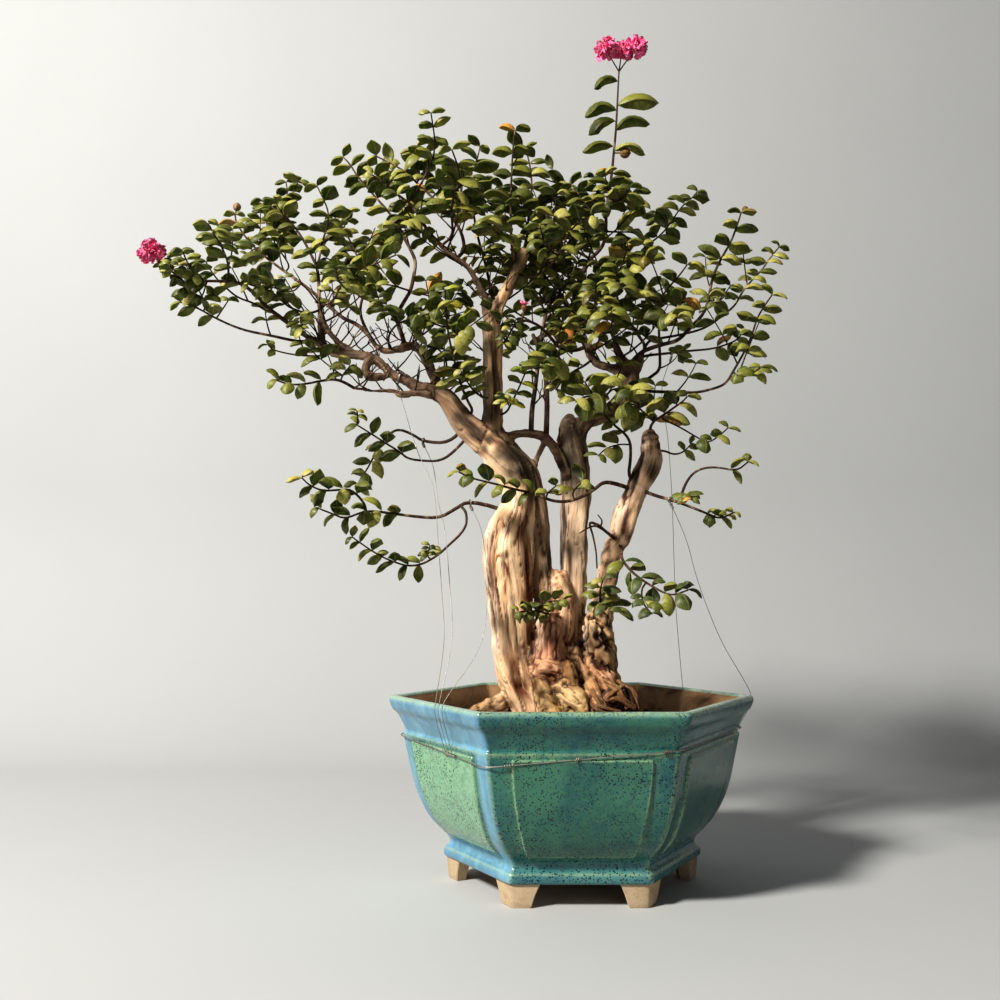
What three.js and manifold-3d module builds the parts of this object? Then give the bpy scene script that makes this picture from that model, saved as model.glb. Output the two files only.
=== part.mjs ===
// Crape myrtle bonsai: three fused trunks in a hexagonal glazed pot, with wire guys.
// Millimetres, +Z up. The pot's axis is X = 0, Y = 0 while the pieces are built; at the end
// the whole plant is moved so that the origin is the middle of its bounding box at the feet.

import * as THREE from "three";
import { mergeVertices } from "three/addons/utils/BufferGeometryUtils.js";
import Module from "manifold-3d";

const wasm = await Module();
wasm.setup();

// Driving dimensions of the pot
const POT_HEIGHT = 175;
const FLANGE_TOP = 31;
const FLANGE_BOTTOM = 21;
const FLANGE_RADIUS = 125;
const FLOOR_TOP = 40;
const CORNER_CUT = 4;
const DRAIN_RADIUS = 11;
const DRAIN_OFFSET = 52;
const PANEL_RISE = 2.2;
const PANEL_BOTTOM = 45;
const PANEL_TOP = 133;
const PANEL_HALF_BOTTOM = 47;
const PANEL_HALF_TOP = 60;
const FOOT_REACH_TOP = 27;
const FOOT_REACH_BOTTOM = 18;
const FOOT_WALL_TOP = 15;
const FOOT_WALL_BOTTOM = 11;

// Corner radius of the hexagon at each height, outside from the flange up, then inside down
const POT_OUTSIDE = [
  [FLANGE_RADIUS - 1, FLANGE_BOTTOM], [FLANGE_RADIUS + 1, FLANGE_TOP - 3], [FLANGE_RADIUS - 1, FLANGE_TOP],
  [120, 36], [126, 44], [139, 57], [148, 72], [156, 92], [161, 113], [166.5, 138],
  [164.5, 141], [167, 148], [172, 157], [178, 163], [181, 170], [178.5, POT_HEIGHT],
];
const POT_INSIDE = [
  [171, POT_HEIGHT], [166, 168], [155, 146], [138, 72], [108, FLOOR_TOP],
];

// Soil
const SOIL_LEVEL = 148;
const SOIL_MOUND = 7;
const SOIL_MOUND_REACH = 75;
const SOIL_ROUGHNESS = 1.6;

// The wood ends flat at this height, inside the soil
const ROOT_BOTTOM = 138;

// Wire
const WIRE_RADIUS = 0.55;
const WIRE_OFF_GLAZE = 1.1;
const WIRE_RING_GAP = 1.1;
const WIRE_SIDES = 4;

// Leaves: curve of a blade along its length, and how the pairs sit on a stem
const LEAF_THICKNESS = 0.8;
const LEAF_WIDTH = 0.27;
const LEAF_DROOP = 0.45;
const LEAF_RISE = 0.6;
const PAIR_SPACING = 0.55;
const PAIRS_KEPT = 4;
const CLEARANCE = 0.3;
const WOOD_TOLERANCE = 2;
const STEM_TOLERANCE = 3;
const DEPTH_SPREAD = 1.35;

// The sight window: a 1 m square held square to a line of sight that rises by SIGHT_TILT, at the
// distance of the pot's axis. Routes are points on it: across from its left edge and down from its
// top edge, in mm, then depth behind the pot's axis. seen() carries a point along its line of sight.
const SIGHT_DISTANCE = 1070;
const SIGHT_TILT = THREE.MathUtils.degToRad(5);
const SIGHT_HALF = 500;
const EYE = new THREE.Vector3(-70.4, -SIGHT_DISTANCE, 275);

function seen(across, down, depth) {
  const right = across - SIGHT_HALF;
  const up = SIGHT_HALF - down;
  const forward = SIGHT_DISTANCE * Math.cos(SIGHT_TILT) - up * Math.sin(SIGHT_TILT);
  const rise = SIGHT_DISTANCE * Math.sin(SIGHT_TILT) + up * Math.cos(SIGHT_TILT);
  const reach = (SIGHT_DISTANCE + depth) / forward;
  return new THREE.Vector3(EYE.x + right * reach, depth, EYE.z + rise * reach);
}

// Wood. Each limb: name, sides, depth of its flutes, then points of [across, down, depth, radius].
const LIMBS = [
  ["trunk_left", 11, 0.09, [[532, 738, -22, 12], [529, 712, -20, 14], [522, 692, -14, 16], [516, 672, -8, 19],
    [512, 645, -5, 20], [511, 612, -4, 21], [510, 584, -3, 22], [509, 556, -3, 22.5], [512, 531, -3, 20.5],
    [520, 505, -3, 15.5], [519, 482, -3, 16.5], [506, 460, -2, 19.5], [478, 432, -3, 12]]],
  ["trunk_seam", 7, 0.08, [[548, 664, 4, 8], [545, 640, 4, 9], [544, 612, 3, 9], [543, 584, 2, 9.5],
    [542, 556, 2, 10], [541, 530, 2, 9.5], [537, 502, 1, 10], [526, 469, 0, 10], [504, 446, -2, 8]]],
  ["fork", 8, 0.05, [[500, 452, -2, 16], [481, 437, -3, 14], [466, 424, -4, 12.5], [456, 411, -5, 10.5],
    [448, 400, -6, 10], [438, 393, -8, 8.6]]],
  ["leader", 8, 0.06, [[500, 452, -3, 15], [493, 430, -2, 11.5], [493, 410, -1, 10], [492, 380, 0, 10.3],
    [492, 350, 0, 10.3], [492, 328, 1, 10], [495, 313, 2, 8], [502, 298, 3, 7.5], [510, 284, 4, 8.5],
    [516, 270, 5, 9.5], [522, 257, 6, 9.5], [525, 250, 6, 7.5]]],
  ["trunk_middle", 9, 0.1, [[571, 664, 4, 10], [571, 640, 6, 10.5], [572, 616, 7, 11], [572, 590, 9, 13.5],
    [573, 560, 10, 13.5], [574, 530, 11, 13], [576, 500, 12, 14], [576, 470, 12, 14], [573, 445, 12, 14],
    [570, 428, 12, 10.5], [569, 419, 12, 7]]],
  ["arm", 7, 0.06, [[574, 438, 12, 12], [585, 422, 10, 8], [600, 417, 8, 6.8], [612, 408, 6, 7.2],
    [622, 398, 4, 8.5], [628, 387, 3, 10], [630, 375, 2, 10], [628, 366, 2, 7.5]]],
  ["arm_stub", 5, 0, [[631, 380, 2, 6], [638, 367, 1, 4.8], [641, 357, 0, 3.8]]],
  ["arm_knob", 5, 0, [[627, 374, 4, 6], [620, 358, 6, 4.6], [615, 344, 8, 3.6]]],
  ["trunk_right", 9, 0.1, [[592, 700, 0, 17], [591, 672, 2, 17], [593, 645, 3, 15.5], [600, 615, 4, 12.5],
    [604, 592, 5, 9.8], [608, 573, 5, 10.5], [614, 551, 6, 9.6], [622, 534, 6, 11], [626, 520, 6, 11.5],
    [632, 502, 6, 11], [639, 484, 6, 11], [648, 468, 6, 11.5], [651, 452, 6, 11], [650, 440, 6, 9.5],
    [649, 434, 6, 7]]],
  ["base", 10, 0.06, [[548, 628, 0, 14], [548, 650, 0, 24], [549, 680, 0, 32], [551, 706, -2, 36],
    [552, 740, -2, 34]]],
  ["root_column", 7, 0.08, [[553, 604, -9, 8], [552, 622, -13, 13], [551, 645, -15, 13.5],
    [550, 664, -13, 14], [549, 690, -10, 15]]],
  ["root_knob", 6, 0, [[536, 670, -22, 5], [543, 668, -25, 7.5], [554, 670, -26, 8], [563, 672, -20, 6]]],
  ["root_side", 6, 0.05, [[516, 692, -12, 10], [500, 702, -14, 8.5], [484, 708, -16, 7.5], [468, 716, -18, 6],
    [454, 730, -20, 4]]],
  ["root_nub", 5, 0, [[524, 668, -12, 5], [530, 656, -17, 5], [531, 650, -18, 3]]],
  ["root_olive", 6, 0, [[532, 676, -18, 6], [541, 690, -25, 7], [549, 704, -31, 7], [556, 718, -37, 6],
    [560, 736, -40, 5]]],
  ["root_tan", 6, 0, [[550, 682, -16, 9], [561, 688, -22, 10], [574, 697, -28, 10.5], [584, 708, -32, 9],
    [592, 726, -36, 7]]],
  ["root_stub", 6, 0.12, [[571, 694, -20, 6], [571, 678, -26, 8], [568, 665, -27, 6.5]]],
  ["burl", 8, 0.14, [[590, 622, -2, 10], [594, 634, -6, 15], [597, 648, -6, 15], [602, 662, -3, 15],
    [605, 678, 0, 14], [606, 704, 0, 13]]],
  ["root_column_right", 5, 0, [[573, 636, -10, 5], [574, 654, -15, 6.5], [579, 670, -18, 6.5],
    [590, 684, -20, 7.5], [597, 700, -24, 7], [601, 722, -28, 6]]],
  ["root_pink", 5, 0, [[590, 662, -14, 6], [600, 675, -16, 7], [610, 688, -16, 7.5], [622, 699, -13, 6.5],
    [634, 714, -9, 5], [643, 730, -5, 4]]],
  ["root_loop", 4, 0, [[600, 708, -26, 2.6], [606, 693, -27, 2.8], [618, 688, -24, 2.8], [629, 692, -20, 3],
    [633, 706, -20, 2.8], [633, 724, -20, 2.4]]],
  ["root_back_left", 5, 0, [[520, 688, 10, 11], [512, 704, 30, 9], [505, 722, 50, 6], [500, 736, 62, 4]]],
  ["root_back_middle", 5, 0, [[560, 688, 12, 12], [566, 706, 34, 9], [572, 724, 54, 6], [576, 738, 66, 4]]],
  ["root_back_right", 5, 0, [[606, 690, 12, 10], [622, 706, 30, 7], [634, 722, 46, 5], [640, 736, 56, 3.5]]],
  ["lower", 6, 0.05, [[446, 396, -7, 8], [430, 391, -9, 7.5], [418, 387, -10, 6.6], [406, 380, -11, 5.6],
    [393, 375, -12, 5], [383, 365, -13, 4.4], [372, 357, -14, 4.4], [354, 355, -14, 5], [340, 354, -12, 5],
    [329, 351, -10, 4.6], [321, 346, -9, 3.8], [312, 339, -9, 3.3]]],
  ["upper", 6, 0.04, [[444, 398, -4, 7], [434, 378, 0, 5.6], [427, 362, 3, 5], [420, 350, 6, 4.8],
    [410, 346, 8, 4.6], [400, 349, 9, 4], [385, 351, 10, 3.5], [376, 346, 11, 3]]],
  ["root_of_twigs", 4, 0, [[428, 394, -13, 4.2], [414, 393, -17, 3.4], [403, 395, -19, 4],
    [393, 391, -20, 2.6], [374, 391, -22, 2.1], [354, 388, -24, 2]]],
  ["deadwood", 5, 0.05, [[372, 357, -15, 4.5], [366, 367, -18, 4.6], [368, 376, -19, 5], [378, 377, -18, 4.4],
    [386, 376, -17, 3.2]]],
  ["brace", 4, 0, [[352, 353, -14, 4.2], [338, 342, -12, 3.4], [328, 330, -8, 3.2], [322, 316, -4, 3],
    [319, 304, 0, 2.5]]],
  ["post", 4, 0, [[328, 351, -10, 3.6], [322, 338, -9, 3.4], [320, 324, -6, 3], [320, 312, -3, 2.6]]],
  ["arch", 6, 0, [[566, 474, 4, 6], [560, 458, 2, 5.6], [554, 447, 0, 5], [545, 438, -2, 4.8],
    [534, 434, -3, 4.6], [520, 434, -4, 4.4], [506, 437, -4, 4.6], [498, 441, -4, 4]]],
  ["riser_right", 4, 0, [[546, 439, -2, 3.3], [547, 405, -1, 2.9], [546, 379, 0, 2.8], [543, 362, 1, 2.6],
    [538, 347, 2, 2.5], [533, 335, 3, 2.2]]],
  ["riser_left", 4, 0, [[531, 435, -3, 3.1], [532, 411, -3, 2.8], [535, 389, -2, 2.5], [538, 366, 0, 2.2],
    [541, 345, 6, 2.1], [544, 322, 14, 2.1], [549, 306, 22, 2], [558, 296, 30, 2]]],
  ["riser_low", 4, 0, [[533, 472, 4, 3.6], [538, 455, 5, 3.1], [545, 441, 0, 3]]],
  ["centre_limb", 5, 0, [[624, 374, 5, 6], [611, 368, 8, 4.6], [598, 364, 12, 4.5], [590, 355, 16, 4.2],
    [585, 342, 20, 4], [579, 328, 24, 3.8], [572, 313, 27, 3.4], [566, 303, 29, 3], [560, 294, 30, 3]]],
  ["tall_limb", 5, 0, [[573, 314, 27, 3.4], [574, 300, 26, 3.1], [577, 288, 25, 3], [582, 274, 24, 3],
    [590, 259, 23, 2.7]]],
  ["crown_limb", 5, 0, [[493, 320, 1, 5], [487, 302, 0, 4.6], [478, 284, -2, 4.2], [468, 268, -4, 3.9],
    [455, 257, -6, 3.6], [443, 248, -8, 3.2], [436, 240, -10, 2.6]]],
  ["wood_stub", 4, 0, [[492, 330, 0, 5], [486, 312, -2, 4.5], [484, 303, -3, 3.6]]],
];

// Leafy sprays, one piece each. Every shoot: the limb, or the number of the shoot in its own spray,
// that it grows from; radius at the root and at the tip; depth of the tip; the share of its length
// that is bare; leaf length; and its route on the sight window.
const SPRAYS = [
  ["spray_far_left", [
    ["lower", 3.2, 1, -95, 0.88, 18, [[306, 336], [284, 320], [265, 306], [258, 296], [240, 282],
      [220, 281], [200, 281], [187, 279], [173, 273], [163, 265]]],
    [0, 1.4, 0.8, -125, 0.3, 24, [[229, 265], [222, 247], [214, 234], [208, 224]]],
    [0, 1.4, 0.8, -55, 0.6, 24, [[270, 313], [254, 303], [238, 298], [226, 288], [214, 276], [206, 262]]],
    [0, 1.1, 0.8, -110, 0.1, 20, [[194, 271], [187, 262], [183, 252]]],
    [0, 1.1, 0.8, -60, 0.2, 22, [[206, 284], [204, 292], [200, 300]]],
    ["lower", 2, 0.9, -50, 0.74, 26, [[303, 342], [290, 340], [273, 336], [242, 330], [217, 319],
      [205, 312], [193, 306], [180, 302]]],
    [5, 1.1, 0.8, -75, 0.2, 26, [[207, 303], [196, 294], [184, 288]]],
    [5, 1.1, 0.8, -30, 0.2, 24, [[222, 310], [228, 301]]]]],
  ["spray_left_yellow", [
    ["lower", 1.4, 0.8, -45, 0.72, 16, [[325, 356], [306, 356], [289, 354], [273, 350], [268, 345]]]]],
  ["spray_left_upper", [
    ["upper", 2.9, 1.1, 70, 0.6, 26, [[368, 334], [357, 324], [342, 318], [329, 306], [315, 294],
      [300, 282], [277, 266], [258, 251], [245, 237], [236, 222], [235, 215]]],
    [0, 1.2, 0.8, 100, 0.35, 24, [[290, 266], [283, 255], [277, 247], [272, 237], [266, 224], [263, 204]]],
    [0, 1.1, 0.8, 25, 0.2, 26, [[294, 292], [282, 290], [268, 286], [255, 280]]],
    [0, 1.1, 0.8, 85, 0.2, 24, [[262, 246], [252, 250], [246, 256]]],
    ["upper", 2.2, 0.9, 105, 0.45, 26, [[366, 330], [359, 312], [364, 292], [363, 275], [358, 258],
      [350, 240], [341, 226], [333, 215]]],
    [4, 1.2, 0.8, 130, 0.2, 26, [[366, 250], [371, 238], [375, 228]]],
    [4, 1.2, 0.8, 80, 0.15, 26, [[348, 262], [336, 262], [326, 258]]]]],
  ["spray_left_tall", [
    ["brace", 2.3, 0.9, 45, 0.35, 26, [[319, 285], [318, 270], [310, 252], [300, 234], [287, 217],
      [275, 209], [262, 201]]],
    [0, 1.5, 0.8, 15, 0.35, 28, [[319, 262], [322, 242], [327, 228], [329, 212], [322, 196], [317, 186]]],
    [0, 1.2, 0.8, 75, 0.2, 24, [[292, 232], [280, 230], [270, 226]]],
    [0, 1.2, 0.8, 60, 0.2, 26, [[284, 206], [288, 194], [286, 182]]]]],
  ["spray_left_inner", [
    ["brace", 1.6, 0.8, -60, 0.25, 22, [[308, 314], [290, 308], [281, 300], [271, 291], [260, 288],
      [248, 284]]],
    [0, 1.1, 0.8, -80, 0.2, 18, [[300, 320], [303, 330]]]]],
  ["spray_left_cross", [
    ["brace", 1.7, 0.9, -65, 0.4, 28, [[330, 303], [335, 298], [338, 290], [348, 277], [365, 269],
      [383, 260], [396, 255]]],
    [0, 1.2, 0.8, -85, 0.2, 22, [[338, 280], [336, 268]]]]],
  ["spray_crown_left", [
    ["upper", 3, 1, 40, 0.45, 28, [[403, 338], [398, 325], [398, 312], [405, 300], [411, 290], [414, 275],
      [416, 262], [411, 250], [404, 238], [398, 225], [388, 211], [378, 200], [366, 186], [357, 176],
      [350, 164], [343, 157]]],
    [0, 1.4, 0.8, -10, 0.2, 32, [[404, 289], [392, 285], [378, 284], [364, 287]]],
    [0, 1.4, 0.8, 0, 0.2, 32, [[420, 295], [432, 292], [446, 292]]],
    [0, 1.2, 0.8, 70, 0.2, 26, [[392, 232], [382, 236]]],
    [0, 1.2, 0.8, 10, 0.2, 28, [[400, 222], [410, 216], [418, 216]]]]],
  ["spray_crown_thin", [
    ["upper", 1.5, 0.8, -60, 0.45, 24, [[388, 340], [390, 332], [398, 323], [414, 318], [428, 314],
      [438, 310]]],
    [0, 1.1, 0.8, -75, 0.2, 22, [[392, 316], [386, 308], [378, 304]]]]],
  ["spray_crown_front", [
    ["crown_limb", 2.4, 0.9, -35, 0.5, 26, [[430, 234], [424, 225], [418, 214], [412, 205], [402, 198],
      [390, 188], [380, 180], [371, 174]]],
    [0, 1.4, 0.8, -60, 0.45, 24, [[416, 192], [422, 182], [430, 168], [434, 155], [435, 140], [433, 126],
      [431, 113]]],
    [0, 1.2, 0.8, -60, 0.2, 28, [[412, 222], [402, 226], [394, 230]]]]],
  ["spray_crown_inner", [
    ["crown_limb", 1.8, 0.9, -85, 0.35, 30, [[453, 236], [452, 220], [451, 205], [456, 192], [460, 180],
      [458, 166], [452, 150]]]]],
  ["spray_crown_tall", [
    ["crown_limb", 2.4, 0.9, 15, 0.35, 28, [[465, 250], [462, 233], [454, 220], [446, 211], [430, 195],
      [418, 184], [407, 173], [396, 166], [386, 161], [376, 156]]],
    [0, 1.3, 0.8, 50, 0.3, 26, [[420, 178], [418, 161], [417, 146]]],
    [0, 1.2, 0.8, 40, 0.2, 28, [[440, 190], [446, 178]]]]],
  ["spray_crown_back", [
    ["leader", 2.2, 0.9, 60, 0.5, 32, [[492, 298], [489, 280], [484, 258], [477, 235], [472, 203],
      [467, 188], [471, 173], [477, 160], [480, 147]]],
    [0, 1.2, 0.8, 90, 0.2, 30, [[484, 205], [492, 196], [497, 186]]]]],
  ["spray_crown_top", [
    ["leader", 2, 0.9, -25, 0.45, 32, [[514, 262], [511, 240], [511, 215], [511, 190], [512, 165],
      [513, 147], [515, 131]]],
    [0, 1.2, 0.8, -50, 0.1, 30, [[502, 238], [494, 230], [488, 224]]]]],
  ["spray_crown_right", [
    ["leader", 1.9, 0.9, 45, 0.4, 30, [[527, 240], [528, 220], [531, 200], [532, 182], [530, 165],
      [526, 150]]],
    [0, 1.2, 0.8, 65, 0.2, 32, [[541, 176], [552, 170]]],
    [0, 1.2, 0.8, 20, 0.2, 28, [[542, 204], [552, 200]]]]],
  ["spray_crown_low", [
    ["leader", 2, 0.9, -60, 0.5, 28, [[529, 279], [545, 271], [555, 260], [563, 247], [568, 233],
      [580, 221], [592, 216]]],
    [0, 1.2, 0.8, -75, 0.15, 26, [[548, 250], [543, 238], [540, 226]]]]],
  ["spray_middle_front", [
    ["fork", 1.9, 0.9, -60, 0.3, 26, [[474, 412], [467, 400], [460, 382], [455, 363], [450, 343],
      [447, 325], [446, 305], [445, 290]]],
    [0, 1.2, 0.8, -75, 0.15, 26, [[460, 335], [468, 326]]],
    [0, 1.2, 0.8, -40, 0.15, 24, [[440, 326], [430, 322], [422, 320]]]]],
  ["spray_middle_low", [
    ["upper", 1.5, 0.8, -35, 0.35, 24, [[440, 384], [447, 372], [446, 358], [438, 348], [426, 346]]]]],
  ["spray_trunk_leaves", [
    ["leader", 1.4, 0.8, -45, 0.3, 24, [[484, 398], [474, 392], [466, 380], [462, 372]]]]],
  ["spray_inner_yellow", [
    ["leader", 1.5, 0.8, -45, 0.3, 20, [[506, 414], [512, 402], [518, 390], [524, 376], [528, 366]]],
    [0, 1, 0.8, -55, 0.2, 16, [[508, 404], [505, 396]]]]],
  ["spray_inner_bud", [
    ["centre_limb", 2.7, 0.9, -50, 0.75, 18, [[575, 351], [561, 350], [551, 338], [541, 327], [530, 321],
      [518, 320], [510, 332], [505, 345]]],
    [0, 1, 0.8, -55, 1, 0, [[523, 316]]],
    [0, 1.2, 0.8, -75, 0.15, 30, [[556, 358], [546, 362], [538, 368]]]]],
  ["spray_inner_green", [
    ["centre_limb", 1.7, 0.9, -35, 0.3, 28, [[584, 366], [572, 372], [562, 380], [556, 390]]]]],
  ["spray_arm_leaves", [
    ["arm", 2, 0.9, -62, 0.2, 34, [[604, 402], [596, 396], [586, 396], [576, 402]]],
    [0, 1.3, 0.8, -70, 0.15, 34, [[610, 390], [620, 388], [630, 392]]]]],
  ["spray_right_bare", [
    ["arm", 2.2, 0.9, -60, 0.62, 24, [[645, 391], [662, 392], [680, 392], [695, 393], [713, 389],
      [726, 384], [734, 370], [741, 358], [748, 345], [753, 332], [757, 318], [765, 305], [772, 295]]],
    [0, 1.2, 0.8, -85, 0.2, 24, [[740, 378], [752, 374], [760, 368]]]]],
  ["spray_right_stub", [
    ["arm", 2.9, 1, -20, 0.55, 28, [[641, 352], [651, 348], [664, 344], [678, 341], [690, 328], [704, 314],
      [709, 298], [711, 284], [715, 271], [722, 257], [731, 242], [737, 226], [741, 213]]],
    [0, 1.2, 0.8, 15, 0.2, 24, [[716, 304], [724, 297]]],
    ["arm_stub", 1.9, 0.9, 30, 0.68, 22, [[650, 355], [662, 354], [687, 351], [713, 349], [728, 344],
      [737, 340], [744, 331]]],
    ["arm_stub", 2.3, 0.9, 15, 0.4, 30, [[646, 346], [638, 335], [630, 322], [622, 310], [617, 298],
      [615, 284], [615, 268], [616, 254], [618, 243]]],
    [3, 1.4, 0.8, 70, 0.4, 26, [[622, 272], [632, 262], [645, 247], [661, 235], [670, 224], [681, 207],
      [690, 200], [697, 192]]],
    [4, 1.1, 0.8, 85, 0.2, 22, [[660, 224], [656, 212]]],
    [3, 1.2, 0.8, -15, 0.15, 28, [[628, 300], [640, 292], [650, 288]]],
    ["arm_stub", 1.8, 0.9, 55, 0.6, 24, [[648, 340], [662, 338], [680, 335], [700, 330], [712, 324],
      [723, 315], [735, 306], [742, 292], [752, 280], [762, 270], [770, 258], [779, 247]]]]],
  ["spray_right_inner", [
    ["arm", 2.2, 0.9, -50, 0.55, 32, [[641, 384], [652, 376], [660, 370], [660, 356], [659, 340],
      [659, 310], [661, 298], [668, 288], [679, 276], [687, 265]]],
    [0, 1.3, 0.8, -75, 0.15, 32, [[668, 318], [678, 318]]],
    [0, 1.2, 0.8, -35, 0.15, 28, [[650, 300], [644, 292]]]]],
  ["spray_top_shoot", [
    ["tall_limb", 2.5, 0.9, -15, 0.5, 38, [[598, 252], [604, 244], [606, 230], [606, 212], [609, 193],
      [612, 172], [614, 150], [616, 130], [617, 110], [618, 90], [619, 71]]],
    [0, 1.3, 0.8, 35, 0.15, 28, [[598, 205], [590, 197], [583, 188]]],
    [0, 1.3, 0.8, -40, 0.15, 28, [[616, 203], [625, 196], [630, 188]]],
    [0, 1.3, 0.8, 45, 0.15, 32, [[618, 232], [632, 232], [640, 236]]],
    ["tall_limb", 1.9, 0.9, -55, 0.25, 30, [[598, 264], [608, 268], [622, 270], [636, 266], [646, 258]]],
    [4, 1.2, 0.8, -75, 0.2, 28, [[616, 280], [622, 290]]],
    ["tall_limb", 2, 0.9, 65, 0.35, 28, [[580, 253], [570, 249], [560, 241], [553, 230], [550, 215],
      [552, 202]]],
    [6, 1.2, 0.8, 90, 0.2, 28, [[570, 240], [576, 228], [578, 212]]]]],
  ["spray_centre_top", [
    ["centre_limb", 2, 0.9, 85, 0.35, 26, [[558, 280], [555, 266], [552, 250], [548, 236], [540, 218]]],
    [0, 1.2, 0.8, 60, 0.2, 26, [[546, 278], [536, 280], [528, 286]]]]],
  ["spray_centre_right", [
    ["centre_limb", 1.8, 0.9, -70, 0.25, 30, [[586, 322], [592, 310], [598, 300], [596, 290]]],
    [0, 1.2, 0.8, -85, 0.15, 30, [[604, 318], [612, 312]]]]],
  ["spray_centre_low", [
    ["arm_knob", 1.7, 0.9, -50, 0.2, 30, [[612, 336], [610, 326], [616, 316]]],
    [0, 1.2, 0.8, -35, 0.2, 22, [[602, 334], [597, 326]]]]],
  ["spray_low_front", [
    ["trunk_right", 2.7, 0.9, -48, 0.62, 24, [[614, 483], [603, 482], [595, 489], [584, 496], [568, 502],
      [551, 501], [537, 494], [513, 489], [492, 483], [470, 478], [459, 472]]],
    [0, 1.2, 0.8, -45, 0.15, 30, [[572, 492], [582, 482]]],
    [0, 1.2, 0.8, -40, 0.15, 22, [[548, 492], [556, 486]]]]],
  ["spray_right_side", [
    ["trunk_right", 2.4, 0.9, -12, 0.4, 22, [[628, 478], [631, 456], [630, 438], [614, 425], [605, 416],
      [596, 403], [590, 391], [585, 382]]],
    [0, 1, 0.8, -20, 0.2, 24, [[620, 444], [606, 448], [598, 456]]]]],
  ["spray_stump_top", [
    ["trunk_right", 1.9, 0.9, -40, 0.2, 30, [[652, 422], [662, 416], [672, 409], [682, 402], [687, 397]]],
    [0, 1.4, 0.8, -60, 0.2, 32, [[646, 414], [636, 406], [628, 402]]],
    [0, 1.2, 0.8, -20, 0.5, 22, [[664, 420], [678, 426], [698, 438], [708, 443], [718, 437], [728, 428]]]]],
  ["spray_right_forked", [
    ["trunk_right", 2.4, 0.9, -75, 0.65, 16, [[656, 496], [672, 500], [691, 507], [708, 514], [720, 519],
      [733, 513]]],
    [0, 1.8, 0.9, -60, 0.72, 24, [[685, 484], [693, 473], [703, 468], [717, 467], [737, 471], [748, 462]]],
    [0, 1, 0.8, -90, 0.3, 16, [[684, 494], [692, 500]]]]],
  ["spray_right_twigs", [
    ["trunk_right", 1.7, 0.8, 30, 0.6, 20, [[663, 450], [674, 455], [684, 452], [691, 444]]]]],
  ["spray_low_right", [
    ["trunk_right", 2.1, 0.9, -75, 0.25, 24, [[622, 547], [621, 558], [628, 568], [639, 578], [658, 590],
      [672, 596], [688, 590]]],
    [0, 1.2, 0.8, -95, 0.4, 20, [[641, 590], [643, 604], [652, 614]]]]],
  ["spray_base_leaves", [
    ["root_column", 1.4, 0.8, -52, 0.2, 18, [[548, 614], [538, 611], [528, 611], [518, 612]]],
    [0, 1.1, 0.8, -55, 0.1, 18, [[541, 604], [552, 601], [563, 600]]]]],
  ["spray_base_right", [
    ["trunk_right", 1.5, 0.8, -48, 0.2, 24, [[601, 610], [600, 600], [600, 590], [603, 580]]],
    [0, 1.1, 0.8, -50, 0.1, 26, [[612, 606], [620, 612]]]]],
  ["spray_low_left", [
    ["trunk_left", 2.7, 0.9, -60, 0.6, 24, [[470, 500], [455, 509], [440, 518], [418, 517], [389, 513],
      [373, 511], [362, 512], [345, 519], [333, 514], [320, 509]]],
    [0, 1.7, 0.8, -85, 0.25, 26, [[364, 502], [351, 489], [338, 490], [322, 491], [309, 485], [302, 478]]],
    [0, 1.7, 0.8, -70, 0.5, 20, [[467, 513], [466, 529], [447, 547], [437, 556], [421, 565], [407, 566],
      [397, 563], [384, 558], [372, 551], [359, 542], [352, 537]]],
    [2, 1, 0.8, -75, 0.3, 14, [[427, 556], [430, 546]]]]],
  ["spray_left_shelf", [
    ["fork", 2, 0.9, -35, 0.5, 26, [[453, 453], [440, 461], [425, 461], [408, 459], [400, 452],
      [387, 444], [370, 433], [357, 425]]],
    [0, 1.1, 0.8, -50, 0.3, 16, [[358, 418], [357, 411]]]]],
  ["spray_left_droop", [
    ["fork", 2.3, 0.9, 35, 0.6, 26, [[450, 443], [424, 442], [412, 434], [399, 429], [390, 433],
      [383, 441], [377, 450], [369, 466], [362, 477], [357, 485]]]]],
  ["spray_left_under", [
    ["root_of_twigs", 1.9, 0.9, -50, 0.3, 26, [[344, 382], [334, 379], [320, 381], [306, 384], [290, 385],
      [276, 380]]],
    [0, 1.1, 0.8, -60, 0.15, 26, [[344, 373], [350, 366]]]]],
];

// Round seed capsules: spray, across, down, radius. Each sits on the end of its nearest shoot.
const CAPSULES = [
  ["spray_left_upper", 237, 207, 4.6],
  ["spray_left_upper", 255, 203, 2.8],
  ["spray_right_stub", 745, 209, 3],
  ["spray_top_shoot", 625, 153, 6.5],
];

// Blooms: name, spray whose shoot carries it, flowers as [across, down, toward the viewer], petal length
const BLOOMS = [
  ["bloom_top", "spray_top_shoot", [[607, 48, 8], [620, 49, -8], [634, 46, 8]], 14],
  ["bloom_left", "spray_far_left", [[151, 252, 2]], 13],
  ["bloom_bud", "spray_inner_bud", [[524, 308, 1]], 6],
];

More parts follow.
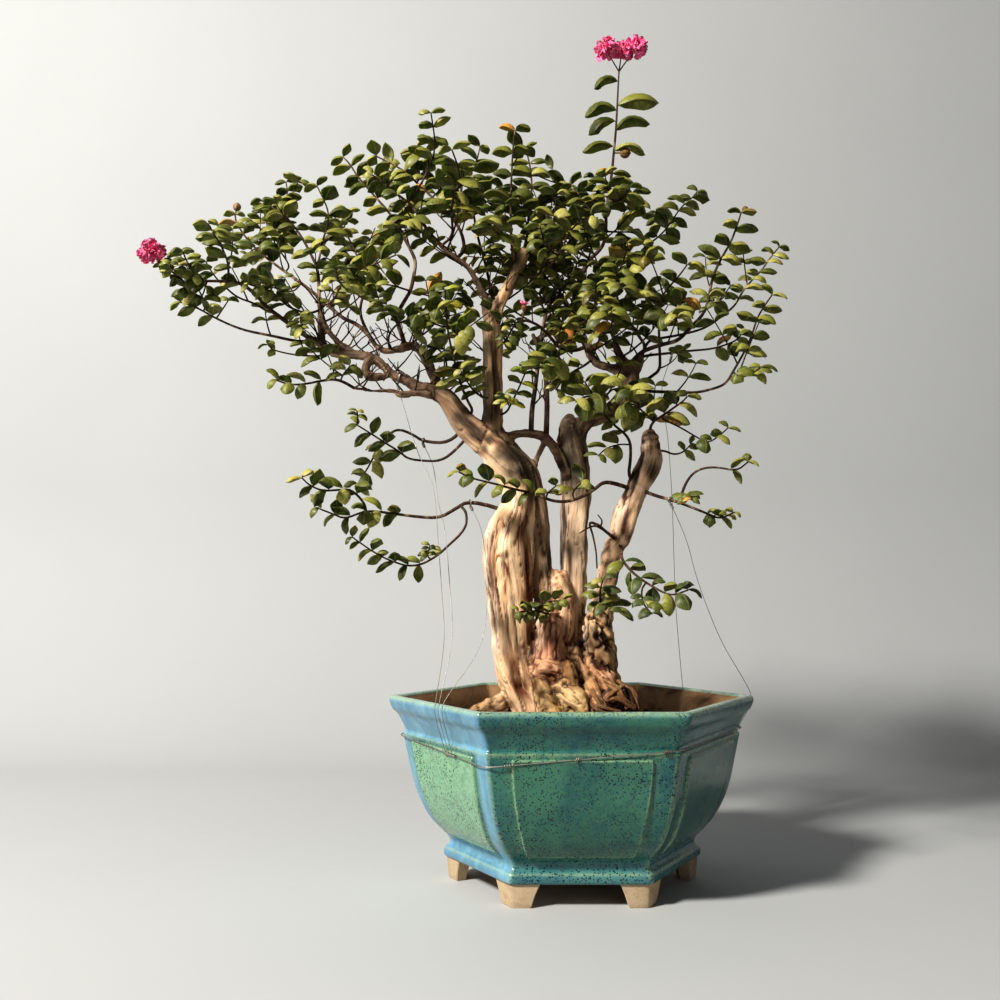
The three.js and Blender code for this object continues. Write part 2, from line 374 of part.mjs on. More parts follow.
// Guys: name, limb or spray they hold, shoot of that spray, across and down of the ring, route, face
// of the pot counted from the right-hand corner, and the share along it where the guy crosses the lip
const GUYS = [
  ["guy_left_front", "lower", 0, [399, 378], [[410, 428], [419, 455], [433, 487], [438, 540], [442, 596],
    [444, 640]], 3, 0.6],
  ["guy_left_back", "spray_left_droop", 0, [425, 442], [[433, 466], [438, 501], [444, 526], [450, 589],
    [452, 640]], 3, 0.64],
  ["guy_slack", "spray_low_left", 0, [471, 500], [[480, 526], [484, 545], [487, 570], [487, 604],
    [480, 646]], 3, 0.68],
  ["guy_right_back", "spray_right_stub", 2, [670, 353], [[662, 388], [668, 440], [672, 498], [674, 560],
    [676, 610]], 0, 0.62],
  ["guy_right", "spray_right_forked", 0, [671, 500], [[676, 515], [687, 542], [696, 575], [706, 604],
    [722, 642]], 0, 0.05],
];

// Colours, as the eye meets them in soft daylight
const COLOURS = {
  pot: 0x6f9284,
  soil: 0x3b2a1f,
  wood: 0xb08f6c,
  leaf: 0x46591f,
  youngLeaf: 0x8a8f35,
  petal: 0xd8487c,
  wire: 0x8b8378,
};

// Repeatable random numbers
function seeded(seed) {
  let state = seed >>> 0;
  return () => {
    state = (state + 0x6d2b79f5) >>> 0;
    let mixed = Math.imul(state ^ (state >>> 15), state | 1);
    mixed ^= mixed + Math.imul(mixed ^ (mixed >>> 7), mixed | 61);
    return ((mixed ^ (mixed >>> 14)) >>> 0) / 4294967296;
  };
}

// Solids
function solid(points, triangles) {
  const vertProperties = new Float32Array(points.flatMap((p) => [p.x, p.y, p.z]));
  const triVerts = new Uint32Array(triangles);
  return new wasm.Manifold(new wasm.Mesh({ numProp: 3, vertProperties, triVerts }));
}

function solidOf(geometry) {
  const bare = geometry.clone();
  bare.deleteAttribute("normal");
  bare.deleteAttribute("uv");
  const merged = mergeVertices(bare, 1e-4);
  const position = merged.getAttribute("position");
  const points = [];
  for (let i = 0; i < position.count; i += 1) {
    points.push(new THREE.Vector3().fromBufferAttribute(position, i));
  }
  return solid(points, merged.getIndex().array);
}

function joined(parts) {
  return parts.reduce((whole, part) => whole.add(part));
}

// Rings of equally many points, skinned, with a fan over each end ring
function skinned(rings) {
  const sides = rings[0].length;
  const points = rings.flat();
  const triangles = [];
  for (let r = 0; r + 1 < rings.length; r += 1) {
    for (let i = 0; i < sides; i += 1) {
      const a = r * sides + i;
      const b = r * sides + ((i + 1) % sides);
      triangles.push(a, b, b + sides, a, b + sides, a + sides);
    }
  }
  const last = (rings.length - 1) * sides;
  for (let i = 1; i + 1 < sides; i += 1) {
    triangles.push(0, i + 1, i, last, last + i, last + i + 1);
  }
  return solid(points, triangles);
}

function tangents(points) {
  return points.map((p, i) => {
    const before = points[Math.max(i - 1, 0)];
    const after = points[Math.min(i + 1, points.length - 1)];
    return after.clone().sub(before).normalize();
  });
}

// A round tube along points, one radius a point. flute cuts long hollows in it, and grow makes it
// larger all over, for the clearance round it.
function limb(points, radii, sides, flute = 0, grow = 0) {
  const along = tangents(points);
  const ends = points.map((p) => p.clone());
  ends[0].addScaledVector(along[0], -grow);
  ends.at(-1).addScaledVector(along.at(-1), grow);
  let across = new THREE.Vector3(0, 1, 0).cross(along[0]);
  if (across.length() < 0.2) {
    across = new THREE.Vector3(1, 0, 0).cross(along[0]);
  }
  const rings = ends.map((centre, i) => {
    across.addScaledVector(along[i], -across.dot(along[i])).normalize();
    const other = along[i].clone().cross(across);
    return Array.from({ length: sides }, (_, k) => {
      const angle = (2 * Math.PI * k) / sides;
      const wave = 1 + flute * Math.sin(3 * angle + i * 0.5) + flute * 0.6 * Math.sin(5 * angle - i * 0.35);
      const radius = (radii[i] * wave) + grow;
      return centre.clone().addScaledVector(across, radius * Math.cos(angle))
        .addScaledVector(other, radius * Math.sin(angle));
    });
  });
  return skinned(rings);
}

function lengthOf(points) {
  return points.slice(1).reduce((sum, p, i) => sum + p.distanceTo(points[i]), 0);
}

// The points of a route that its shape needs: those more than a tolerance off the straight run
function straightened(rows, tolerance) {
  if (rows.length < 3) {
    return rows;
  }
  const [first, last] = [rows[0].at, rows.at(-1).at];
  const run = new THREE.Line3(first, last);
  const foot = new THREE.Vector3();
  const off = rows.map((row) => row.at.distanceTo(run.closestPointToPoint(row.at, true, foot)));
  const furthest = off.indexOf(Math.max(...off));
  if (off[furthest] < tolerance) {
    return [rows[0], rows.at(-1)];
  }
  return [...straightened(rows.slice(0, furthest + 1), tolerance).slice(0, -1),
    ...straightened(rows.slice(furthest), tolerance)];
}

// The point at a distance along a route, and the direction there
function pointAlong(points, distance) {
  let left = distance;
  for (let i = 0; i + 1 < points.length; i += 1) {
    const step = points[i + 1].clone().sub(points[i]);
    const length = step.length();
    if (left <= length || i + 2 === points.length) {
      const direction = step.normalize();
      return [points[i].clone().addScaledVector(direction, left), direction];
    }
    left -= length;
  }
  return [points.at(-1).clone(), new THREE.Vector3(0, 0, 1)];
}

// Pot
function hexagonRing(radius, height) {
  const ring = [];
  for (let corner = 0; corner < 6; corner += 1) {
    const angle = (Math.PI / 3) * corner;
    const at = new THREE.Vector3(radius * Math.cos(angle), radius * Math.sin(angle), height);
    for (const side of [-1, 1]) {
      const next = angle + side * (Math.PI / 3);
      const along = new THREE.Vector3(radius * Math.cos(next), radius * Math.sin(next), height).sub(at);
      ring.push(at.clone().addScaledVector(along.normalize(), CORNER_CUT));
    }
  }
  return ring;
}

function radiusAt(profile, height) {
  const rows = [...profile].sort((a, b) => a[1] - b[1]);
  const above = rows.findIndex((row) => row[1] >= height);
  if (above <= 0) {
    return rows[0][0];
  }
  const [low, high] = [rows[above - 1], rows[above]];
  return THREE.MathUtils.mapLinear(height, low[1], high[1], low[0], high[0]);
}

// Apothem of a hexagon over its corner radius
const APOTHEM = Math.cos(Math.PI / 6);

function turned(manifoldPart, sixths) {
  return manifoldPart.rotate([0, 0, sixths * 60]);
}

// Raised panel of the face that looks along -Y
function panel() {
  const rows = [0, 0.25, 0.5, 0.75, 1].map((t) => {
    const z = THREE.MathUtils.lerp(PANEL_BOTTOM, PANEL_TOP, t);
    const half = THREE.MathUtils.lerp(PANEL_HALF_BOTTOM, PANEL_HALF_TOP, Math.sin((t * Math.PI) / 2));
    const face = radiusAt(POT_OUTSIDE, z) * APOTHEM;
    return [
      new THREE.Vector3(-half, -(face - 2), z), new THREE.Vector3(-half + 1.2, -(face + PANEL_RISE), z),
      new THREE.Vector3(half - 1.2, -(face + PANEL_RISE), z), new THREE.Vector3(half, -(face - 2), z),
    ];
  });
  return skinned(rows);
}

// Foot bracket: one arm of it runs along each side of the corner at +X
function foot() {
  const arms = [-1, 1].map((side) => {
    const ring = (z, radius, reach, wall) => {
      const corner = new THREE.Vector3(radius, 0, z);
      const along = new THREE.Vector3(-0.5, side * Math.sin(Math.PI / 3), 0);
      const inward = new THREE.Vector3(-Math.sin(Math.PI / 3), -side * 0.5, 0);
      const points = [
        corner, corner.clone().addScaledVector(along, reach),
        corner.clone().addScaledVector(along, reach).addScaledVector(inward, wall),
        new THREE.Vector3(radius - wall / APOTHEM, 0, z),
      ];
      return side > 0 ? points : points.reverse();
    };
    return skinned([
      ring(0, FLANGE_RADIUS - 4, FOOT_REACH_BOTTOM, FOOT_WALL_BOTTOM),
      ring(FLANGE_BOTTOM + 2, FLANGE_RADIUS - 2, FOOT_REACH_TOP, FOOT_WALL_TOP),
    ]);
  });
  return joined(arms);
}

function drainHole(x, y) {
  const drill = new THREE.CylinderGeometry(DRAIN_RADIUS, DRAIN_RADIUS, FLOOR_TOP + 10, 12);
  drill.rotateX(Math.PI / 2).translate(x, y, FLOOR_TOP / 2);
  return solidOf(drill);
}

function potSolid() {
  const profile = [...POT_OUTSIDE, ...POT_INSIDE];
  const shell = skinned(profile.map(([radius, height]) => hexagonRing(radius, height)));
  const holes = [drainHole(-DRAIN_OFFSET, 0), drainHole(DRAIN_OFFSET, 0)];
  const sixths = [0, 1, 2, 3, 4, 5];
  const trimmed = [...sixths.map((k) => turned(panel(), k)), ...sixths.map((k) => turned(foot(), k))];
  return joined([shell, ...trimmed]).subtract(holes[0]).subtract(holes[1]);
}

// Soil: rings of a hexagon up the inside of the pot, then in over the rough surface
function soilSolid() {
  const random = seeded(11);
  const perSide = 3;
  const ring = (radius, heightAt) => {
    const points = [];
    for (let side = 0; side < 6; side += 1) {
      const [a, b] = [side, side + 1].map((k) => (Math.PI / 3) * k);
      for (let i = 0; i < perSide; i += 1) {
        const t = i / perSide;
        const x = radius * THREE.MathUtils.lerp(Math.cos(a), Math.cos(b), t);
        const y = radius * THREE.MathUtils.lerp(Math.sin(a), Math.sin(b), t);
        points.push(new THREE.Vector3(x, y, heightAt(x, y)));
      }
    }
    return points;
  };
  const gap = CORNER_CUT / 2 + CLEARANCE / APOTHEM;
  const walls = [[108, FLOOR_TOP + CLEARANCE], [138, 72 + CLEARANCE]]
    .map(([radius, z]) => ring(radius - gap, () => z));
  const surface = (x, y) => SOIL_LEVEL + SOIL_MOUND * Math.exp(-((Math.hypot(x, y) / SOIL_MOUND_REACH) ** 2))
    + SOIL_ROUGHNESS * (random() - 0.5) * 2;
  const top = radiusAt(POT_INSIDE, SOIL_LEVEL - 4) - gap;
  const over = [1, 0.75, 0.5, 0.22].map((share) => ring(top * share, surface));
  return skinned([...walls, ...over]);
}

// Wood
function limbRoute(points) {
  return points.map(([across, down, depth]) => seen(across, down, depth));
}

function woodSolid(grow) {
  const reach = 2 * POT_OUTSIDE.at(-1)[0];
  const below = new THREE.BoxGeometry(reach, reach, ROOT_BOTTOM).translate(0, 0, ROOT_BOTTOM / 2 - grow);
  return joined(LIMBS.map(([, sides, flute, points]) => {
    const rows = limbRoute(points).map((at, i) => ({ at, radius: points[i][3] }));
    const kept = straightened(rows, WOOD_TOLERANCE);
    return limb(kept.map((row) => row.at), kept.map((row) => row.radius), sides, flute, grow);
  })).subtract(solidOf(below));
}

// Shoots. A shoot starts at the nearest point of what it grows from, as seen on the window.
function routesOf(spray) {
  const routes = [];
  for (const [from, , , tipDepth, , , seenRoute] of spray[1]) {
    const carrier = typeof from === "string"
      ? LIMBS.find((row) => row[0] === from)[3].map(([across, down, depth]) => [across, down, depth])
      : routes[from];
    const root = nearestOn(carrier, seenRoute[0]);
    const route = [root];
    seenRoute.forEach(([across, down], i) => {
      const share = (i + 1) / seenRoute.length;
      route.push([across, down, THREE.MathUtils.lerp(root[2], tipDepth * DEPTH_SPREAD, share)]);
    });
    const kept = straightened(route.map((row) => ({ at: seen(...row), row })), STEM_TOLERANCE);
    routes.push(kept.map(({ row }) => row));
  }
  return routes;
}

function nearestOn(carrier, [across, down]) {
  let best = null;
  for (let i = 0; i + 1 < carrier.length; i += 1) {
    const [a, b] = [carrier[i], carrier[i + 1]];
    const run = [b[0] - a[0], b[1] - a[1]];
    const share = ((across - a[0]) * run[0] + (down - a[1]) * run[1]) / (run[0] ** 2 + run[1] ** 2);
    const t = THREE.MathUtils.clamp(share, 0, 1);
    const [near, far] = [a, b].map((row) => SIGHT_DISTANCE + row[2]);
    const shareInSpace = (t * near) / ((1 - t) * far + t * near);
    const point = [0, 1].map((k) => THREE.MathUtils.lerp(a[k], b[k], t));
    point.push(THREE.MathUtils.lerp(a[2], b[2], shareInSpace));
    const distance = Math.hypot(point[0] - across, point[1] - down);
    if (!best || distance < best.distance) {
      best = { distance, point };
    }
  }
  return best.point;
}

// Leaf: a thin arched blade. base and along in space, across its width, length and half width in mm.
function bladeFrame(leaf, share) {
  const centre = leaf.base.clone().addScaledVector(leaf.along, leaf.length * share);
  centre.z -= leaf.length * LEAF_DROOP * share * share;
  const run = leaf.along.clone();
  run.z -= 2 * LEAF_DROOP * share;
  const up = run.cross(leaf.across).normalize();
  return [centre, up];
}

// Stations along a leaf: share of its length, share of its half width
const LEAF_STATIONS = [[0.36, 0.9], [0.74, 0.86]];
const LEAF_ROOT_HALF_WIDTH = 0.55;
const LEAF_WINDOW = 0.8;
const WINDOW_REACH = 4;

// Closed thin solid between two faces that are split alike. rim is a closed row of [point, up].
function thinSolid(rim, faces, thickness) {
  const points = [0.5, -0.5].flatMap((side) => rim.map(([point, up]) => (
    point.clone().addScaledVector(up, side * thickness))));
  const edge = faces.edge ?? rim.length;
  const count = rim.length;
  const triangles = faces.top.flatMap(([a, b, c]) => [a, b, c, a + count, c + count, b + count]);
  for (let i = 0; i < edge; i += 1) {
    const next = (i + 1) % edge;
    triangles.push(i, i + count, next, next, i + count, next + count);
  }
  return solid(points, triangles);
}

const LEAF_FACES = { top: [[0, 1, 6], [1, 5, 6], [1, 2, 5], [2, 4, 5], [2, 3, 4]] };

function leafSolid(leaf, thickness = LEAF_THICKNESS) {
  const at = (share, reach) => {
    const [centre, up] = bladeFrame(leaf, share);
    return [centre.addScaledVector(leaf.across, reach), up];
  };
  const [[s1, w1], [s2, w2]] = LEAF_STATIONS;
  const half = leaf.halfWidth;
  const rim = [
    at(0, -LEAF_ROOT_HALF_WIDTH), at(s1, -w1 * half), at(s2, -w2 * half), at(1, 0),
    at(s2, w2 * half), at(s1, w1 * half), at(0, LEAF_ROOT_HALF_WIDTH),
  ];
  return thinSolid(rim, LEAF_FACES, thickness);
}

// Pairs of leaves from the tip back to the bare stretch. Every pair draws the same count of numbers.
function pairsOf(route, bareShare, leafLength, random) {
  const total = lengthOf(route);
  const pairs = [];
  const spacing = leafLength * PAIR_SPACING;
  for (let number = 0; leafLength > 0; number += 1) {
    const distance = total - LEAF_WINDOW - number * spacing;
    if (distance < Math.max(total * bareShare, 5)) {
      break;
    }
    const [base, along] = pointAlong(route, distance);
    const steep = Math.abs(along.z) > 0.75;
    const level = steep ? new THREE.Vector3(1, 0, 0) : new THREE.Vector3(along.y, -along.x, 0).normalize();
    const turn = (random() - 0.5) * 1.2 + (steep ? (number % 2) * 1.3 : (number % 2) * 0.7 - 0.35);
    const draws = [random(), random(), random(), random(), random(), random()];
    const out = level.clone().applyAxisAngle(along, turn);
    out.addScaledVector(along, -out.dot(along)).normalize();
    const leaves = [0, 1].map((side) => {
      const away = out.clone().multiplyScalar(side ? -1 : 1);
      const run = away.clone().multiplyScalar(Math.cos(LEAF_RISE));
      run.addScaledVector(along, Math.sin(LEAF_RISE));
      run.applyAxisAngle(along, (draws[side] - 0.5) * 0.6);
      if (run.z < -0.2) {
        run.z *= 0.4;
      }
      run.normalize();
      const across = new THREE.Vector3(0, 0, 1).cross(run);
      if (across.length() < 0.15) {
        across.set(0, 1, 0).cross(run);
      }
      across.normalize().applyAxisAngle(run, (draws[2 + side] - 0.5) * 1.1);
      const grown = number === 0 ? 0.7 : 1;
      const length = leafLength * grown * (0.82 + 0.36 * draws[4 + side]);
      return { base, out: away, along: run, across, length, halfWidth: length * LEAF_WIDTH };
    });
    pairs.push({ number, distance, out, leaves });
  }
  return pairs;
}

// What already stands, so that later leaves turn clear of it
const standing = [];

function stand(part) {
  standing.push({ part, box: part.boundingBox() });
}

function boxesMeet(a, b) {
  return [0, 1, 2].every((k) => a.min[k] < b.max[k] && b.min[k] < a.max[k]);
}

function isClear(part) {
  const box = part.boundingBox();
  return standing.every((other) => !boxesMeet(box, other.box) || part.intersect(other.part).isEmpty());
}

function largest(part) {
  return part.decompose().sort((a, b) => b.volume() - a.volume())[0];
}

function capsuleSolid(tip, radius) {
  const ball = new THREE.SphereGeometry(radius, 6, 5);
  ball.rotateX(Math.PI / 2).translate(tip.x, tip.y, tip.z);
  return solidOf(ball);
}

const groveWood = woodSolid(0);
const woodClearance = woodSolid(CLEARANCE);
const tips = {};
const stems = {};

// Ring of a stem with few sides, one of its flats square to `facing`
function stemRing(centre, along, facing, radius, sides) {
  const other = along.clone().cross(facing);
  return Array.from({ length: sides }, (_, k) => {
    const angle = (2 * Math.PI * (k + 0.5)) / sides;
    return centre.clone().addScaledVector(facing, radius * Math.cos(angle))
      .addScaledVector(other, radius * Math.sin(angle));
  });
}

// The turn of `wanted` about `along`, by whole flats either way round, that lies nearest to `before`
function leastTurned(wanted, along, before, sides) {
  const turns = Array.from({ length: 2 * sides }, (_, k) => (
    wanted.clone().multiplyScalar(k < sides ? 1 : -1).applyAxisAngle(along, (2 * Math.PI * k) / sides)));
  return turns.sort((p, q) => q.dot(before) - p.dot(before))[0];
}

// A leaf grown out of the open square `root` in its stem's side: triangles for the shared list
function growLeaf(root, leaf, points, triangles) {
  const station = (share, half) => {
    const [centre, up] = bladeFrame(leaf, share);
    return [[-1, -1], [1, -1], [1, 1], [-1, 1]].map(([x, y]) => centre.clone()
      .addScaledVector(leaf.across, x * half).addScaledVector(up, (y * LEAF_THICKNESS) / 2));
  };
  const loops = LEAF_STATIONS.map(([share, width]) => station(share, width * leaf.halfWidth));
  const away = (shift) => root.reduce((sum, k, i) => (
    sum + points[k].distanceToSquared(loops[0][(i + shift) % 4])), 0);
  const shift = [0, 1, 2, 3].sort((p, q) => away(p) - away(q))[0];
  let from = root;
  for (const loop of loops) {
    const to = from.map((_, i) => points.push(loop[(i + shift) % 4]) - 1);
    for (let i = 0; i < 4; i += 1) {
      const next = (i + 1) % 4;
      triangles.push(from[i], from[next], to[next], from[i], to[next], to[i]);
    }
    from = to;
  }
  const tip = points.push(bladeFrame(leaf, 1)[0]) - 1;
  for (let i = 0; i < 4; i += 1) {
    triangles.push(from[i], from[(i + 1) % 4], tip);
  }
}

// A stem with its pairs of leaves, all one skin. rows are { at, radius } from the root on; pairs are
// { distance, leaves }, where each leaf leaves the stem through a flat side of its own.
function leafyStem(rows, pairs, sides) {
  const line = rows.map((row) => row.at);
  const stops = [];
  let walked = 0;
  rows.forEach((row, i) => {
    walked += i ? row.at.distanceTo(line[i - 1]) : 0;
    stops.push({ distance: walked, radius: row.radius, at: row.at });
  });
  const radiusOn = (distance) => {
    const after = Math.max(1, stops.findIndex((stop) => stop.distance >= distance));
    const [low, high] = [stops[after - 1], stops[after]];
    return THREE.MathUtils.mapLinear(distance, low.distance, high.distance, low.radius, high.radius);
  };
  const plain = stops.filter((stop, i) => i === 0
    || pairs.every((pair) => Math.abs(pair.distance - stop.distance) > WINDOW_REACH));
  const windows = pairs.flatMap((pair) => [-LEAF_WINDOW, LEAF_WINDOW].map((shift, i) => {
    const distance = pair.distance + shift;
    return { distance, radius: radiusOn(distance), at: pointAlong(line, distance)[0], pair, opens: i === 0 };
  }));
  const all = [...plain, ...windows].sort((p, q) => p.distance - q.distance);
  const along = tangents(all.map((stop) => stop.at));
  const points = [];
  const triangles = [];
  let facing = new THREE.Vector3(0, 1, 0).cross(along[0]);
  facing = facing.length() < 0.2 ? new THREE.Vector3(1, 0, 0) : facing;
  all.forEach((stop, i) => {
    facing.addScaledVector(along[i], -facing.dot(along[i])).normalize();
    if (stop.pair) {
      const { out } = stop.pair;
      const wanted = out.clone().addScaledVector(along[i], -out.dot(along[i])).normalize();
      facing = leastTurned(wanted, along[i], facing, sides);
    }
    const ring = stemRing(stop.at, along[i], facing, stop.radius, sides);
    stop.ring = ring.map((point) => points.push(point) - 1);
    stop.facing = facing.clone();
  });
  for (let i = 0; i + 1 < all.length; i += 1) {
    const [low, high] = [all[i], all[i + 1]];
    const flats = low.ring.map((_, k) => ({
      square: [low.ring[k], low.ring[(k + 1) % sides], high.ring[(k + 1) % sides], high.ring[k]],
      normal: low.facing.clone().applyAxisAngle(along[i], (2 * Math.PI * (k + 1)) / sides),
    }));
    for (const leaf of low.opens ? low.pair.leaves : []) {
      flats.sort((p, q) => q.normal.dot(leaf.out) - p.normal.dot(leaf.out));
      growLeaf(flats.shift().square, leaf, points, triangles);
    }
    flats.forEach(({ square: [p, q, r, t] }) => triangles.push(p, q, r, p, r, t));
  }
  for (let k = 1; k + 1 < sides; k += 1) {
    const [first, last] = [all[0].ring, all.at(-1).ring];
    triangles.push(first[0], first[k + 1], first[k], last[0], last[k], last[k + 1]);
  }
  return solid(points, triangles);
}

function shootRows([, rootRadius, tipRadius], route) {
  const total = lengthOf(route);
  return route.map((at, k) => {
    const share = lengthOf(route.slice(0, k + 1)) / total;
    return { at, radius: THREE.MathUtils.lerp(rootRadius, tipRadius, share) };
  });
}

// Side shoots are thinner and take three flats
function sidesOf([from]) {
  return typeof from === "string" ? 4 : 3;
}

function sprayStems(spray) {
  const routes = routesOf(spray).map((route) => route.map((p) => seen(...p)));
  tips[spray[0]] = routes;
  return spray[1].map((shoot, i) => leafyStem(shootRows(shoot, routes[i]), [], sidesOf(shoot)));
}

function sprayCapsules([name]) {
  return CAPSULES.filter((row) => row[0] === name).flatMap(([, across, down, radius]) => {
    const off = (end) => end.distanceTo(seen(across, down, end.y));
    const end = tips[name].map((route) => route.at(-1)).sort((p, q) => off(p) - off(q))[0];
    const at = seen(across, down, end.y);
    return [limb([end, at], [0.9, 0.9], 4), capsuleSolid(at, radius)];
  });
}

// The leaves of a pair that stay clear of everything that already stands, turned a little if need be
function clearedPair(pair, own) {
  const upright = new THREE.Vector3(0, 0, 1);
  const leaves = [];
  for (const leaf of pair.leaves) {
    for (const twist of [0, 0.3, -0.3, 0.55, -0.55]) {
      const tried = { ...leaf };
      tried.along = leaf.along.clone().applyAxisAngle(upright, twist);
      tried.across = leaf.across.clone().applyAxisAngle(upright, twist);
      const swept = leafSolid(tried, LEAF_THICKNESS + 2 * CLEARANCE);
      if (isClear(swept) && own.every((other) => swept.intersect(other).isEmpty())) {
        leaves.push(tried);
        own.push(swept);
        break;
      }
    }
  }
  return { ...pair, leaves };
}

function spraySolid(spray, index) {
  const shoots = spray[1].map((shoot, i) => {
    const [, , , , bare, leafLength] = shoot;
    const rows = shootRows(shoot, tips[spray[0]][i]);
    const random = seeded(1000 * (index + 1) + 17 * i);
    const own = [];
    const pairs = pairsOf(rows.map((row) => row.at), bare, leafLength, random)
      .filter((pair) => pair.number % PAIRS_KEPT === 0).map((pair) => clearedPair(pair, own));
    return leafyStem(rows, pairs.filter((pair) => pair.leaves.length > 0), sidesOf(shoot));
  });
  return largest(joined([...shoots, ...sprayCapsules(spray)]).subtract(woodClearance));
}

// Bloom: flowers with crinkled petals round small hearts, joined to the end of their shoot's stalk
const PETAL_OUTLINE = [[0.14, 0.09], [0.92, 0.42]];
const PETAL_THICKNESS = 0.8;
const PETALS = 5;
const HEART_SHARE = 0.24;
const PETAL_LIFTS = [0.75, 0.15];

function petalSolid(base, along, across, length, random) {
  const up = along.clone().cross(across).normalize();
  const edge = [...PETAL_OUTLINE.map(([s, w]) => [s, -w]), ...[...PETAL_OUTLINE].reverse()];
  const rim = edge.map(([s, w], i) => {
    const frill = (i % 2 === 0 ? 1 : -1) * 0.12 * length * s * s;
    const point = base.clone().addScaledVector(along, length * s * (0.94 + 0.12 * random()))
      .addScaledVector(across, length * w).addScaledVector(up, frill);
    return [point, up];
  });
  rim.push([base.clone().addScaledVector(along, length * 0.7), up]);
  const middle = edge.length;
  const top = edge.map((_, i) => [middle, i, (i + 1) % middle]);
  return thinSolid(rim, { top, edge: middle }, PETAL_THICKNESS);
}

function bloomSolid([, sprayName, flowers, petalLength], index) {
  const random = seeded(500 + index);
  const first = seen(flowers[0][0], flowers[0][1], 0);
  const off = (route) => Math.hypot(route.at(-1).x - first.x, route.at(-1).z - first.z);
  const route = [...tips[sprayName]].sort((a, b) => off(a) - off(b))[0];
  const end = route.at(-1);
  const onward = end.clone().sub(route.at(-2)).normalize();
  const foot = end.clone().addScaledVector(onward, CLEARANCE + 0.1);
  const bend = foot.clone().addScaledVector(onward, 2);
  const parts = [];
  for (const [across, down, toward] of flowers) {
    const heart = seen(across, down, end.y - toward);
    const axis = heart.clone().sub(foot).normalize();
    parts.push(limb([foot, bend, heart], [1, 1, 1.1], 4));
    const core = new THREE.OctahedronGeometry(petalLength * HEART_SHARE, 0);
    parts.push(solidOf(core.translate(heart.x, heart.y, heart.z)));
    const aside = new THREE.Vector3(0, 1, 0).cross(axis).normalize();
    for (let k = 0; k < PETALS; k += 1) {
      const out = aside.clone().applyAxisAngle(axis, (2 * Math.PI * k) / PETALS + 0.3 * random());
      const lift = PETAL_LIFTS[k % 2];
      const along = out.clone().multiplyScalar(Math.cos(lift)).addScaledVector(axis, Math.sin(lift));
      const petalAcross = axis.clone().cross(along).normalize();
      parts.push(petalSolid(heart, along, petalAcross, petalLength, random));
    }
  }
  return joined(parts);
}

// Wire band round the neck of the pot. Corner heights start at the right-hand corner.
const BAND_HEIGHTS = [144, 144, 144, 143, 130, 142];

// The band bends at this share of a face from each corner, and runs straight between
const BAND_BEND = 0.03;

function bandPoint(face, share) {
  const [a, b] = [face, face + 1].map((k) => (Math.PI / 3) * k);
  const height = THREE.MathUtils.lerp(BAND_HEIGHTS[face % 6], BAND_HEIGHTS[(face + 1) % 6], share);
  const radius = radiusAt(POT_OUTSIDE, height) + (WIRE_OFF_GLAZE + WIRE_RADIUS) / APOTHEM + 2;
  return new THREE.Vector3(
    radius * THREE.MathUtils.lerp(Math.cos(a), Math.cos(b), share),
    radius * THREE.MathUtils.lerp(Math.sin(a), Math.sin(b), share),
    height,
  );
}

function bandSolid() {
  const route = [];
  for (let face = 0; face < 6; face += 1) {
    route.push(bandPoint(face, BAND_BEND), bandPoint(face, 1 - BAND_BEND));
  }
  const sides = WIRE_SIDES;
  const rings = route.map((centre, i) => {
    const before = route[(i + route.length - 1) % route.length];
    const after = route[(i + 1) % route.length];
    const along = after.clone().sub(before).normalize();
    const out = new THREE.Vector3(centre.x, centre.y, 0).normalize();
    const up = along.clone().cross(out).normalize();
    const side = up.clone().cross(along);
    return Array.from({ length: sides }, (_, k) => {
      const angle = (2 * Math.PI * k) / sides;
      return centre.clone().addScaledVector(side, WIRE_RADIUS * Math.cos(angle))
        .addScaledVector(up, WIRE_RADIUS * Math.sin(angle));
    });
  });
  const triangles = [];
  for (let r = 0; r < rings.length; r += 1) {
    const next = (r + 1) % rings.length;
    for (let i = 0; i < sides; i += 1) {
      const [a, b] = [r * sides + i, r * sides + ((i + 1) % sides)];
      const [c, d] = [next * sides + ((i + 1) % sides), next * sides + i];
      triangles.push(a, b, c, a, c, d);
    }
  }
  const made = solid(rings.flat(), triangles);
  return made.volume() > 0 ? made : solid(rings.flat(), triangles.reverse());
}

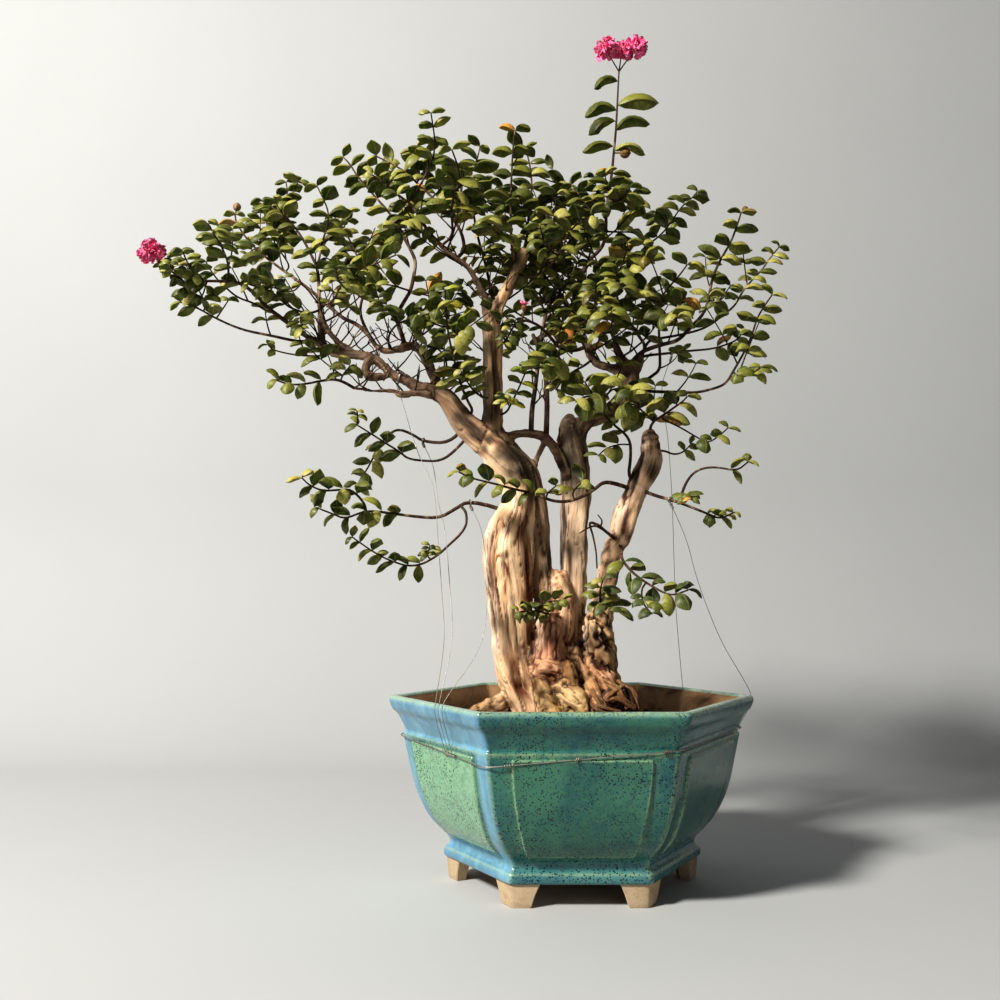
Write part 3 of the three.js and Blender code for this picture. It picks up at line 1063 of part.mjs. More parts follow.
// Guy: a ring round what it holds, a run down, over the lip and on to the band
function guySolid([, held, shoot, [ringAcross, ringDown], seenRoute, face, share]) {
  const limbRow = LIMBS.find((row) => row[0] === held);
  const carrier = limbRow ? limbRow[3] : routesOf(SPRAYS.find((row) => row[0] === held))[shoot];
  const at = nearestOn(carrier.map(([across, down, depth]) => [across, down, depth]), [ringAcross, ringDown]);
  const heldAt = seen(...at);
  const carrierLine = carrier.map(([across, down, depth]) => seen(across, down, depth));
  const nearest = carrierLine.map((p, i) => [p.distanceTo(heldAt), i]).sort((a, b) => a[0] - b[0])[0][1];
  const along = tangents(carrierLine)[nearest];
  const heldRadius = limbRow
    ? limbRow[3][nearest][3] * 1.12
    : SPRAYS.find((row) => row[0] === held)[1][shoot][1];
  const ringRadius = heldRadius + WIRE_RING_GAP + WIRE_RADIUS;
  const ring = new THREE.TorusGeometry(ringRadius, WIRE_RADIUS, WIRE_SIDES, 8);
  ring.applyQuaternion(new THREE.Quaternion().setFromUnitVectors(new THREE.Vector3(0, 0, 1), along));
  ring.translate(heldAt.x, heldAt.y, heldAt.z);
  const down = new THREE.Vector3(0, 0, -1);
  down.addScaledVector(along, -down.dot(along)).normalize();
  const start = heldAt.clone().addScaledVector(down, ringRadius);
  const [a, b] = [face, face + 1].map((k) => (Math.PI / 3) * k);
  const lip = (radius, height) => new THREE.Vector3(
    radius * THREE.MathUtils.lerp(Math.cos(a), Math.cos(b), share),
    radius * THREE.MathUtils.lerp(Math.sin(a), Math.sin(b), share),
    height,
  );
  const over = lip(183.5, POT_HEIGHT + 2);
  const route = [start];
  seenRoute.forEach(([across, downSeen], i) => {
    const depth = THREE.MathUtils.lerp(at[2], over.y, (i + 1) / (seenRoute.length + 1));
    route.push(seen(across, downSeen, depth));
  });
  const bandShare = (share - BAND_BEND) / (1 - 2 * BAND_BEND);
  const bandAt = bandPoint(face, BAND_BEND).lerp(bandPoint(face, 1 - BAND_BEND), bandShare);
  const outward = new THREE.Vector3(bandAt.x, bandAt.y, 0).normalize();
  route.push(over, lip(184, 168), bandAt.clone().addScaledVector(outward, 2 * WIRE_RADIUS + CLEARANCE));
  return solidOf(ring).add(limb(route, route.map(() => WIRE_RADIUS), WIRE_SIDES));
}

// The group, each piece as its own mesh
const group = new THREE.Group();
const plant = new THREE.Group();
group.add(plant);

function addPiece(name, part, colour, roughness, metalness = 0) {
  const made = part.getMesh();
  const geometry = new THREE.BufferGeometry();
  geometry.setAttribute("position", new THREE.BufferAttribute(new Float32Array(made.vertProperties), 3));
  geometry.setIndex(new THREE.BufferAttribute(new Uint32Array(made.triVerts), 1));
  geometry.computeVertexNormals();
  const material = new THREE.MeshStandardMaterial({ color: colour, roughness, metalness });
  const mesh = new THREE.Mesh(geometry, material);
  mesh.name = name;
  plant.add(mesh);
}

addPiece("pot", potSolid(), COLOURS.pot, 0.25);
addPiece("soil", soilSolid().subtract(woodClearance), COLOURS.soil, 1);
addPiece("wood", groveWood, COLOURS.wood, 0.75);

for (const spray of SPRAYS) {
  stems[spray[0]] = joined(sprayStems(spray));
  stand(stems[spray[0]]);
}
stand(woodClearance);

const blooms = BLOOMS.map((bloom, index) => bloomSolid(bloom, index));
blooms.forEach(stand);

const wires = [bandSolid(), ...GUYS.map(guySolid)];
wires.forEach(stand);

SPRAYS.forEach((spray, index) => {
  standing.splice(standing.findIndex((other) => other.part === stems[spray[0]]), 1);
  const made = spraySolid(spray, index);
  addPiece(spray[0], made, COLOURS.leaf, 0.5);
  stand(made);
});
blooms.forEach((bloom, index) => addPiece(BLOOMS[index][0], bloom, COLOURS.petal, 0.6));
const wireNames = ["wire_band", ...GUYS.map(([name]) => name)];
wires.forEach((wire, index) => addPiece(wireNames[index], wire, COLOURS.wire, 0.4, 0.9));

// The origin goes under the middle of the whole plant's box
const box = new THREE.Box3().setFromObject(plant);
const middle = box.getCenter(new THREE.Vector3());
plant.position.set(-middle.x, -middle.y, -box.min.z);

export default group;
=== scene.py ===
"""Crape myrtle bonsai: the picture model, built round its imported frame."""

from math import cos, exp, hypot, pi, radians, sin, sqrt, tan

import bmesh
import bpy
import numpy as np
from bpy.props import FloatProperty, FloatVectorProperty, IntProperty, PointerProperty
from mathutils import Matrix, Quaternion, Vector, noise
from mathutils.geometry import tessellate_polygon
from mathutils.kdtree import KDTree


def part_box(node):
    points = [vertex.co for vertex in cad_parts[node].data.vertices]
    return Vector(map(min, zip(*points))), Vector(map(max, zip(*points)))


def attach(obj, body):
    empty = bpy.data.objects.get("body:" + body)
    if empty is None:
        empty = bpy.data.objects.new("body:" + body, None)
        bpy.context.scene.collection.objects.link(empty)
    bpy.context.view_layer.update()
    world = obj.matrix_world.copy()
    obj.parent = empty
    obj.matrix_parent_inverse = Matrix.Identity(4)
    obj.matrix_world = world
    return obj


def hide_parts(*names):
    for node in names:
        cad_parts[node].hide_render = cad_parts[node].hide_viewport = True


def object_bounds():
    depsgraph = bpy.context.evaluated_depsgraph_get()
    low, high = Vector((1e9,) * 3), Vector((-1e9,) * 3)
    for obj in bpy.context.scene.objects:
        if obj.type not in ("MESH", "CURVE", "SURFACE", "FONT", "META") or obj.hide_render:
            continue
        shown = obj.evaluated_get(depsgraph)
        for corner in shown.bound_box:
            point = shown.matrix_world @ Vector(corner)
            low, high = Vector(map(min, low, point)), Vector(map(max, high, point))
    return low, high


bl_info = {
    "name": "Crape Myrtle Bonsai",
    "version": (1, 0, 0),
    "blender": (4, 5, 0),
    "location": "View3D > Sidebar > Bonsai",
    "description": "Builds a crape myrtle bonsai in its glazed pot round the packed frame",
    "category": "Object",
}

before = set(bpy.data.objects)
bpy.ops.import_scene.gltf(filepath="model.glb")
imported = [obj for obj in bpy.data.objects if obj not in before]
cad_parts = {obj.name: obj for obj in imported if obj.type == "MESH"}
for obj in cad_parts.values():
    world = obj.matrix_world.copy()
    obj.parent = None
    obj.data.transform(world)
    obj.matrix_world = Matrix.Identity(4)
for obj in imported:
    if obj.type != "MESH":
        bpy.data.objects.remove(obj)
CAD_BOX = [list(corner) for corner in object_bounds()]

MM = 0.001
WHOLE_TURN = 6.28
GOLDEN_TURN = 2.39996
UP = Vector((0, 0, 1))
POT_LOW, POT_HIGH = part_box("pot")
POT_AXIS = Vector(((POT_LOW[0] + POT_HIGH[0]) / 2, (POT_LOW[1] + POT_HIGH[1]) / 2, 0.0))
BOX_LOW, BOX_HIGH = ((np.array(corner) - np.array(POT_AXIS)) / MM for corner in CAD_BOX)

# The sight window: a 1 m square, square to a line of sight that rises by SIGHT_TILT, at the distance
# of the pot's axis. Routes are points on it in mm: across from its left edge and down from its top
# edge, then depth behind the pot's axis.
SIGHT_DISTANCE = 1070.0
SIGHT_TILT = radians(5)
SIGHT_HALF = 500.0
EYE = Vector((-70.4, -SIGHT_DISTANCE, 275.0))

# Pot, in mm. Rows are corner radius of the hexagon and height: outside going up, inside coming down.
FLANGE_RADIUS = 125.0
FLANGE_BOTTOM = 21.0
FLOOR_TOP = 40.0
POT_HEIGHT = 175.0
POT_RING = [
    (124, 21), (125.2, 21.6), (126, 23), (126.3, 26), (126, 28), (125.4, 29.8), (124, 31), (121.6, 32.4),
    (120.4, 34.2), (120.2, 36), (121, 38.4), (123, 41.2),
]
POT_BOWL = [(126, 44), (139, 57), (148, 72), (156, 92), (161, 113), (166.5, 138)]
POT_NECK = (164.5, 141)
POT_STEP = [(166.3, 137), (166.6, 138.2), (166.2, 139.4), (165, 140.4), (164.4, 141.6)]
LIP_START = (164.4, 142.2)
POT_LIP = [(167, 148), (172, 157), (178, 163), (181, 170)]
POT_RIM = [
    (181.1, 171.4), (180.8, 173), (179.9, 174.3), (178.5, 175), (176.5, 175.2), (173.2, 175.1),
    (171.6, 174.4), (170.6, 173),
]
POT_INSIDE = [
    (169.4, 171), (166, 167.5), (160.6, 157), (155, 146), (147, 110), (138, 72), (124, 56), (108, 40),
]

# Rounding of the pot's corners. A point on one counts as AT_CORNER along its face.
POT_ROUND = 7.0
POT_ROUND_INSIDE = 6.0
CORNER_STEPS = 5
AT_CORNER = 999.0

# Panels: how far they and the bead round them stand out, and their borders
PANEL_RISE = 2.2
PANEL_EDGE = 2.4
BEAD_RISE = 0.9
PANEL_BOTTOM = 45.0
PANEL_TOP = 133.0
PANEL_HALF_BOTTOM = 47.0
PANEL_HALF_TOP = 60.0

# Heights where the glaze changes: edge of the flange, foot, waist, neck, underside and top of the lip
FLANGE_EDGE = 29.5
GLAZE_FOOT = 44
GLAZE_WAIST = 138
GLAZE_NECK = 135
GLAZE_LIP = 168
GLAZE_RIM = 170

# Feet: length and thickness of their arms, at the flange and at the ground, and the drain holes
FOOT_REACH_TOP = 27.0
FOOT_REACH_BOTTOM = 18.0
FOOT_WALL_TOP = 15.0
FOOT_WALL_BOTTOM = 11.0
FOOT_ROUND = 0.9
DRAIN_RADIUS = 11.0
DRAIN_OFFSET = 52.0
DRAIN_SIDES = 28

# Apothem of a hexagon of radius 1, and the pot's finishes: glaze, clay inside, bare clay of the feet
APOTHEM = cos(pi / 6)
GLAZED, INSIDE, BARE = range(3)

# Soil: its level at the wall, the pot's radius there, the gap to it, and the mound in the middle
SOIL_LEVEL = 148.0
SOIL_RADIUS = 155.0
SOIL_GAP = 1.2
SOIL_BOTTOM = 40.4
SOIL_MOUND = 7.0
SOIL_MOUND_REACH = 75.0
DRY_ROOTS = 46
DRY_ROOT = (3.2, 2.4, 1.7)
PALE_CRUMB = (3.4, 3.0, 2.5)

# Leaves: form of a blade, how the pairs sit on a stem, and size of the last pairs against the others
LEAF_WIDTH = 0.31
LEAF_ARCH = 2.35
LEAF_CUP = 0.85
LEAF_RISE = 0.5
RANK_SPREAD = 1.5
PAIR_SPACING = 0.6
PAIR_END = 0.8
YOUNG_LEAVES = (0.7, 0.9)

# Shoots and side twigs: share of the table's radius that a shoot gets, the radius from which its bark
# is older, the distance between two side twigs, their length, the leaves of those that fill the crown,
# and the factor on the depths of the tips
SHOOT_GIRTH = 0.82
THICK_SHOOT = 1.6
TWIG_STEP = 92.0
TWIG_REACH = 34.0
FILL_LEAF = 22
DEPTH_SPREAD = 1.35

# Wood. Each limb: name, depth of its flutes, then points of across,down,depth,radius.
LIMB_TABLE = """
trunk_left 0.09 532,738,-22,12 529,712,-20,14 522,692,-14,16 516,672,-8,19 512,645,-5,20 511,612,-4,21
  510,584,-3,22 509,556,-3,22.5 512,531,-3,20.5 520,505,-3,15.5 519,482,-3,16.5 506,460,-2,19.5
  478,432,-3,12;
trunk_seam 0.08 548,664,4,8 545,640,4,9 544,612,3,9 543,584,2,9.5 542,556,2,10 541,530,2,9.5 537,502,1,10
  526,469,0,10 504,446,-2,8;
fork 0.05 500,452,-2,16 481,437,-3,14 466,424,-4,12.5 456,411,-5,10.5 448,400,-6,10 438,393,-8,8.6;
leader 0.06 500,452,-3,15 493,430,-2,11.5 493,410,-1,10 492,380,0,10.3 492,350,0,10.3 492,328,1,10
  495,313,2,7.4 502,298,3,5.8 510,284,4,6 516,270,5,6.4 522,257,6,6.4 525,250,6,5;
trunk_middle 0.1 571,664,4,10 571,640,6,10.5 572,616,7,11 572,590,9,13.5 573,560,10,13.5 574,530,11,13
  576,500,12,14 576,470,12,14 573,445,12,14 570,428,12,10.5 569,419,12,7;
arm 0.06 574,438,12,12 585,422,10,8 600,417,8,6.8 612,408,6,7.2 622,398,4,8.5 628,387,3,10 630,375,2,10
  628,366,2,7.5;
arm_stub 0 631,380,2,6 638,367,1,4.8 641,357,0,3.8;
arm_knob 0 627,374,4,6 620,358,6,4.6 615,344,8,3.6;
trunk_right 0.1 592,700,0,17 591,672,2,17 593,645,3,15.5 600,615,4,12.5 604,592,5,9.8 608,573,5,10.5
  614,551,6,9.6 622,534,6,11 626,520,6,11.5 632,502,6,11 639,484,6,11 648,468,6,11.5 651,452,6,11
  650,440,6,9.5 649,434,6,7;
base 0.06 548,628,0,14 548,650,0,24 549,680,0,32 551,706,-2,36 552,740,-2,34;
web 0 556,573,-2,5 559,582,-5,9 562,598,-8,11 562,616,-10,12 560,634,-12,12;
root_column 0.08 553,604,-9,8 552,622,-13,13 551,645,-15,13.5 550,664,-13,14 549,690,-10,15;
root_knob 0 536,670,-22,5 543,668,-25,7.5 554,670,-26,8 563,672,-20,6;
root_side 0.05 516,692,-12,10 500,702,-14,8.5 484,708,-16,7.5 468,716,-18,6 454,730,-20,4;
root_nub 0 524,668,-12,5 530,656,-17,5 531,650,-18,3;
root_olive 0 532,676,-18,6 541,690,-25,7 549,704,-31,7 556,718,-37,6 560,736,-40,5;
root_tan 0 550,682,-16,9 561,688,-22,10 574,697,-28,10.5 584,708,-32,9 592,726,-36,7;
root_stub 0.12 571,694,-20,6 571,678,-26,8 568,665,-27,6.5;
burl 0.14 590,622,-2,10 594,634,-6,15 597,648,-6,15 602,662,-3,15 605,678,0,14 606,704,0,13;
root_column_right 0 573,636,-10,5 574,654,-15,6.5 579,670,-18,6.5 590,684,-20,7.5 597,700,-24,7
  601,722,-28,6;
root_pink 0 590,662,-14,6 600,675,-16,7 610,688,-16,7.5 622,699,-13,6.5 634,714,-9,5 643,730,-5,4;
root_loop 0 600,708,-26,2.6 606,693,-27,2.8 618,688,-24,2.8 629,692,-20,3 633,706,-20,2.8 633,724,-20,2.4;
root_back_left 0 520,688,10,11 512,704,30,9 505,722,50,6 500,736,62,4;
root_back_middle 0 560,688,12,12 566,706,34,9 572,724,54,6 576,738,66,4;
root_back_right 0 606,690,12,10 622,706,30,7 634,722,46,5 640,736,56,3.5;
lower 0.05 446,396,-7,8 430,391,-9,7.5 418,387,-10,6.6 406,380,-11,5.6 393,375,-12,5 383,365,-13,4.4
  372,357,-14,4.4 354,355,-14,5 340,354,-12,5 329,351,-10,4.6 321,346,-9,3.8 312,339,-9,3.3;
upper 0.04 444,398,-4,7 434,378,0,5.6 427,362,3,5 420,350,6,4.8 410,346,8,4.6 400,349,9,4 385,351,10,3.5
  376,346,11,3;
root_of_twigs 0 428,394,-13,4.2 414,393,-17,3.4 403,395,-19,4 393,391,-20,2.6 374,391,-22,2.1
  354,388,-24,2;
deadwood 0.05 372,357,-15,4.5 366,367,-18,4.6 368,376,-19,5 378,377,-18,4.4 386,376,-17,3.2;
brace 0 352,353,-14,4.2 338,342,-12,3.4 328,330,-8,3.2 322,316,-4,3 319,304,0,2.5;
post 0 328,351,-10,3.6 322,338,-9,3.4 320,324,-6,3 320,312,-3,2.6;
arch 0 566,474,4,6 560,458,2,5.6 554,447,0,5 545,438,-2,4.8 534,434,-3,4.6 520,434,-4,4.4 506,437,-4,4.6
  498,441,-4,4;
riser_right 0 546,439,-2,3.3 547,405,-1,2.9 546,379,0,2.8 543,362,1,2.6 538,347,2,2.5 533,335,3,2.2;
riser_left 0 531,435,-3,3.1 532,411,-3,2.8 535,389,-2,2.5 538,366,0,2.2 541,345,6,2.1 544,322,14,2.1
  549,306,22,2 558,296,30,2;
riser_low 0 533,472,4,3.6 538,455,5,3.1 545,441,0,3;
centre_limb 0 624,374,5,6 611,368,8,4.6 598,364,12,4.5 590,355,16,4.2 585,342,20,4 579,328,24,3.8
  572,313,27,3.4 566,303,29,3 560,294,30,3;
tall_limb 0 573,314,27,3.4 574,300,26,3.1 577,288,25,3 582,274,24,3 590,259,23,2.7;
crown_limb 0 493,320,1,4.2 487,302,0,3.7 478,284,-2,3.3 468,268,-4,3 455,257,-6,2.8 443,248,-8,2.6
  436,240,-10,2.2;
wood_stub 0 492,330,0,5 486,312,-2,4.5 484,303,-3,3.6
"""

# Leafy sprays: a name, then its shoots. Every shoot: the limb, or the number of the shoot in its own
# spray, that it grows from; radius at the root and at the tip; depth of the tip; the share of its
# length that is bare; leaf length; and its route on the sight window.
SPRAY_TABLE = """
spray_far_left;
lower 3.2 1 -95 0.88 18 306,336 284,320 265,306 258,296 240,282 220,281 200,281 187,279 173,273 163,265;
0 1.4 0.8 -125 0.3 24 229,265 222,247 214,234 208,224;
0 1.4 0.8 -55 0.6 24 270,313 254,303 238,298 226,288 214,276 206,262;
0 1.1 0.8 -110 0.1 20 194,271 187,262 183,252;
0 1.1 0.8 -60 0.2 22 206,284 204,292 200,300;
lower 2 0.9 -50 0.74 26 303,342 290,340 273,336 242,330 217,319 205,312 193,306 180,302;
5 1.1 0.8 -75 0.2 26 207,303 196,294 184,288;
5 1.1 0.8 -30 0.2 24 222,310 228,301
/
spray_left_yellow;
lower 1.4 0.8 -45 0.72 16 325,356 306,356 289,354 273,350 268,345
/
spray_left_upper;
upper 2.9 1.1 70 0.6 26 368,334 357,324 342,318 329,306 315,294 300,282 277,266 258,251 245,237 236,222
  235,215;
0 1.2 0.8 100 0.35 24 290,266 283,255 277,247 272,237 266,224 263,204;
0 1.1 0.8 25 0.2 26 294,292 282,290 268,286 255,280;
0 1.1 0.8 85 0.2 24 262,246 252,250 246,256;
upper 2.2 0.9 105 0.45 26 366,330 359,312 364,292 363,275 358,258 350,240 341,226 333,215;
4 1.2 0.8 130 0.2 26 366,250 371,238 375,228;
4 1.2 0.8 80 0.15 26 348,262 336,262 326,258
/
spray_left_tall;
brace 2.3 0.9 45 0.35 26 319,285 318,270 310,252 300,234 287,217 275,209 262,201;
0 1.5 0.8 15 0.35 28 319,262 322,242 327,228 329,212 322,196 317,186;
0 1.2 0.8 75 0.2 24 292,232 280,230 270,226;
0 1.2 0.8 60 0.2 26 284,206 288,194 286,182
/
spray_left_inner;
brace 1.6 0.8 -60 0.25 22 308,314 290,308 281,300 271,291 260,288 248,284;
0 1.1 0.8 -80 0.2 18 300,320 303,330
/
spray_left_cross;
brace 1.7 0.9 -65 0.4 28 330,303 335,298 338,290 348,277 365,269 383,260 396,255;
0 1.2 0.8 -85 0.2 22 338,280 336,268
/
spray_crown_left;
upper 3 1 40 0.45 28 403,338 398,325 398,312 405,300 411,290 414,275 416,262 411,250 404,238 398,225 388,211
  378,200 366,186 357,176 350,164 343,157;
0 1.4 0.8 -10 0.2 32 404,289 392,285 378,284 364,287;
0 1.4 0.8 0 0.2 32 420,295 432,292 446,292;
0 1.2 0.8 70 0.2 26 392,232 382,236;
0 1.2 0.8 10 0.2 28 400,222 410,216 418,216
/
spray_crown_thin;
upper 1.5 0.8 -60 0.45 24 388,340 390,332 398,323 414,318 428,314 438,310;
0 1.1 0.8 -75 0.2 22 392,316 386,308 378,304
/
spray_crown_front;
crown_limb 2.4 0.9 -35 0.5 26 430,234 424,225 418,214 412,205 402,198 390,188 380,180 371,174;
0 1.4 0.8 -60 0.45 24 416,192 422,182 430,168 434,155 435,140 433,126 431,113;
0 1.2 0.8 -60 0.2 28 412,222 402,226 394,230
/
spray_crown_inner;
crown_limb 1.8 0.9 -85 0.35 30 453,236 452,220 451,205 456,192 460,180 458,166 452,150
/
spray_crown_tall;
crown_limb 2.4 0.9 15 0.35 28 465,250 462,233 454,220 446,211 430,195 418,184 407,173 396,166 386,161
  376,156;
0 1.3 0.8 50 0.3 26 420,178 418,161 417,146;
0 1.2 0.8 40 0.2 28 440,190 446,178
/
spray_crown_back;
leader 2.2 0.9 60 0.5 32 492,298 489,280 484,258 477,235 472,203 467,188 471,173 477,160 480,147;
0 1.2 0.8 90 0.2 30 484,205 492,196 497,186
/
spray_crown_top;
leader 2 0.9 -25 0.45 32 514,262 511,240 511,215 511,190 512,165 513,147 515,131;
0 1.2 0.8 -50 0.1 30 502,238 494,230 488,224
/
spray_crown_right;
leader 1.9 0.9 45 0.4 30 527,240 528,220 531,200 532,182 530,165 526,150;
0 1.2 0.8 65 0.2 32 541,176 552,170;
0 1.2 0.8 20 0.2 28 542,204 552,200
/
spray_crown_low;
leader 2 0.9 -60 0.5 28 529,279 545,271 555,260 563,247 568,233 580,221 592,216;
0 1.2 0.8 -75 0.15 26 548,250 543,238 540,226
/
spray_middle_front;
fork 1.9 0.9 -60 0.3 26 474,412 467,400 460,382 455,363 450,343 447,325 446,305 445,290;
0 1.2 0.8 -75 0.15 26 460,335 468,326;
0 1.2 0.8 -40 0.15 24 440,326 430,322 422,320
/
spray_middle_low;
upper 1.5 0.8 -35 0.35 24 440,384 447,372 446,358 438,348 426,346
/
spray_trunk_leaves;
leader 1.4 0.8 -45 0.3 24 484,398 474,392 466,380 462,372
/
spray_inner_yellow;
leader 1.5 0.8 -45 0.3 20 506,414 512,402 518,390 524,376 528,366;
0 1 0.8 -55 0.2 16 508,404 505,396
/
spray_inner_bud;
centre_limb 2.7 0.9 -50 0.75 18 575,351 561,350 551,338 541,327 530,321 518,320 510,332 505,345;
0 1 0.8 -55 1 0 523,316;
0 1.2 0.8 -75 0.15 30 556,358 546,362 538,368
/
spray_inner_green;
centre_limb 1.7 0.9 -35 0.3 28 584,366 572,372 562,380 556,390
/
spray_arm_leaves;
arm 2 0.9 -62 0.2 34 604,402 596,396 586,396 576,402;
0 1.3 0.8 -70 0.15 34 610,390 620,388 630,392
/
spray_right_bare;
arm 2.2 0.9 -60 0.62 24 645,391 662,392 680,392 695,393 713,389 726,384 734,370 741,358 748,345 753,332
  757,318 765,305 772,295;
0 1.2 0.8 -85 0.2 24 740,378 752,374 760,368
/
spray_right_stub;
arm 2.9 1 -20 0.55 28 641,352 651,348 664,344 678,341 690,328 704,314 709,298 711,284 715,271 722,257
  731,242 737,226 741,213;
0 1.2 0.8 15 0.2 24 716,304 724,297;
arm_stub 1.9 0.9 30 0.68 22 650,355 662,354 687,351 713,349 728,344 737,340 744,331;
arm_stub 2.3 0.9 15 0.4 30 646,346 638,335 630,322 622,310 617,298 615,284 615,268 616,254 618,243;
3 1.4 0.8 70 0.4 26 622,272 632,262 645,247 661,235 670,224 681,207 690,200 697,192;
4 1.1 0.8 85 0.2 22 660,224 656,212;
3 1.2 0.8 -15 0.15 28 628,300 640,292 650,288;
arm_stub 1.8 0.9 55 0.6 24 648,340 662,338 680,335 700,330 712,324 723,315 735,306 742,292 752,280 762,270
  770,258 779,247
/
spray_right_inner;
arm 2.2 0.9 -50 0.55 32 641,384 652,376 660,370 660,356 659,340 659,310 661,298 668,288 679,276 687,265;
0 1.3 0.8 -75 0.15 32 668,318 678,318;
0 1.2 0.8 -35 0.15 28 650,300 644,292
/
spray_top_shoot;
tall_limb 2.5 0.9 -15 0.5 38 598,252 604,244 606,230 606,212 609,193 612,172 614,150 616,130 617,110 618,90
  619,71;
0 1.3 0.8 35 0.15 28 598,205 590,197 583,188;
0 1.3 0.8 -40 0.15 28 616,203 625,196 630,188;
0 1.3 0.8 45 0.15 32 618,232 632,232 640,236;
tall_limb 1.9 0.9 -55 0.25 30 598,264 608,268 622,270 636,266 646,258;
4 1.2 0.8 -75 0.2 28 616,280 622,290;
tall_limb 2 0.9 65 0.35 28 580,253 570,249 560,241 553,230 550,215 552,202;
6 1.2 0.8 90 0.2 28 570,240 576,228 578,212
/
spray_centre_top;
centre_limb 2 0.9 85 0.35 26 558,280 555,266 552,250 548,236 540,218;
0 1.2 0.8 60 0.2 26 546,278 536,280 528,286
/
spray_centre_right;
centre_limb 1.8 0.9 -70 0.25 30 586,322 592,310 598,300 596,290;
0 1.2 0.8 -85 0.15 30 604,318 612,312
/
spray_centre_low;
arm_knob 1.7 0.9 -50 0.2 30 612,336 610,326 616,316;
0 1.2 0.8 -35 0.2 22 602,334 597,326
/
spray_low_front;
trunk_right 2.7 0.9 -48 0.62 24 614,483 603,482 595,489 584,496 568,502 551,501 537,494 513,489 492,483
  470,478 459,472;
0 1.2 0.8 -45 0.15 30 572,492 582,482;
0 1.2 0.8 -40 0.15 22 548,492 556,486
/
spray_right_side;
trunk_right 2.4 0.9 -12 0.4 22 628,478 631,456 630,438 614,425 605,416 596,403 590,391 585,382;
0 1 0.8 -20 0.2 24 620,444 606,448 598,456
/
spray_stump_top;
trunk_right 1.9 0.9 -40 0.2 30 652,422 662,416 672,409 682,402 687,397;
0 1.4 0.8 -60 0.2 32 646,414 636,406 628,402;
0 1.2 0.8 -20 0.5 22 664,420 678,426 698,438 708,443 718,437 728,428
/
spray_right_forked;
trunk_right 2.4 0.9 -75 0.65 16 656,496 672,500 691,507 708,514 720,519 733,513;
0 1.8 0.9 -60 0.72 24 685,484 693,473 703,468 717,467 737,471 748,462;
0 1 0.8 -90 0.3 16 684,494 692,500
/
spray_right_twigs;
trunk_right 1.7 0.8 30 0.6 20 663,450 674,455 684,452 691,444
/
spray_low_right;
trunk_right 2.1 0.9 -75 0.25 24 622,547 621,558 628,568 639,578 658,590 672,596 688,590;
0 1.2 0.8 -95 0.4 20 641,590 643,604 652,614
/
spray_base_leaves;
root_column 1.4 0.8 -52 0.2 18 548,614 538,611 528,611 518,612;
0 1.1 0.8 -55 0.1 18 541,604 552,601 563,600
/
spray_base_right;
trunk_right 1.5 0.8 -48 0.2 24 601,610 600,600 600,590 603,580;
0 1.1 0.8 -50 0.1 26 612,606 620,612
/
spray_low_left;
trunk_left 2.7 0.9 -60 0.6 24 470,500 455,509 440,518 418,517 389,513 373,511 362,512 345,519 333,514
  320,509;
0 1.7 0.8 -85 0.25 26 364,502 351,489 338,490 322,491 309,485 302,478;
0 1.7 0.8 -70 0.5 20 467,513 466,529 447,547 437,556 421,565 407,566 397,563 384,558 372,551 359,542
  352,537;
2 1 0.8 -75 0.3 14 427,556 430,546
/
spray_left_shelf;
fork 2 0.9 -35 0.5 26 453,453 440,461 425,461 408,459 400,452 387,444 370,433 357,425;
0 1.1 0.8 -50 0.3 16 358,418 357,411
/
spray_left_droop;
fork 2.3 0.9 35 0.6 26 450,443 424,442 412,434 399,429 390,433 383,441 377,450 369,466 362,477 357,485
/
spray_left_under;
root_of_twigs 1.9 0.9 -50 0.3 26 344,382 334,379 320,381 306,384 290,385 276,380;
0 1.1 0.8 -60 0.15 26 344,373 350,366
"""

# Outline of the crown on the window, which the fine side twigs stay inside. Shoots that end below its
# foot get no side twigs.
CROWN = [
    (165, 262), (170, 245), (205, 222), (235, 212), (262, 190), (300, 178), (335, 196), (345, 150),
    (385, 145), (430, 108), (450, 125), (510, 124), (560, 156), (575, 190), (590, 168), (612, 160),
    (640, 190), (662, 185), (704, 186), (695, 235), (720, 205), (765, 210), (765, 240), (792, 240),
    (785, 300), (770, 330), (772, 378), (735, 387), (700, 397), (690, 420), (650, 412), (600, 420),
    (560, 400), (520, 398), (470, 402), (440, 382), (400, 362), (345, 385), (270, 387), (262, 372),
    (300, 350), (262, 330), (235, 305), (190, 303), (165, 292),
]
CROWN_FOOT = 405

# Twigs that fill the crown: spray, then the limb they grow on, the stretch of it, and how many
CROWN_FILL = {
    "spray_crown_inner": ["crown_limb", 0.2, 1, 3],
    "spray_crown_tall": ["leader", 0.6, 0.8, 1],
    "spray_crown_back": ["leader", 0.8, 1, 2],
    "spray_crown_right": ["riser_left", 0.45, 1, 3],
    "spray_crown_low": ["riser_right", 0.6, 1, 1],
    "spray_centre_top": ["tall_limb", 0.1, 1, 3],
    "spray_centre_right": ["centre_limb", 0.3, 1, 4],
    "spray_middle_front": ["leader", 0.4, 0.55, 1],
    "spray_left_inner": ["brace", 0.4, 1, 1],
    "spray_crown_left": ["upper", 0.5, 1, 1],
    "spray_centre_low": ["arm_knob", 0.4, 1, 2],
}

# Fine leafless twigs: the limbs that carry them, and how many steps of the limb's line lie between two
BARE_TWIGS = {
    "lower": 3, "upper": 3, "brace": 3, "post": 3, "crown_limb": 4, "root_of_twigs": 3, "riser_left": 6,
    "riser_right": 7, "centre_limb": 5, "tall_limb": 5, "arm_stub": 3, "leader": 9, "arch": 9,
}
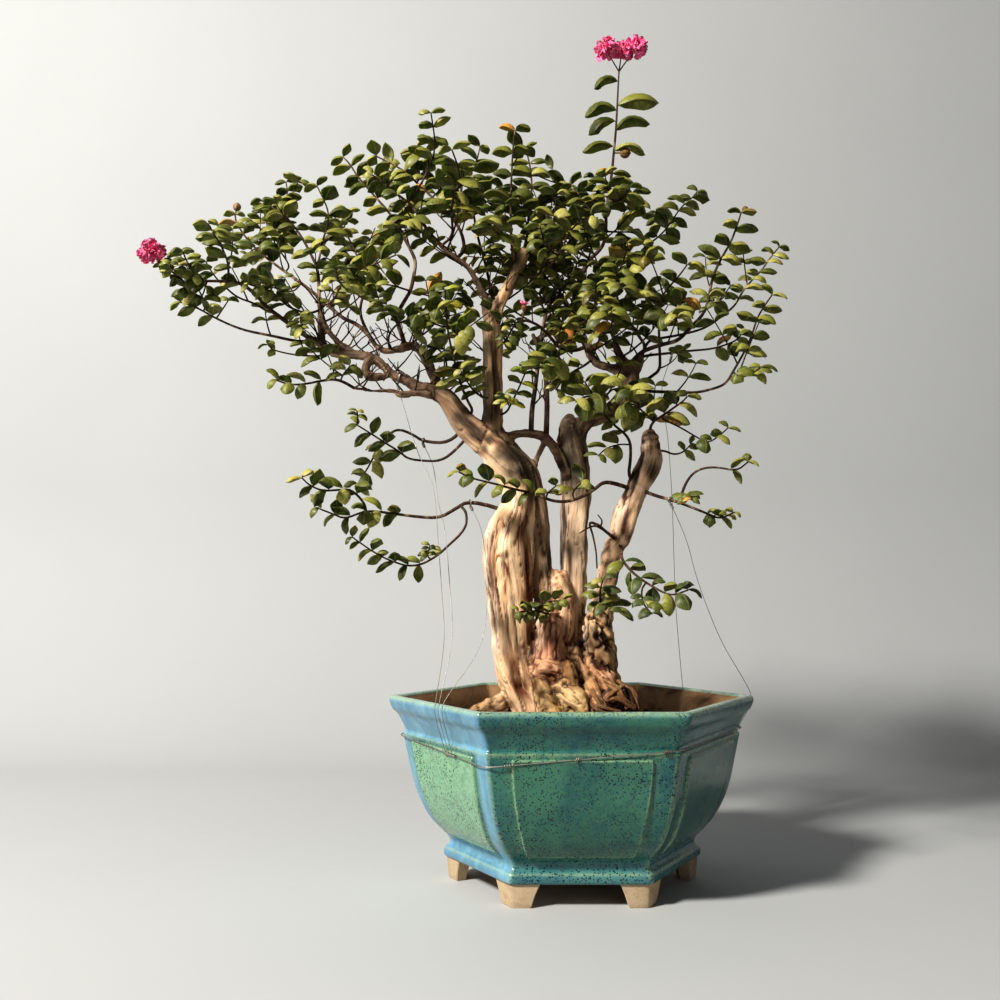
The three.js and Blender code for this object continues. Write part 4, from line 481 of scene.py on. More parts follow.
# Dead twigs in front of the right trunk, as points of (across, down, depth, radius)
DEAD_TWIGS = [
    [(614, 538, -2, 1.6), (604, 530, -8, 1.5), (598, 525, -12, 1.4), (590, 523, -16, 1.3),
     (593, 536, -18, 1), (596, 552, -18, 0.9), (597, 568, -16, 0.8)],
    [(604, 530, -8, 1.2), (595, 526, -14, 1), (588, 528, -18, 0.9), (580, 533, -20, 0.7)],
    [(600, 528, -10, 1), (602, 521, -14, 0.8), (598, 515, -18, 0.6)],
]

# Round seed capsules: spray, across, down, radius
CAPSULES = [
    ["spray_left_upper", 237, 207, 4.6],
    ["spray_left_upper", 255, 203, 2.8],
    ["spray_right_stub", 745, 209, 3],
    ["spray_top_shoot", 625, 153, 5.4],
]

# Blooms: name, spray that carries it, balls of petals as [across, down, toward the viewer, radius], and
# the petals in each ball
BLOOMS = [
    ["bloom_top", "spray_top_shoot", [[606, 50, 7, 13], [622, 51, -6, 11], [635, 49, 5, 12.5]], 44],
    ["bloom_left", "spray_far_left", [[151.5, 252, 2, 11.8]], 52],
    ["bloom_bud", "spray_inner_bud", [[524, 308, 1, 6]], 0],
]
STAMENS = 14
BUD_PETALS = 7

# Guys: name, limb or spray they hold, shoot of that spray, across and down of the ring, route, face
# of the pot counted from the right-hand corner, and the share along it where the guy crosses the lip
GUYS = [
    ["guy_left_front", "lower", 0, [399, 378], [[410, 428], [419, 455], [433, 487], [438, 540], [442, 596],
        [444, 640]], 3, 0.6],
    ["guy_left_back", "spray_left_droop", 0, [425, 442], [[433, 466], [438, 501], [444, 526], [450, 589],
        [452, 640]], 3, 0.64],
    ["guy_slack", "spray_low_left", 0, [471, 500], [[480, 526], [484, 545], [487, 570], [487, 604],
        [480, 646]], 3, 0.68],
    ["guy_right_back", "spray_right_stub", 2, [670, 353], [[662, 388], [668, 440], [672, 498], [674, 560],
        [676, 610]], 0, 0.62],
    ["guy_right", "spray_right_forked", 0, [671, 500], [[676, 515], [687, 542], [696, 575], [706, 604],
        [722, 642]], 0, 0.05],
]

# Loose knots on the band: face, share along it, turns and length. The band's heights are at the corners.
BAND_KNOTS = [(4, 0.12, 4, 9.0), (4, 0.47, 2, 3.0), (4, 0.92, 2, 3.0), (4, 0.93, 4, 5.0)]
BAND_HEIGHTS = [144, 144, 144, 137, 127.5, 142]
BAND_BEND = 0.03

# Wire: its radius, its distance from the glaze, the steps in one turn of a coil, how thin a guy is
# against that radius, and how far out the guys run over the lip and down past it
WIRE_RADIUS = 0.55
WIRE_OFF_GLAZE = 1.1
COIL_STEPS = 14
THIN_WIRE = 0.55
OVER_LIP = 183.5
OFF_LIP = 184.2

# Limbs slimmer than this stay plain tubes; the others are grown together into one skin
SLIM_LIMB = 3.5
LINE_STEP = 2.5

# Bark: heights of its ridges, fibres, cracks, lumps and folds, and how these are drawn out along a limb
RIDGE_RISE = 2.6
FIBRE_RISE = 0.8
CRACK_DEPTH = 2.4
LUMP_RISE = 1.2
GNARL_RISE = 2.6
FOLD_DEPTH = 3.8
GRAIN_STRETCH = 0.12
GRAIN_TWIST = 0.003
FOLD_STRETCH = 0.42
FOLD_SHIFTS = [Vector((3, 19, 5)), Vector((41, 7, 13)), Vector((11, 29, 37))]

# How soon the colours of one limb give way to the next one's, and how dark the patches of painted shade are
TONE_BLEND = 2.6
WOOD_COOLER = np.array((0.97, 1.0, 1.13))
SHADE_PATCH_DARKNESS = 0.78
KNOT_REACH = 1.8
SAMPLES_NEAR = 20

# Heights: the foot darkened towards the soil, the left side above the pot lightened as painted light, and the
# weathered wood of the crown
DARKENED_FOOT = 12
PAINTED_LIGHT_FROM = 190
WEATHERED_FROM = 400

# Colour of the wood by limb: ridges, then hollows, whose darker tone is partly painted shade in the creases,
# as red, green, blue from 0 to 255
BARK_TONES = {
    "trunk_left": ((244, 202, 152), (112, 62, 32)),
    "trunk_seam": ((176, 142, 106), (56, 36, 24)),
    "fork": ((196, 158, 118), (60, 38, 26)),
    "leader": ((248, 200, 144), (76, 46, 28)),
    "trunk_middle": ((226, 192, 152), (74, 48, 32)),
    "arm": ((158, 118, 86), (52, 34, 24)),
    "trunk_right": ((218, 176, 134), (78, 48, 30)),
    "base": ((228, 180, 122), (64, 36, 20)),
    "root_column": ((238, 176, 132), (132, 72, 48)),
    "web": ((226, 176, 126), (104, 58, 34)),
    "root_knob": ((240, 176, 128), (128, 72, 48)),
    "root_olive": ((204, 164, 100), (92, 64, 34)),
    "root_tan": ((240, 198, 134), (84, 50, 26)),
    "root_stub": ((192, 142, 84), (74, 46, 26)),
    "burl": ((236, 192, 136), (56, 32, 18)),
    "root_column_right": ((210, 158, 104), (84, 50, 30)),
    "root_pink": ((222, 162, 116), (92, 54, 36)),
    "root_side": ((196, 158, 110), (88, 60, 38)),
}
PLAIN_BARK = ((128, 96, 72), (40, 26, 20))
TWIG_BARK = (68, 47, 36)
SHOOT_BARK = (50, 33, 26)
ROOT_TANGLE = (150, 108, 72)
FLOWER_STALK = (104, 84, 48)

# Limbs whose wood is folded and lumpy
GNARLED = ("root_column", "base", "burl", "root_tan", "root_olive", "root_stub", "root_column_right",
           "root_pink", "root_knob")

# Knots and scars: across and down on the window, depth, radius, and how far they stand out in mm. Sunken ones
# are darkened inside with painted shade.
KNOTS = [
    (506, 556, -25, 5, -3.4), (485, 541, -4, 8, 3.2), (497, 603, -24, 4, -1.6),
    (520, 640, -26, 6, 2.2), (600, 636, -22, 5, -4), (586, 652, -20, 4, -4), (574, 470, -4, 5, 1.6),
    (650, 452, -6, 5, -1.6), (560, 640, -29, 3, -1.8), (640, 492, -6, 4, 1.4),
    (516, 470, -22, 6, 2), (612, 560, -6, 4, 1.4), (578, 682, -24, 5, -4), (612, 668, -16, 4, -3.6),
    (590, 676, -22, 4, -3.4), (536, 634, -20, 4, -3), (569, 604, -10, 4, -3),
    (606, 650, -20, 3.5, -3), (541, 684, -26, 4, -2.6), (520, 440, -14, 5, -2),
    (482, 436, -18, 7, 5), (497, 447, -21, 7, 4.5), (488, 453, -20, 4, -3.6),
    (470, 421, -15, 5, 2.5), (490, 428, -19, 4, -3),
]

# Patches of painted shade on the bark, partly also darker brown bark: across and down on the window, depth
# and reach
SHADED = [
    (574, 434, 0, 20), (577, 462, -2, 20), (578, 488, -2, 17), (513, 451, -20, 15),
    (517, 455, -22, 15), (528, 468, -18, 16), (530, 474, -20, 13), (536, 490, -13, 13),
    (490, 412, -12, 11), (476, 434, -17, 9), (462, 416, -14, 8), (508, 474, -22, 9),
    (492, 330, -2, 9), (514, 262, -2, 10), (520, 286, 0, 12), (484, 449, -18, 6),
    (490, 440, -20, 5), (498, 432, -19, 7), (507, 436, -17, 8), (655, 474, -3, 10),
    (612, 572, -5, 12), (600, 598, -8, 11), (539, 642, -4, 11), (577, 664, -8, 12),
    (545, 600, -8, 10), (548, 570, -8, 9),
]

# Thin roots over the foot of the right trunk: start, middle and end as (across, down, depth)
TANGLE = [
    ((598, 712, -24), (606, 694, -30), (622, 688, -24)),
    ((604, 698, -30), (618, 700, -30), (634, 710, -22)),
    ((592, 690, -26), (600, 702, -32), (610, 716, -28)),
    ((618, 684, -18), (630, 692, -20), (640, 712, -16)),
    ((586, 704, -30), (600, 708, -34), (620, 714, -28)),
    ((606, 680, -22), (616, 690, -28), (628, 706, -26)),
]

# Places on the window where leaves take a colour of their own: left, right, top, bottom, colour
LEAF_PLACES = [
    (596, 700, 545, 630, (44, 58, 34)), (596, 700, 545, 630, (52, 66, 38)),
    (262, 292, 330, 358, (208, 198, 84)), (292, 312, 468, 484, (190, 176, 70)),
    (456, 490, 210, 262, (178, 150, 52)), (466, 486, 252, 272, (196, 204, 60)),
    (558, 578, 330, 348, (186, 108, 48)), (594, 608, 196, 208, (206, 150, 96)),
    (714, 738, 326, 342, (118, 62, 38)), (758, 774, 352, 372, (122, 88, 44)),
    (584, 596, 384, 396, (150, 62, 48)), (440, 480, 262, 320, (150, 150, 50)),
    (500, 532, 366, 420, (158, 156, 54)), (740, 764, 204, 216, (142, 112, 62)),
    (690, 712, 256, 270, (160, 164, 76)),
]

# Colours of the other leaves from dark to light, the number of the finish that blades and petals take,
# and the rows and columns of a blade
LEAF_TONES = [(48, 56, 21), (66, 74, 28), (90, 94, 37), (114, 116, 47), (138, 136, 61), (166, 160, 86)]
BLADE = 1
LEAF_ROWS = [0, 0.05, 0.14, 0.28, 0.44, 0.6, 0.76, 0.89, 0.965, 1]
LEAF_COLUMNS = [-1, -0.58, 0, 0.58, 1]

# Leaves of the top shoot: where the stalk leaves the shoot (down), and the tip (across, down)
TOP_LEAVES = [
    (81, 589, 81), (107, 655, 93), (112, 580, 106), (125, 583, 127), (131, 648, 114),
    (149, 583, 145), (151, 646, 145), (172, 597, 168), (176, 631, 172),
]
TOP_LEAVES_END = 180


def tone(red, green, blue):
    """Colour of 0 to 255, as the eye meets it, as the amounts of light that a finish takes"""
    return tuple(((c / 255 + 0.055) / 1.055) ** 2.4 if c > 10 else c / 3294.6 for c in (red, green, blue))


def lerp(low, high, share):
    """The value at a share of the way from low to high"""
    return low + (high - low) * share


def numbers(words):
    """Points of a route whose words are comma-joined numbers"""
    return [tuple(float(n) for n in word.split(",")) for word in words]


def eased(value):
    """0 below 0, 1 above 1, with a smooth rise between"""
    value = min(max(value, 0.0), 1.0)
    return value * value * (3 - 2 * value)


def seeded(seed):
    """Repeatable random numbers from 0 to 1"""
    state = seed & 0xFFFFFFFF

    def draw():
        nonlocal state
        state = (state + 0x6D2B79F5) & 0xFFFFFFFF
        mixed = ((state ^ (state >> 15)) * (state | 1)) & 0xFFFFFFFF
        mixed ^= (mixed + (((mixed ^ (mixed >> 7)) * (mixed | 61)) & 0xFFFFFFFF)) & 0xFFFFFFFF
        return ((mixed ^ (mixed >> 14)) & 0xFFFFFFFF) / 4294967296

    return draw


def stray(random, low=0.5):
    """A small step to any side, that leans up the more the smaller `low` is"""
    return Vector((random() - 0.5, random() - 0.5, random() - low))


def seen(across, down, depth):
    """Place in mm, from the foot of the pot's axis, that stands behind a point of the sight window"""
    right = across - SIGHT_HALF
    up = SIGHT_HALF - down
    forward = SIGHT_DISTANCE * cos(SIGHT_TILT) - up * sin(SIGHT_TILT)
    rise = SIGHT_DISTANCE * sin(SIGHT_TILT) + up * cos(SIGHT_TILT)
    reach = (SIGHT_DISTANCE + depth) / forward
    return Vector((EYE.x + right * reach, depth, EYE.z + rise * reach))


def window_of(place):
    """The point of the sight window that a place stands behind"""
    offset = place - EYE
    rise = offset.z / offset.y
    slope, flat = sin(SIGHT_TILT), cos(SIGHT_TILT)
    up = SIGHT_DISTANCE * (rise * flat - slope) / (rise * slope + flat)
    return SIGHT_HALF + offset.x / offset.y * (SIGHT_DISTANCE * flat - up * slope), SIGHT_HALF - up


def in_crown(place):
    """Whether a place looks to be inside the outline of the crown"""
    across, down = window_of(place)
    inside = False
    for (x0, y0), (x1, y1) in zip(CROWN, CROWN[1:] + CROWN[:1]):
        if (y0 > down) != (y1 > down) and across < x0 + (x1 - x0) * (down - y0) / (y1 - y0):
            inside = not inside
    return inside


def in_box(points):
    """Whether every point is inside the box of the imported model"""
    return bool(np.all(points > BOX_LOW) and np.all(points < BOX_HIGH))


def nearest_on(carrier, across, down):
    """The point of a route of (across, down, depth) that looks nearest to a point of the window"""
    best = None
    for a, b in zip(carrier, carrier[1:]):
        run = (b[0] - a[0], b[1] - a[1])
        share = ((across - a[0]) * run[0] + (down - a[1]) * run[1]) / (run[0] ** 2 + run[1] ** 2)
        t = min(max(share, 0.0), 1.0)
        near, far = SIGHT_DISTANCE + a[2], SIGHT_DISTANCE + b[2]
        in_space = t * near / ((1 - t) * far + t * near)
        point = (lerp(a[0], b[0], t), lerp(a[1], b[1], t), lerp(a[2], b[2], in_space))
        distance = hypot(point[0] - across, point[1] - down)
        if best is None or distance < best[0]:
            best = (distance, point)
    return best[1]


def length_of(line):
    """Length of a line of places"""
    return sum((b - a).length for a, b in zip(line, line[1:]))


def point_along(line, distance):
    """The point at a distance along a line, and the direction there"""
    left = distance
    for i in range(len(line) - 1):
        step = line[i + 1] - line[i]
        if left <= step.length or i + 2 == len(line):
            direction = step.normalized()
            return line[i] + direction * left, direction
        left -= step.length


def limbs_of(text):
    """Each limb's name, depth of its flutes, and route"""
    rows = (row.split() for row in text.split(";"))
    return [[name, float(flute), numbers(route)] for name, flute, *route in rows]


def sprays_of(text):
    """Each spray's name and shoots: carrier, radius at foot and tip, tip's depth, bare share, leaf, route"""
    made = []
    for block in text.split("/"):
        (name,), *shoots = (part.split() for part in block.split(";"))
        made.append([name, [[int(row[0]) if row[0].isdigit() else row[0], *map(float, row[1:6]),
                             numbers(row[6:])] for row in shoots]])
    return made


LIMBS = limbs_of(LIMB_TABLE)
SPRAYS = sprays_of(SPRAY_TABLE)


def grid_faces(rows, columns, closed=True, ring=False):
    """Faces over rows of points. A closed grid joins each row's ends, a ring its last row to the first."""
    row = np.arange(rows if ring else rows - 1)[:, None]
    column = np.arange(columns if closed else columns - 1)
    over = ((row + 1) % rows - row) * columns
    a, b = row * columns + column, row * columns + (column + 1) % columns
    return np.stack([a, b, b + over, a + over], -1).reshape(-1, 4)


def smooth_rows(rows, step):
    """A smooth line through rows of numbers. The first three of each are its place; the rest go along."""
    rows = [np.asarray(row, float) for row in rows]
    ends = [2 * rows[0] - rows[1]] + rows + [2 * rows[-1] - rows[-2]]
    made = []
    for p0, p1, p2, p3 in zip(ends, ends[1:], ends[2:], ends[3:]):
        gaps = [max(sqrt(np.linalg.norm((b - a)[:3])), 1e-3) for a, b in ((p0, p1), (p1, p2), (p2, p3))]
        t1 = gaps[0]
        t2 = t1 + gaps[1]
        t3 = t2 + gaps[2]
        count = max(1, round(gaps[1] ** 2 / step))
        for k in range(count):
            t = lerp(t1, t2, k / count)
            a1 = p0 * (t1 - t) / t1 + p1 * t / t1
            a2 = p1 * (t2 - t) / (t2 - t1) + p2 * (t - t1) / (t2 - t1)
            a3 = p2 * (t3 - t) / (t3 - t2) + p3 * (t - t2) / (t3 - t2)
            b1 = a1 * (t2 - t) / t2 + a2 * t / t2
            b2 = a2 * (t3 - t) / (t3 - t1) + a3 * (t - t1) / (t3 - t1)
            made.append(b1 * (t2 - t) / (t2 - t1) + b2 * (t - t1) / (t2 - t1))
    made.append(rows[-1])
    return np.array(made)


def rounded_rows(rows):
    """A line through rows of numbers with its corners cut off, as a twig runs"""
    rows = np.asarray(rows, float)
    for _ in range(2):
        near = rows[:-1] * 0.75 + rows[1:] * 0.25
        far = rows[:-1] * 0.25 + rows[1:] * 0.75
        rows = np.concatenate([rows[:1], np.stack([near, far], 1).reshape(-1, rows.shape[1]), rows[-1:]])
    return rows


class Skin:
    """Points and faces of one piece while it is made, in mm from the foot of the pot's axis"""

    def __init__(self):
        self.points, self.marks, self.tints = [], [], []
        self.faces, self.finishes = [], []
        self.count = 0

    def add(self, points, faces, marks=None, tint=(1, 1, 1), finish=0):
        """Take in points and the faces over them"""
        points = np.asarray(points, float)
        self.points.append(points)
        self.marks.append(np.zeros((len(points), 2)) if marks is None else np.asarray(marks, float))
        self.tints.append(np.broadcast_to(np.asarray(tint, float), (len(points), 3)))
        start = self.count
        if isinstance(faces, np.ndarray):
            self.faces.extend((faces + start).tolist())
        else:
            self.faces.extend([[i + start for i in face] for face in faces])
        self.finishes.extend([finish] * len(faces))
        self.count += len(points)

    def mesh(self, name):
        """Everything taken in so far as one mesh in metres"""
        places = np.concatenate(self.points) * MM + np.array(POT_AXIS)
        mesh = bpy.data.meshes.new(name)
        mesh.from_pydata(places.tolist(), [], self.faces)
        mesh.polygons.foreach_set("material_index", self.finishes)
        mesh.polygons.foreach_set("use_smooth", [True] * len(self.faces))
        marks = np.concatenate(self.marks)
        used = np.empty(len(mesh.loops), dtype=np.int32)
        mesh.loops.foreach_get("vertex_index", used)
        layer = mesh.uv_layers.new(name="marks")
        layer.data.foreach_set("uv", marks[used].ravel())
        tints = np.concatenate(self.tints)
        colours = np.ones((len(tints), 4))
        colours[:, :3] = tints
        mesh.color_attributes.new("tint", "FLOAT_COLOR", "POINT").data.foreach_set("color", colours.ravel())
        mesh.update()
        return mesh


def put_down(name, data):
    """A new object of the scene"""
    made = bpy.data.objects.new(name, data)
    bpy.context.scene.collection.objects.link(made)
    return made


def place_piece(name, mesh, finishes, node):
    """The finished mesh as a piece that rides on the plant and stands for its node"""
    for finish in finishes:
        mesh.materials.append(finish)
    piece = put_down(name, mesh)
    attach(piece, "root")
    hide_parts(node)


def frames_along(line):
    """Directions along a line of places, and two more square to each that don't twist"""
    runs = np.gradient(line, axis=0)
    runs /= np.linalg.norm(runs, axis=1)[:, None] + 1e-12
    side = np.cross((0, 1, 0), runs[0])
    if np.linalg.norm(side) < 0.2:
        side = np.cross((1, 0, 0), runs[0])
    sides = []
    for run in runs:
        side = side - run * side.dot(run)
        side /= np.linalg.norm(side)
        sides.append(side)
    sides = np.array(sides)
    return runs, sides, np.cross(runs, sides)


def tube(skin, line, radii, sides, tint=(1, 1, 1), wave=None):
    """A round tube along a line with rounded ends. wave(angles, row) gives the radius its hollows."""
    line = np.asarray(line, float)
    radii = np.asarray(radii, float)
    runs, out, other = frames_along(line)
    start, end = runs[0] * radii[0], runs[-1] * radii[-1]
    line = np.concatenate([[line[0] - start * 0.6], line, [line[-1] + end * 0.6]])
    radii = np.concatenate([[radii[0] * 0.75], radii, [radii[-1] * 0.75]])
    out, other = (np.concatenate([v[:1], v, v[-1:]]) for v in (out, other))
    angles = np.arange(sides) * 2 * pi / sides
    rings = []
    for row, (centre, radius) in enumerate(zip(line, radii)):
        reach = radius * (np.ones(sides) if wave is None else wave(angles, row))
        rings.append(centre + np.outer(reach * np.cos(angles), out[row])
                     + np.outer(reach * np.sin(angles), other[row]))
    count = len(rings)
    points = np.concatenate([*rings, [line[0] - start * 0.35], [line[-1] + end * 0.35]])
    last, low = (count - 1) * sides, count * sides
    around = np.tile(np.arange(sides) / sides, count)
    marks = np.stack([around, np.repeat(np.linspace(0, 1, count), sides)], -1)
    marks = np.concatenate([marks, [[0.5, 0], [0.5, 1]]])
    faces = grid_faces(count, sides).tolist()
    faces += [[low, (i + 1) % sides, i] for i in range(sides)]
    faces += [[low + 1, last + i, last + (i + 1) % sides] for i in range(sides)]
    skin.add(points, faces, marks, tint)


def stem(skin, line, sides, tint=(1, 1, 1), wave=None):
    """A tube along rows of place and radius"""
    tube(skin, line[:, :3], line[:, 3], sides, tint, wave)


# Finishes
class Recipe:
    """The nodes of one finish, put down and joined a line at a time"""

    def __init__(self, name, **shader):
        self.material = bpy.data.materials.new(name)
        self.material.use_nodes = True
        self.tree = self.material.node_tree
        self.shader = self.tree.nodes["Principled BSDF"]
        for socket, value in shader.items():
            self.shader.inputs[socket.replace("_", " ")].default_value = value

    def put(self, kind, inputs=None, **settings):
        """A new node with its inputs joined and its settings set"""
        node = self.tree.nodes.new(kind)
        for key, value in settings.items():
            setattr(node, key, value)
        for socket, value in (inputs or {}).items():
            self.join(value, node.inputs[socket])
        return node

    def join(self, value, socket):
        """Link an output to a socket, or set the socket to a value"""
        if isinstance(value, bpy.types.NodeSocket):
            self.tree.links.new(value, socket)
        else:
            socket.default_value = value

    def tint(self):
        """The colour that the mesh carries"""
        return self.put("ShaderNodeAttribute", attribute_name="tint").outputs["Color"]

    def places(self, stretch=(1, 1, 1)):
        """Places on the piece in metres, stretched along each axis"""
        coordinates = self.put("ShaderNodeTexCoord").outputs["Object"]
        return self.put("ShaderNodeMapping", {"Vector": coordinates, "Scale": stretch}).outputs["Vector"]

    def cloud(self, places, scale, detail=4.0, roughness=0.55, warp=0.0):
        """Soft blotches"""
        inputs = {"Vector": places, "Scale": scale, "Detail": detail, "Roughness": roughness,
                  "Distortion": warp}
        return self.put("ShaderNodeTexNoise", inputs).outputs["Fac"]

    def cells(self, places, scale):
        """Round cells: distance from the middle, and a colour for each"""
        return self.put("ShaderNodeTexVoronoi", {"Vector": places, "Scale": scale})

    def ramp(self, value, *stops):
        """Colours by value. Stops are (place, colour); a colour may be one number."""
        node = self.put("ShaderNodeValToRGB", {"Fac": value})
        row = node.color_ramp.elements
        while len(row) < len(stops):
            row.new(0.5)
        for element, (place, colour) in zip(row, stops):
            element.position = place
            element.color = (colour, colour, colour, 1) if isinstance(colour, (int, float)) else (*colour, 1)
        return node.outputs["Color"]

    def mix(self, share, first, second, how="MIX"):
        """Two colours mixed by a share"""
        node = self.put("ShaderNodeMix", data_type="RGBA", blend_type=how)
        for index, value in ((0, share), (6, first), (7, second)):
            if not isinstance(value, (float, bpy.types.NodeSocket)) and len(value) == 3:
                value = (*value, 1)
            self.join(value, node.inputs[index])
        return node.outputs[2]

    def times(self, first, second):
        """One value times another"""
        return self.sum("MULTIPLY", first, second)

    def sum(self, how, first, second=0.0):
        """One step of arithmetic"""
        return self.put("ShaderNodeMath", {0: first, 1: second}, operation=how).outputs[0]

    def parts(self, colour):
        """The three amounts of a colour"""
        return self.put("ShaderNodeSeparateColor", {"Color": colour}).outputs

    def relief(self, height, depth, strength=1.0, under=None):
        """Shading of small heights, over another relief if one is given"""
        bump = self.put("ShaderNodeBump", {"Height": height, "Distance": depth, "Strength": strength})
        if under:
            self.join(under, bump.inputs["Normal"])
        return bump.outputs["Normal"]

    def finish(self, colour, roughness, normal):
        """The material, once its shader is fed"""
        for name, value in (("Base Color", colour), ("Roughness", roughness), ("Normal", normal)):
            self.join(value, self.shader.inputs[name])
        return self.material


def glaze(looks):
    """Mottled glaze: green and darkly freckled, and milky blue where it pooled on posts and neck; the milky
    blue and the pale panel green are strongest on the left-facing sides, partly as painted sky reflection and
    painted light
    """
    made = Recipe("mottled_glaze", Coat_Weight=0.28, Coat_Roughness=0.05, Specular_IOR_Level=0.35)
    places = made.places()
    milk_and_sheen, panel, thin = made.parts(made.tint())[:3]
    broad = made.cloud(places, 13, 4, 0.65, 0.8)
    fine = made.cloud(places, 150, 5, 0.7, 0.4)
    runs = made.cloud(made.places((1, 1, 0.22)), 50, 4, 0.6, 0.8)
    body = made.mix(made.ramp(broad, (0.4, 0.0), (0.62, 1.0)), looks.deep_glaze, looks.bright_glaze)
    body = made.mix(made.times(panel, 0.75), body, looks.panel_glaze)
    body = made.mix(made.ramp(fine, (0.45, 0.0), (0.66, 0.5)), body, looks.glaze_flecks)
    pooling_and_sheen = made.mix(made.ramp(runs, (0.38, 0.0), (0.62, 1.0)), looks.milky_glaze, looks.pool_glaze)
    edge = made.ramp(made.cloud(places, 42, 4, 0.65, 1.0), (0.3, 0.6), (0.62, 1.0))
    body = made.mix(made.times(milk_and_sheen, edge), body, pooling_and_sheen)
    body = made.mix(made.times(thin, made.ramp(fine, (0.35, 0.35), (0.6, 1.0))), body, looks.thin_glaze)
    marks = 0.0
    for scale, size, kept in ((170, 0.17, 0.64), (290, 0.26, 0.42), (470, 0.36, 0.3)):
        spots = made.cells(places, scale)
        chosen = made.ramp(made.parts(spots.outputs["Color"])[0], (kept, 0.0), (kept + 0.02, 1.0))
        spot = made.ramp(spots.outputs["Distance"], (size * 0.78, 1.0), (size, 0.0))
        marks = made.sum("MAXIMUM", made.times(spot, chosen), marks)
    marks = made.times(marks, made.ramp(made.cloud(places, 20, 3, 0.6), (0.34, 0.35), (0.56, 1.0)))
    marks = made.times(marks, made.ramp(milk_and_sheen, (0.3, 1.0), (0.9, 0.12)))
    ink = made.mix(made.ramp(made.cloud(places, 70, 2), (0.45, 0.0), (0.6, 1.0)), looks.speckles,
                   looks.blue_speckles)
    body = made.mix(marks, body, ink)
    roughness = made.ramp(made.cloud(places, 90, 4, 0.6), (0.3, 0.14), (0.7, 0.3))
    normal = made.relief(made.cloud(places, 130, 3, 0.5), 0.00025, 0.5)
    return made.finish(body, roughness, made.relief(marks, 0.00015, -0.5, normal))


def clay(name, light, dark, stains):
    """Bare fired clay with grit and stains"""
    made = Recipe(name, Specular_IOR_Level=0.25)
    places = made.places()
    body = made.mix(made.cloud(places, 45, 5, 0.65), light, dark)
    body = made.mix(made.ramp(made.cloud(places, 18, 4, 0.7, 1.2), (0.5, 0.0), (0.7, 0.8)), body, stains)
    grit = made.cells(places, 700)
    picked = made.ramp(made.parts(grit.outputs["Color"])[0], (0.8, 0.0), (0.82, 1.0))
    grains = made.times(made.ramp(grit.outputs["Distance"], (0.2, 1.0), (0.4, 0.0)), picked)
    body = made.mix(grains, body, stains)
    roughness = made.ramp(made.cloud(places, 60, 4), (0.3, 0.72), (0.7, 0.95))
    normal = made.relief(made.cloud(places, 380, 6, 0.7), 0.0005, 0.6)
    return made.finish(body, roughness, made.relief(grains, 0.0002, 0.5, normal))


def earth():
    """Dark crumbed soil, each crumb in its own tint"""
    made = Recipe("crumbed_soil", Specular_IOR_Level=0.2)
    places = made.places()
    body = made.mix(made.cloud(places, 260, 6, 0.7), tone(38, 27, 20), tone(96, 72, 52))
    body = made.mix(1.0, body, made.tint(), "MULTIPLY")
    moss = made.ramp(made.cloud(places, 30, 4, 0.6), (0.55, 0.0), (0.72, 0.35))
    body = made.mix(moss, body, tone(70, 74, 42))
    roughness = made.ramp(made.cloud(places, 140, 3), (0.3, 0.78), (0.7, 1.0))
    return made.finish(body, roughness, made.relief(made.cloud(places, 900, 6, 0.75), 0.0006, 0.7))


def bark(name, grain=True):
    """Bark in its own tint, with fibres that run with the grain"""
    made = Recipe(name, Specular_IOR_Level=0.25)
    if grain:
        places = made.put("ShaderNodeAttribute", attribute_name="grain").outputs["Vector"]
    else:
        places = made.places((1, 1, 0.4))
    fibres = made.cloud(places, 380, 6, 0.7, 0.25)
    strands = made.cloud(places, 130, 5, 0.65, 0.35)
    patches = made.cloud(made.places(), 60, 5, 0.65, 0.6)
    body = made.mix(made.ramp(fibres, (0.32, 0.8), (0.45, 0.0)), made.tint(), tone(104, 70, 48), "MULTIPLY")
    body = made.mix(made.ramp(strands, (0.33, 0.85), (0.41, 0.0)), body, tone(48, 28, 18), "MULTIPLY")
    body = made.mix(made.ramp(strands, (0.54, 0.0), (0.7, 0.42)), body, tone(226, 196, 152))
    body = made.mix(made.ramp(patches, (0.55, 0.0), (0.75, 0.3)), body, tone(150, 138, 114))
    roughness = made.ramp(patches, (0.3, 0.6), (0.7, 0.9))
    normal = made.relief(strands, 0.0022, 0.9)
    return made.finish(body, roughness, made.relief(fibres, 0.0009, 0.9, normal))


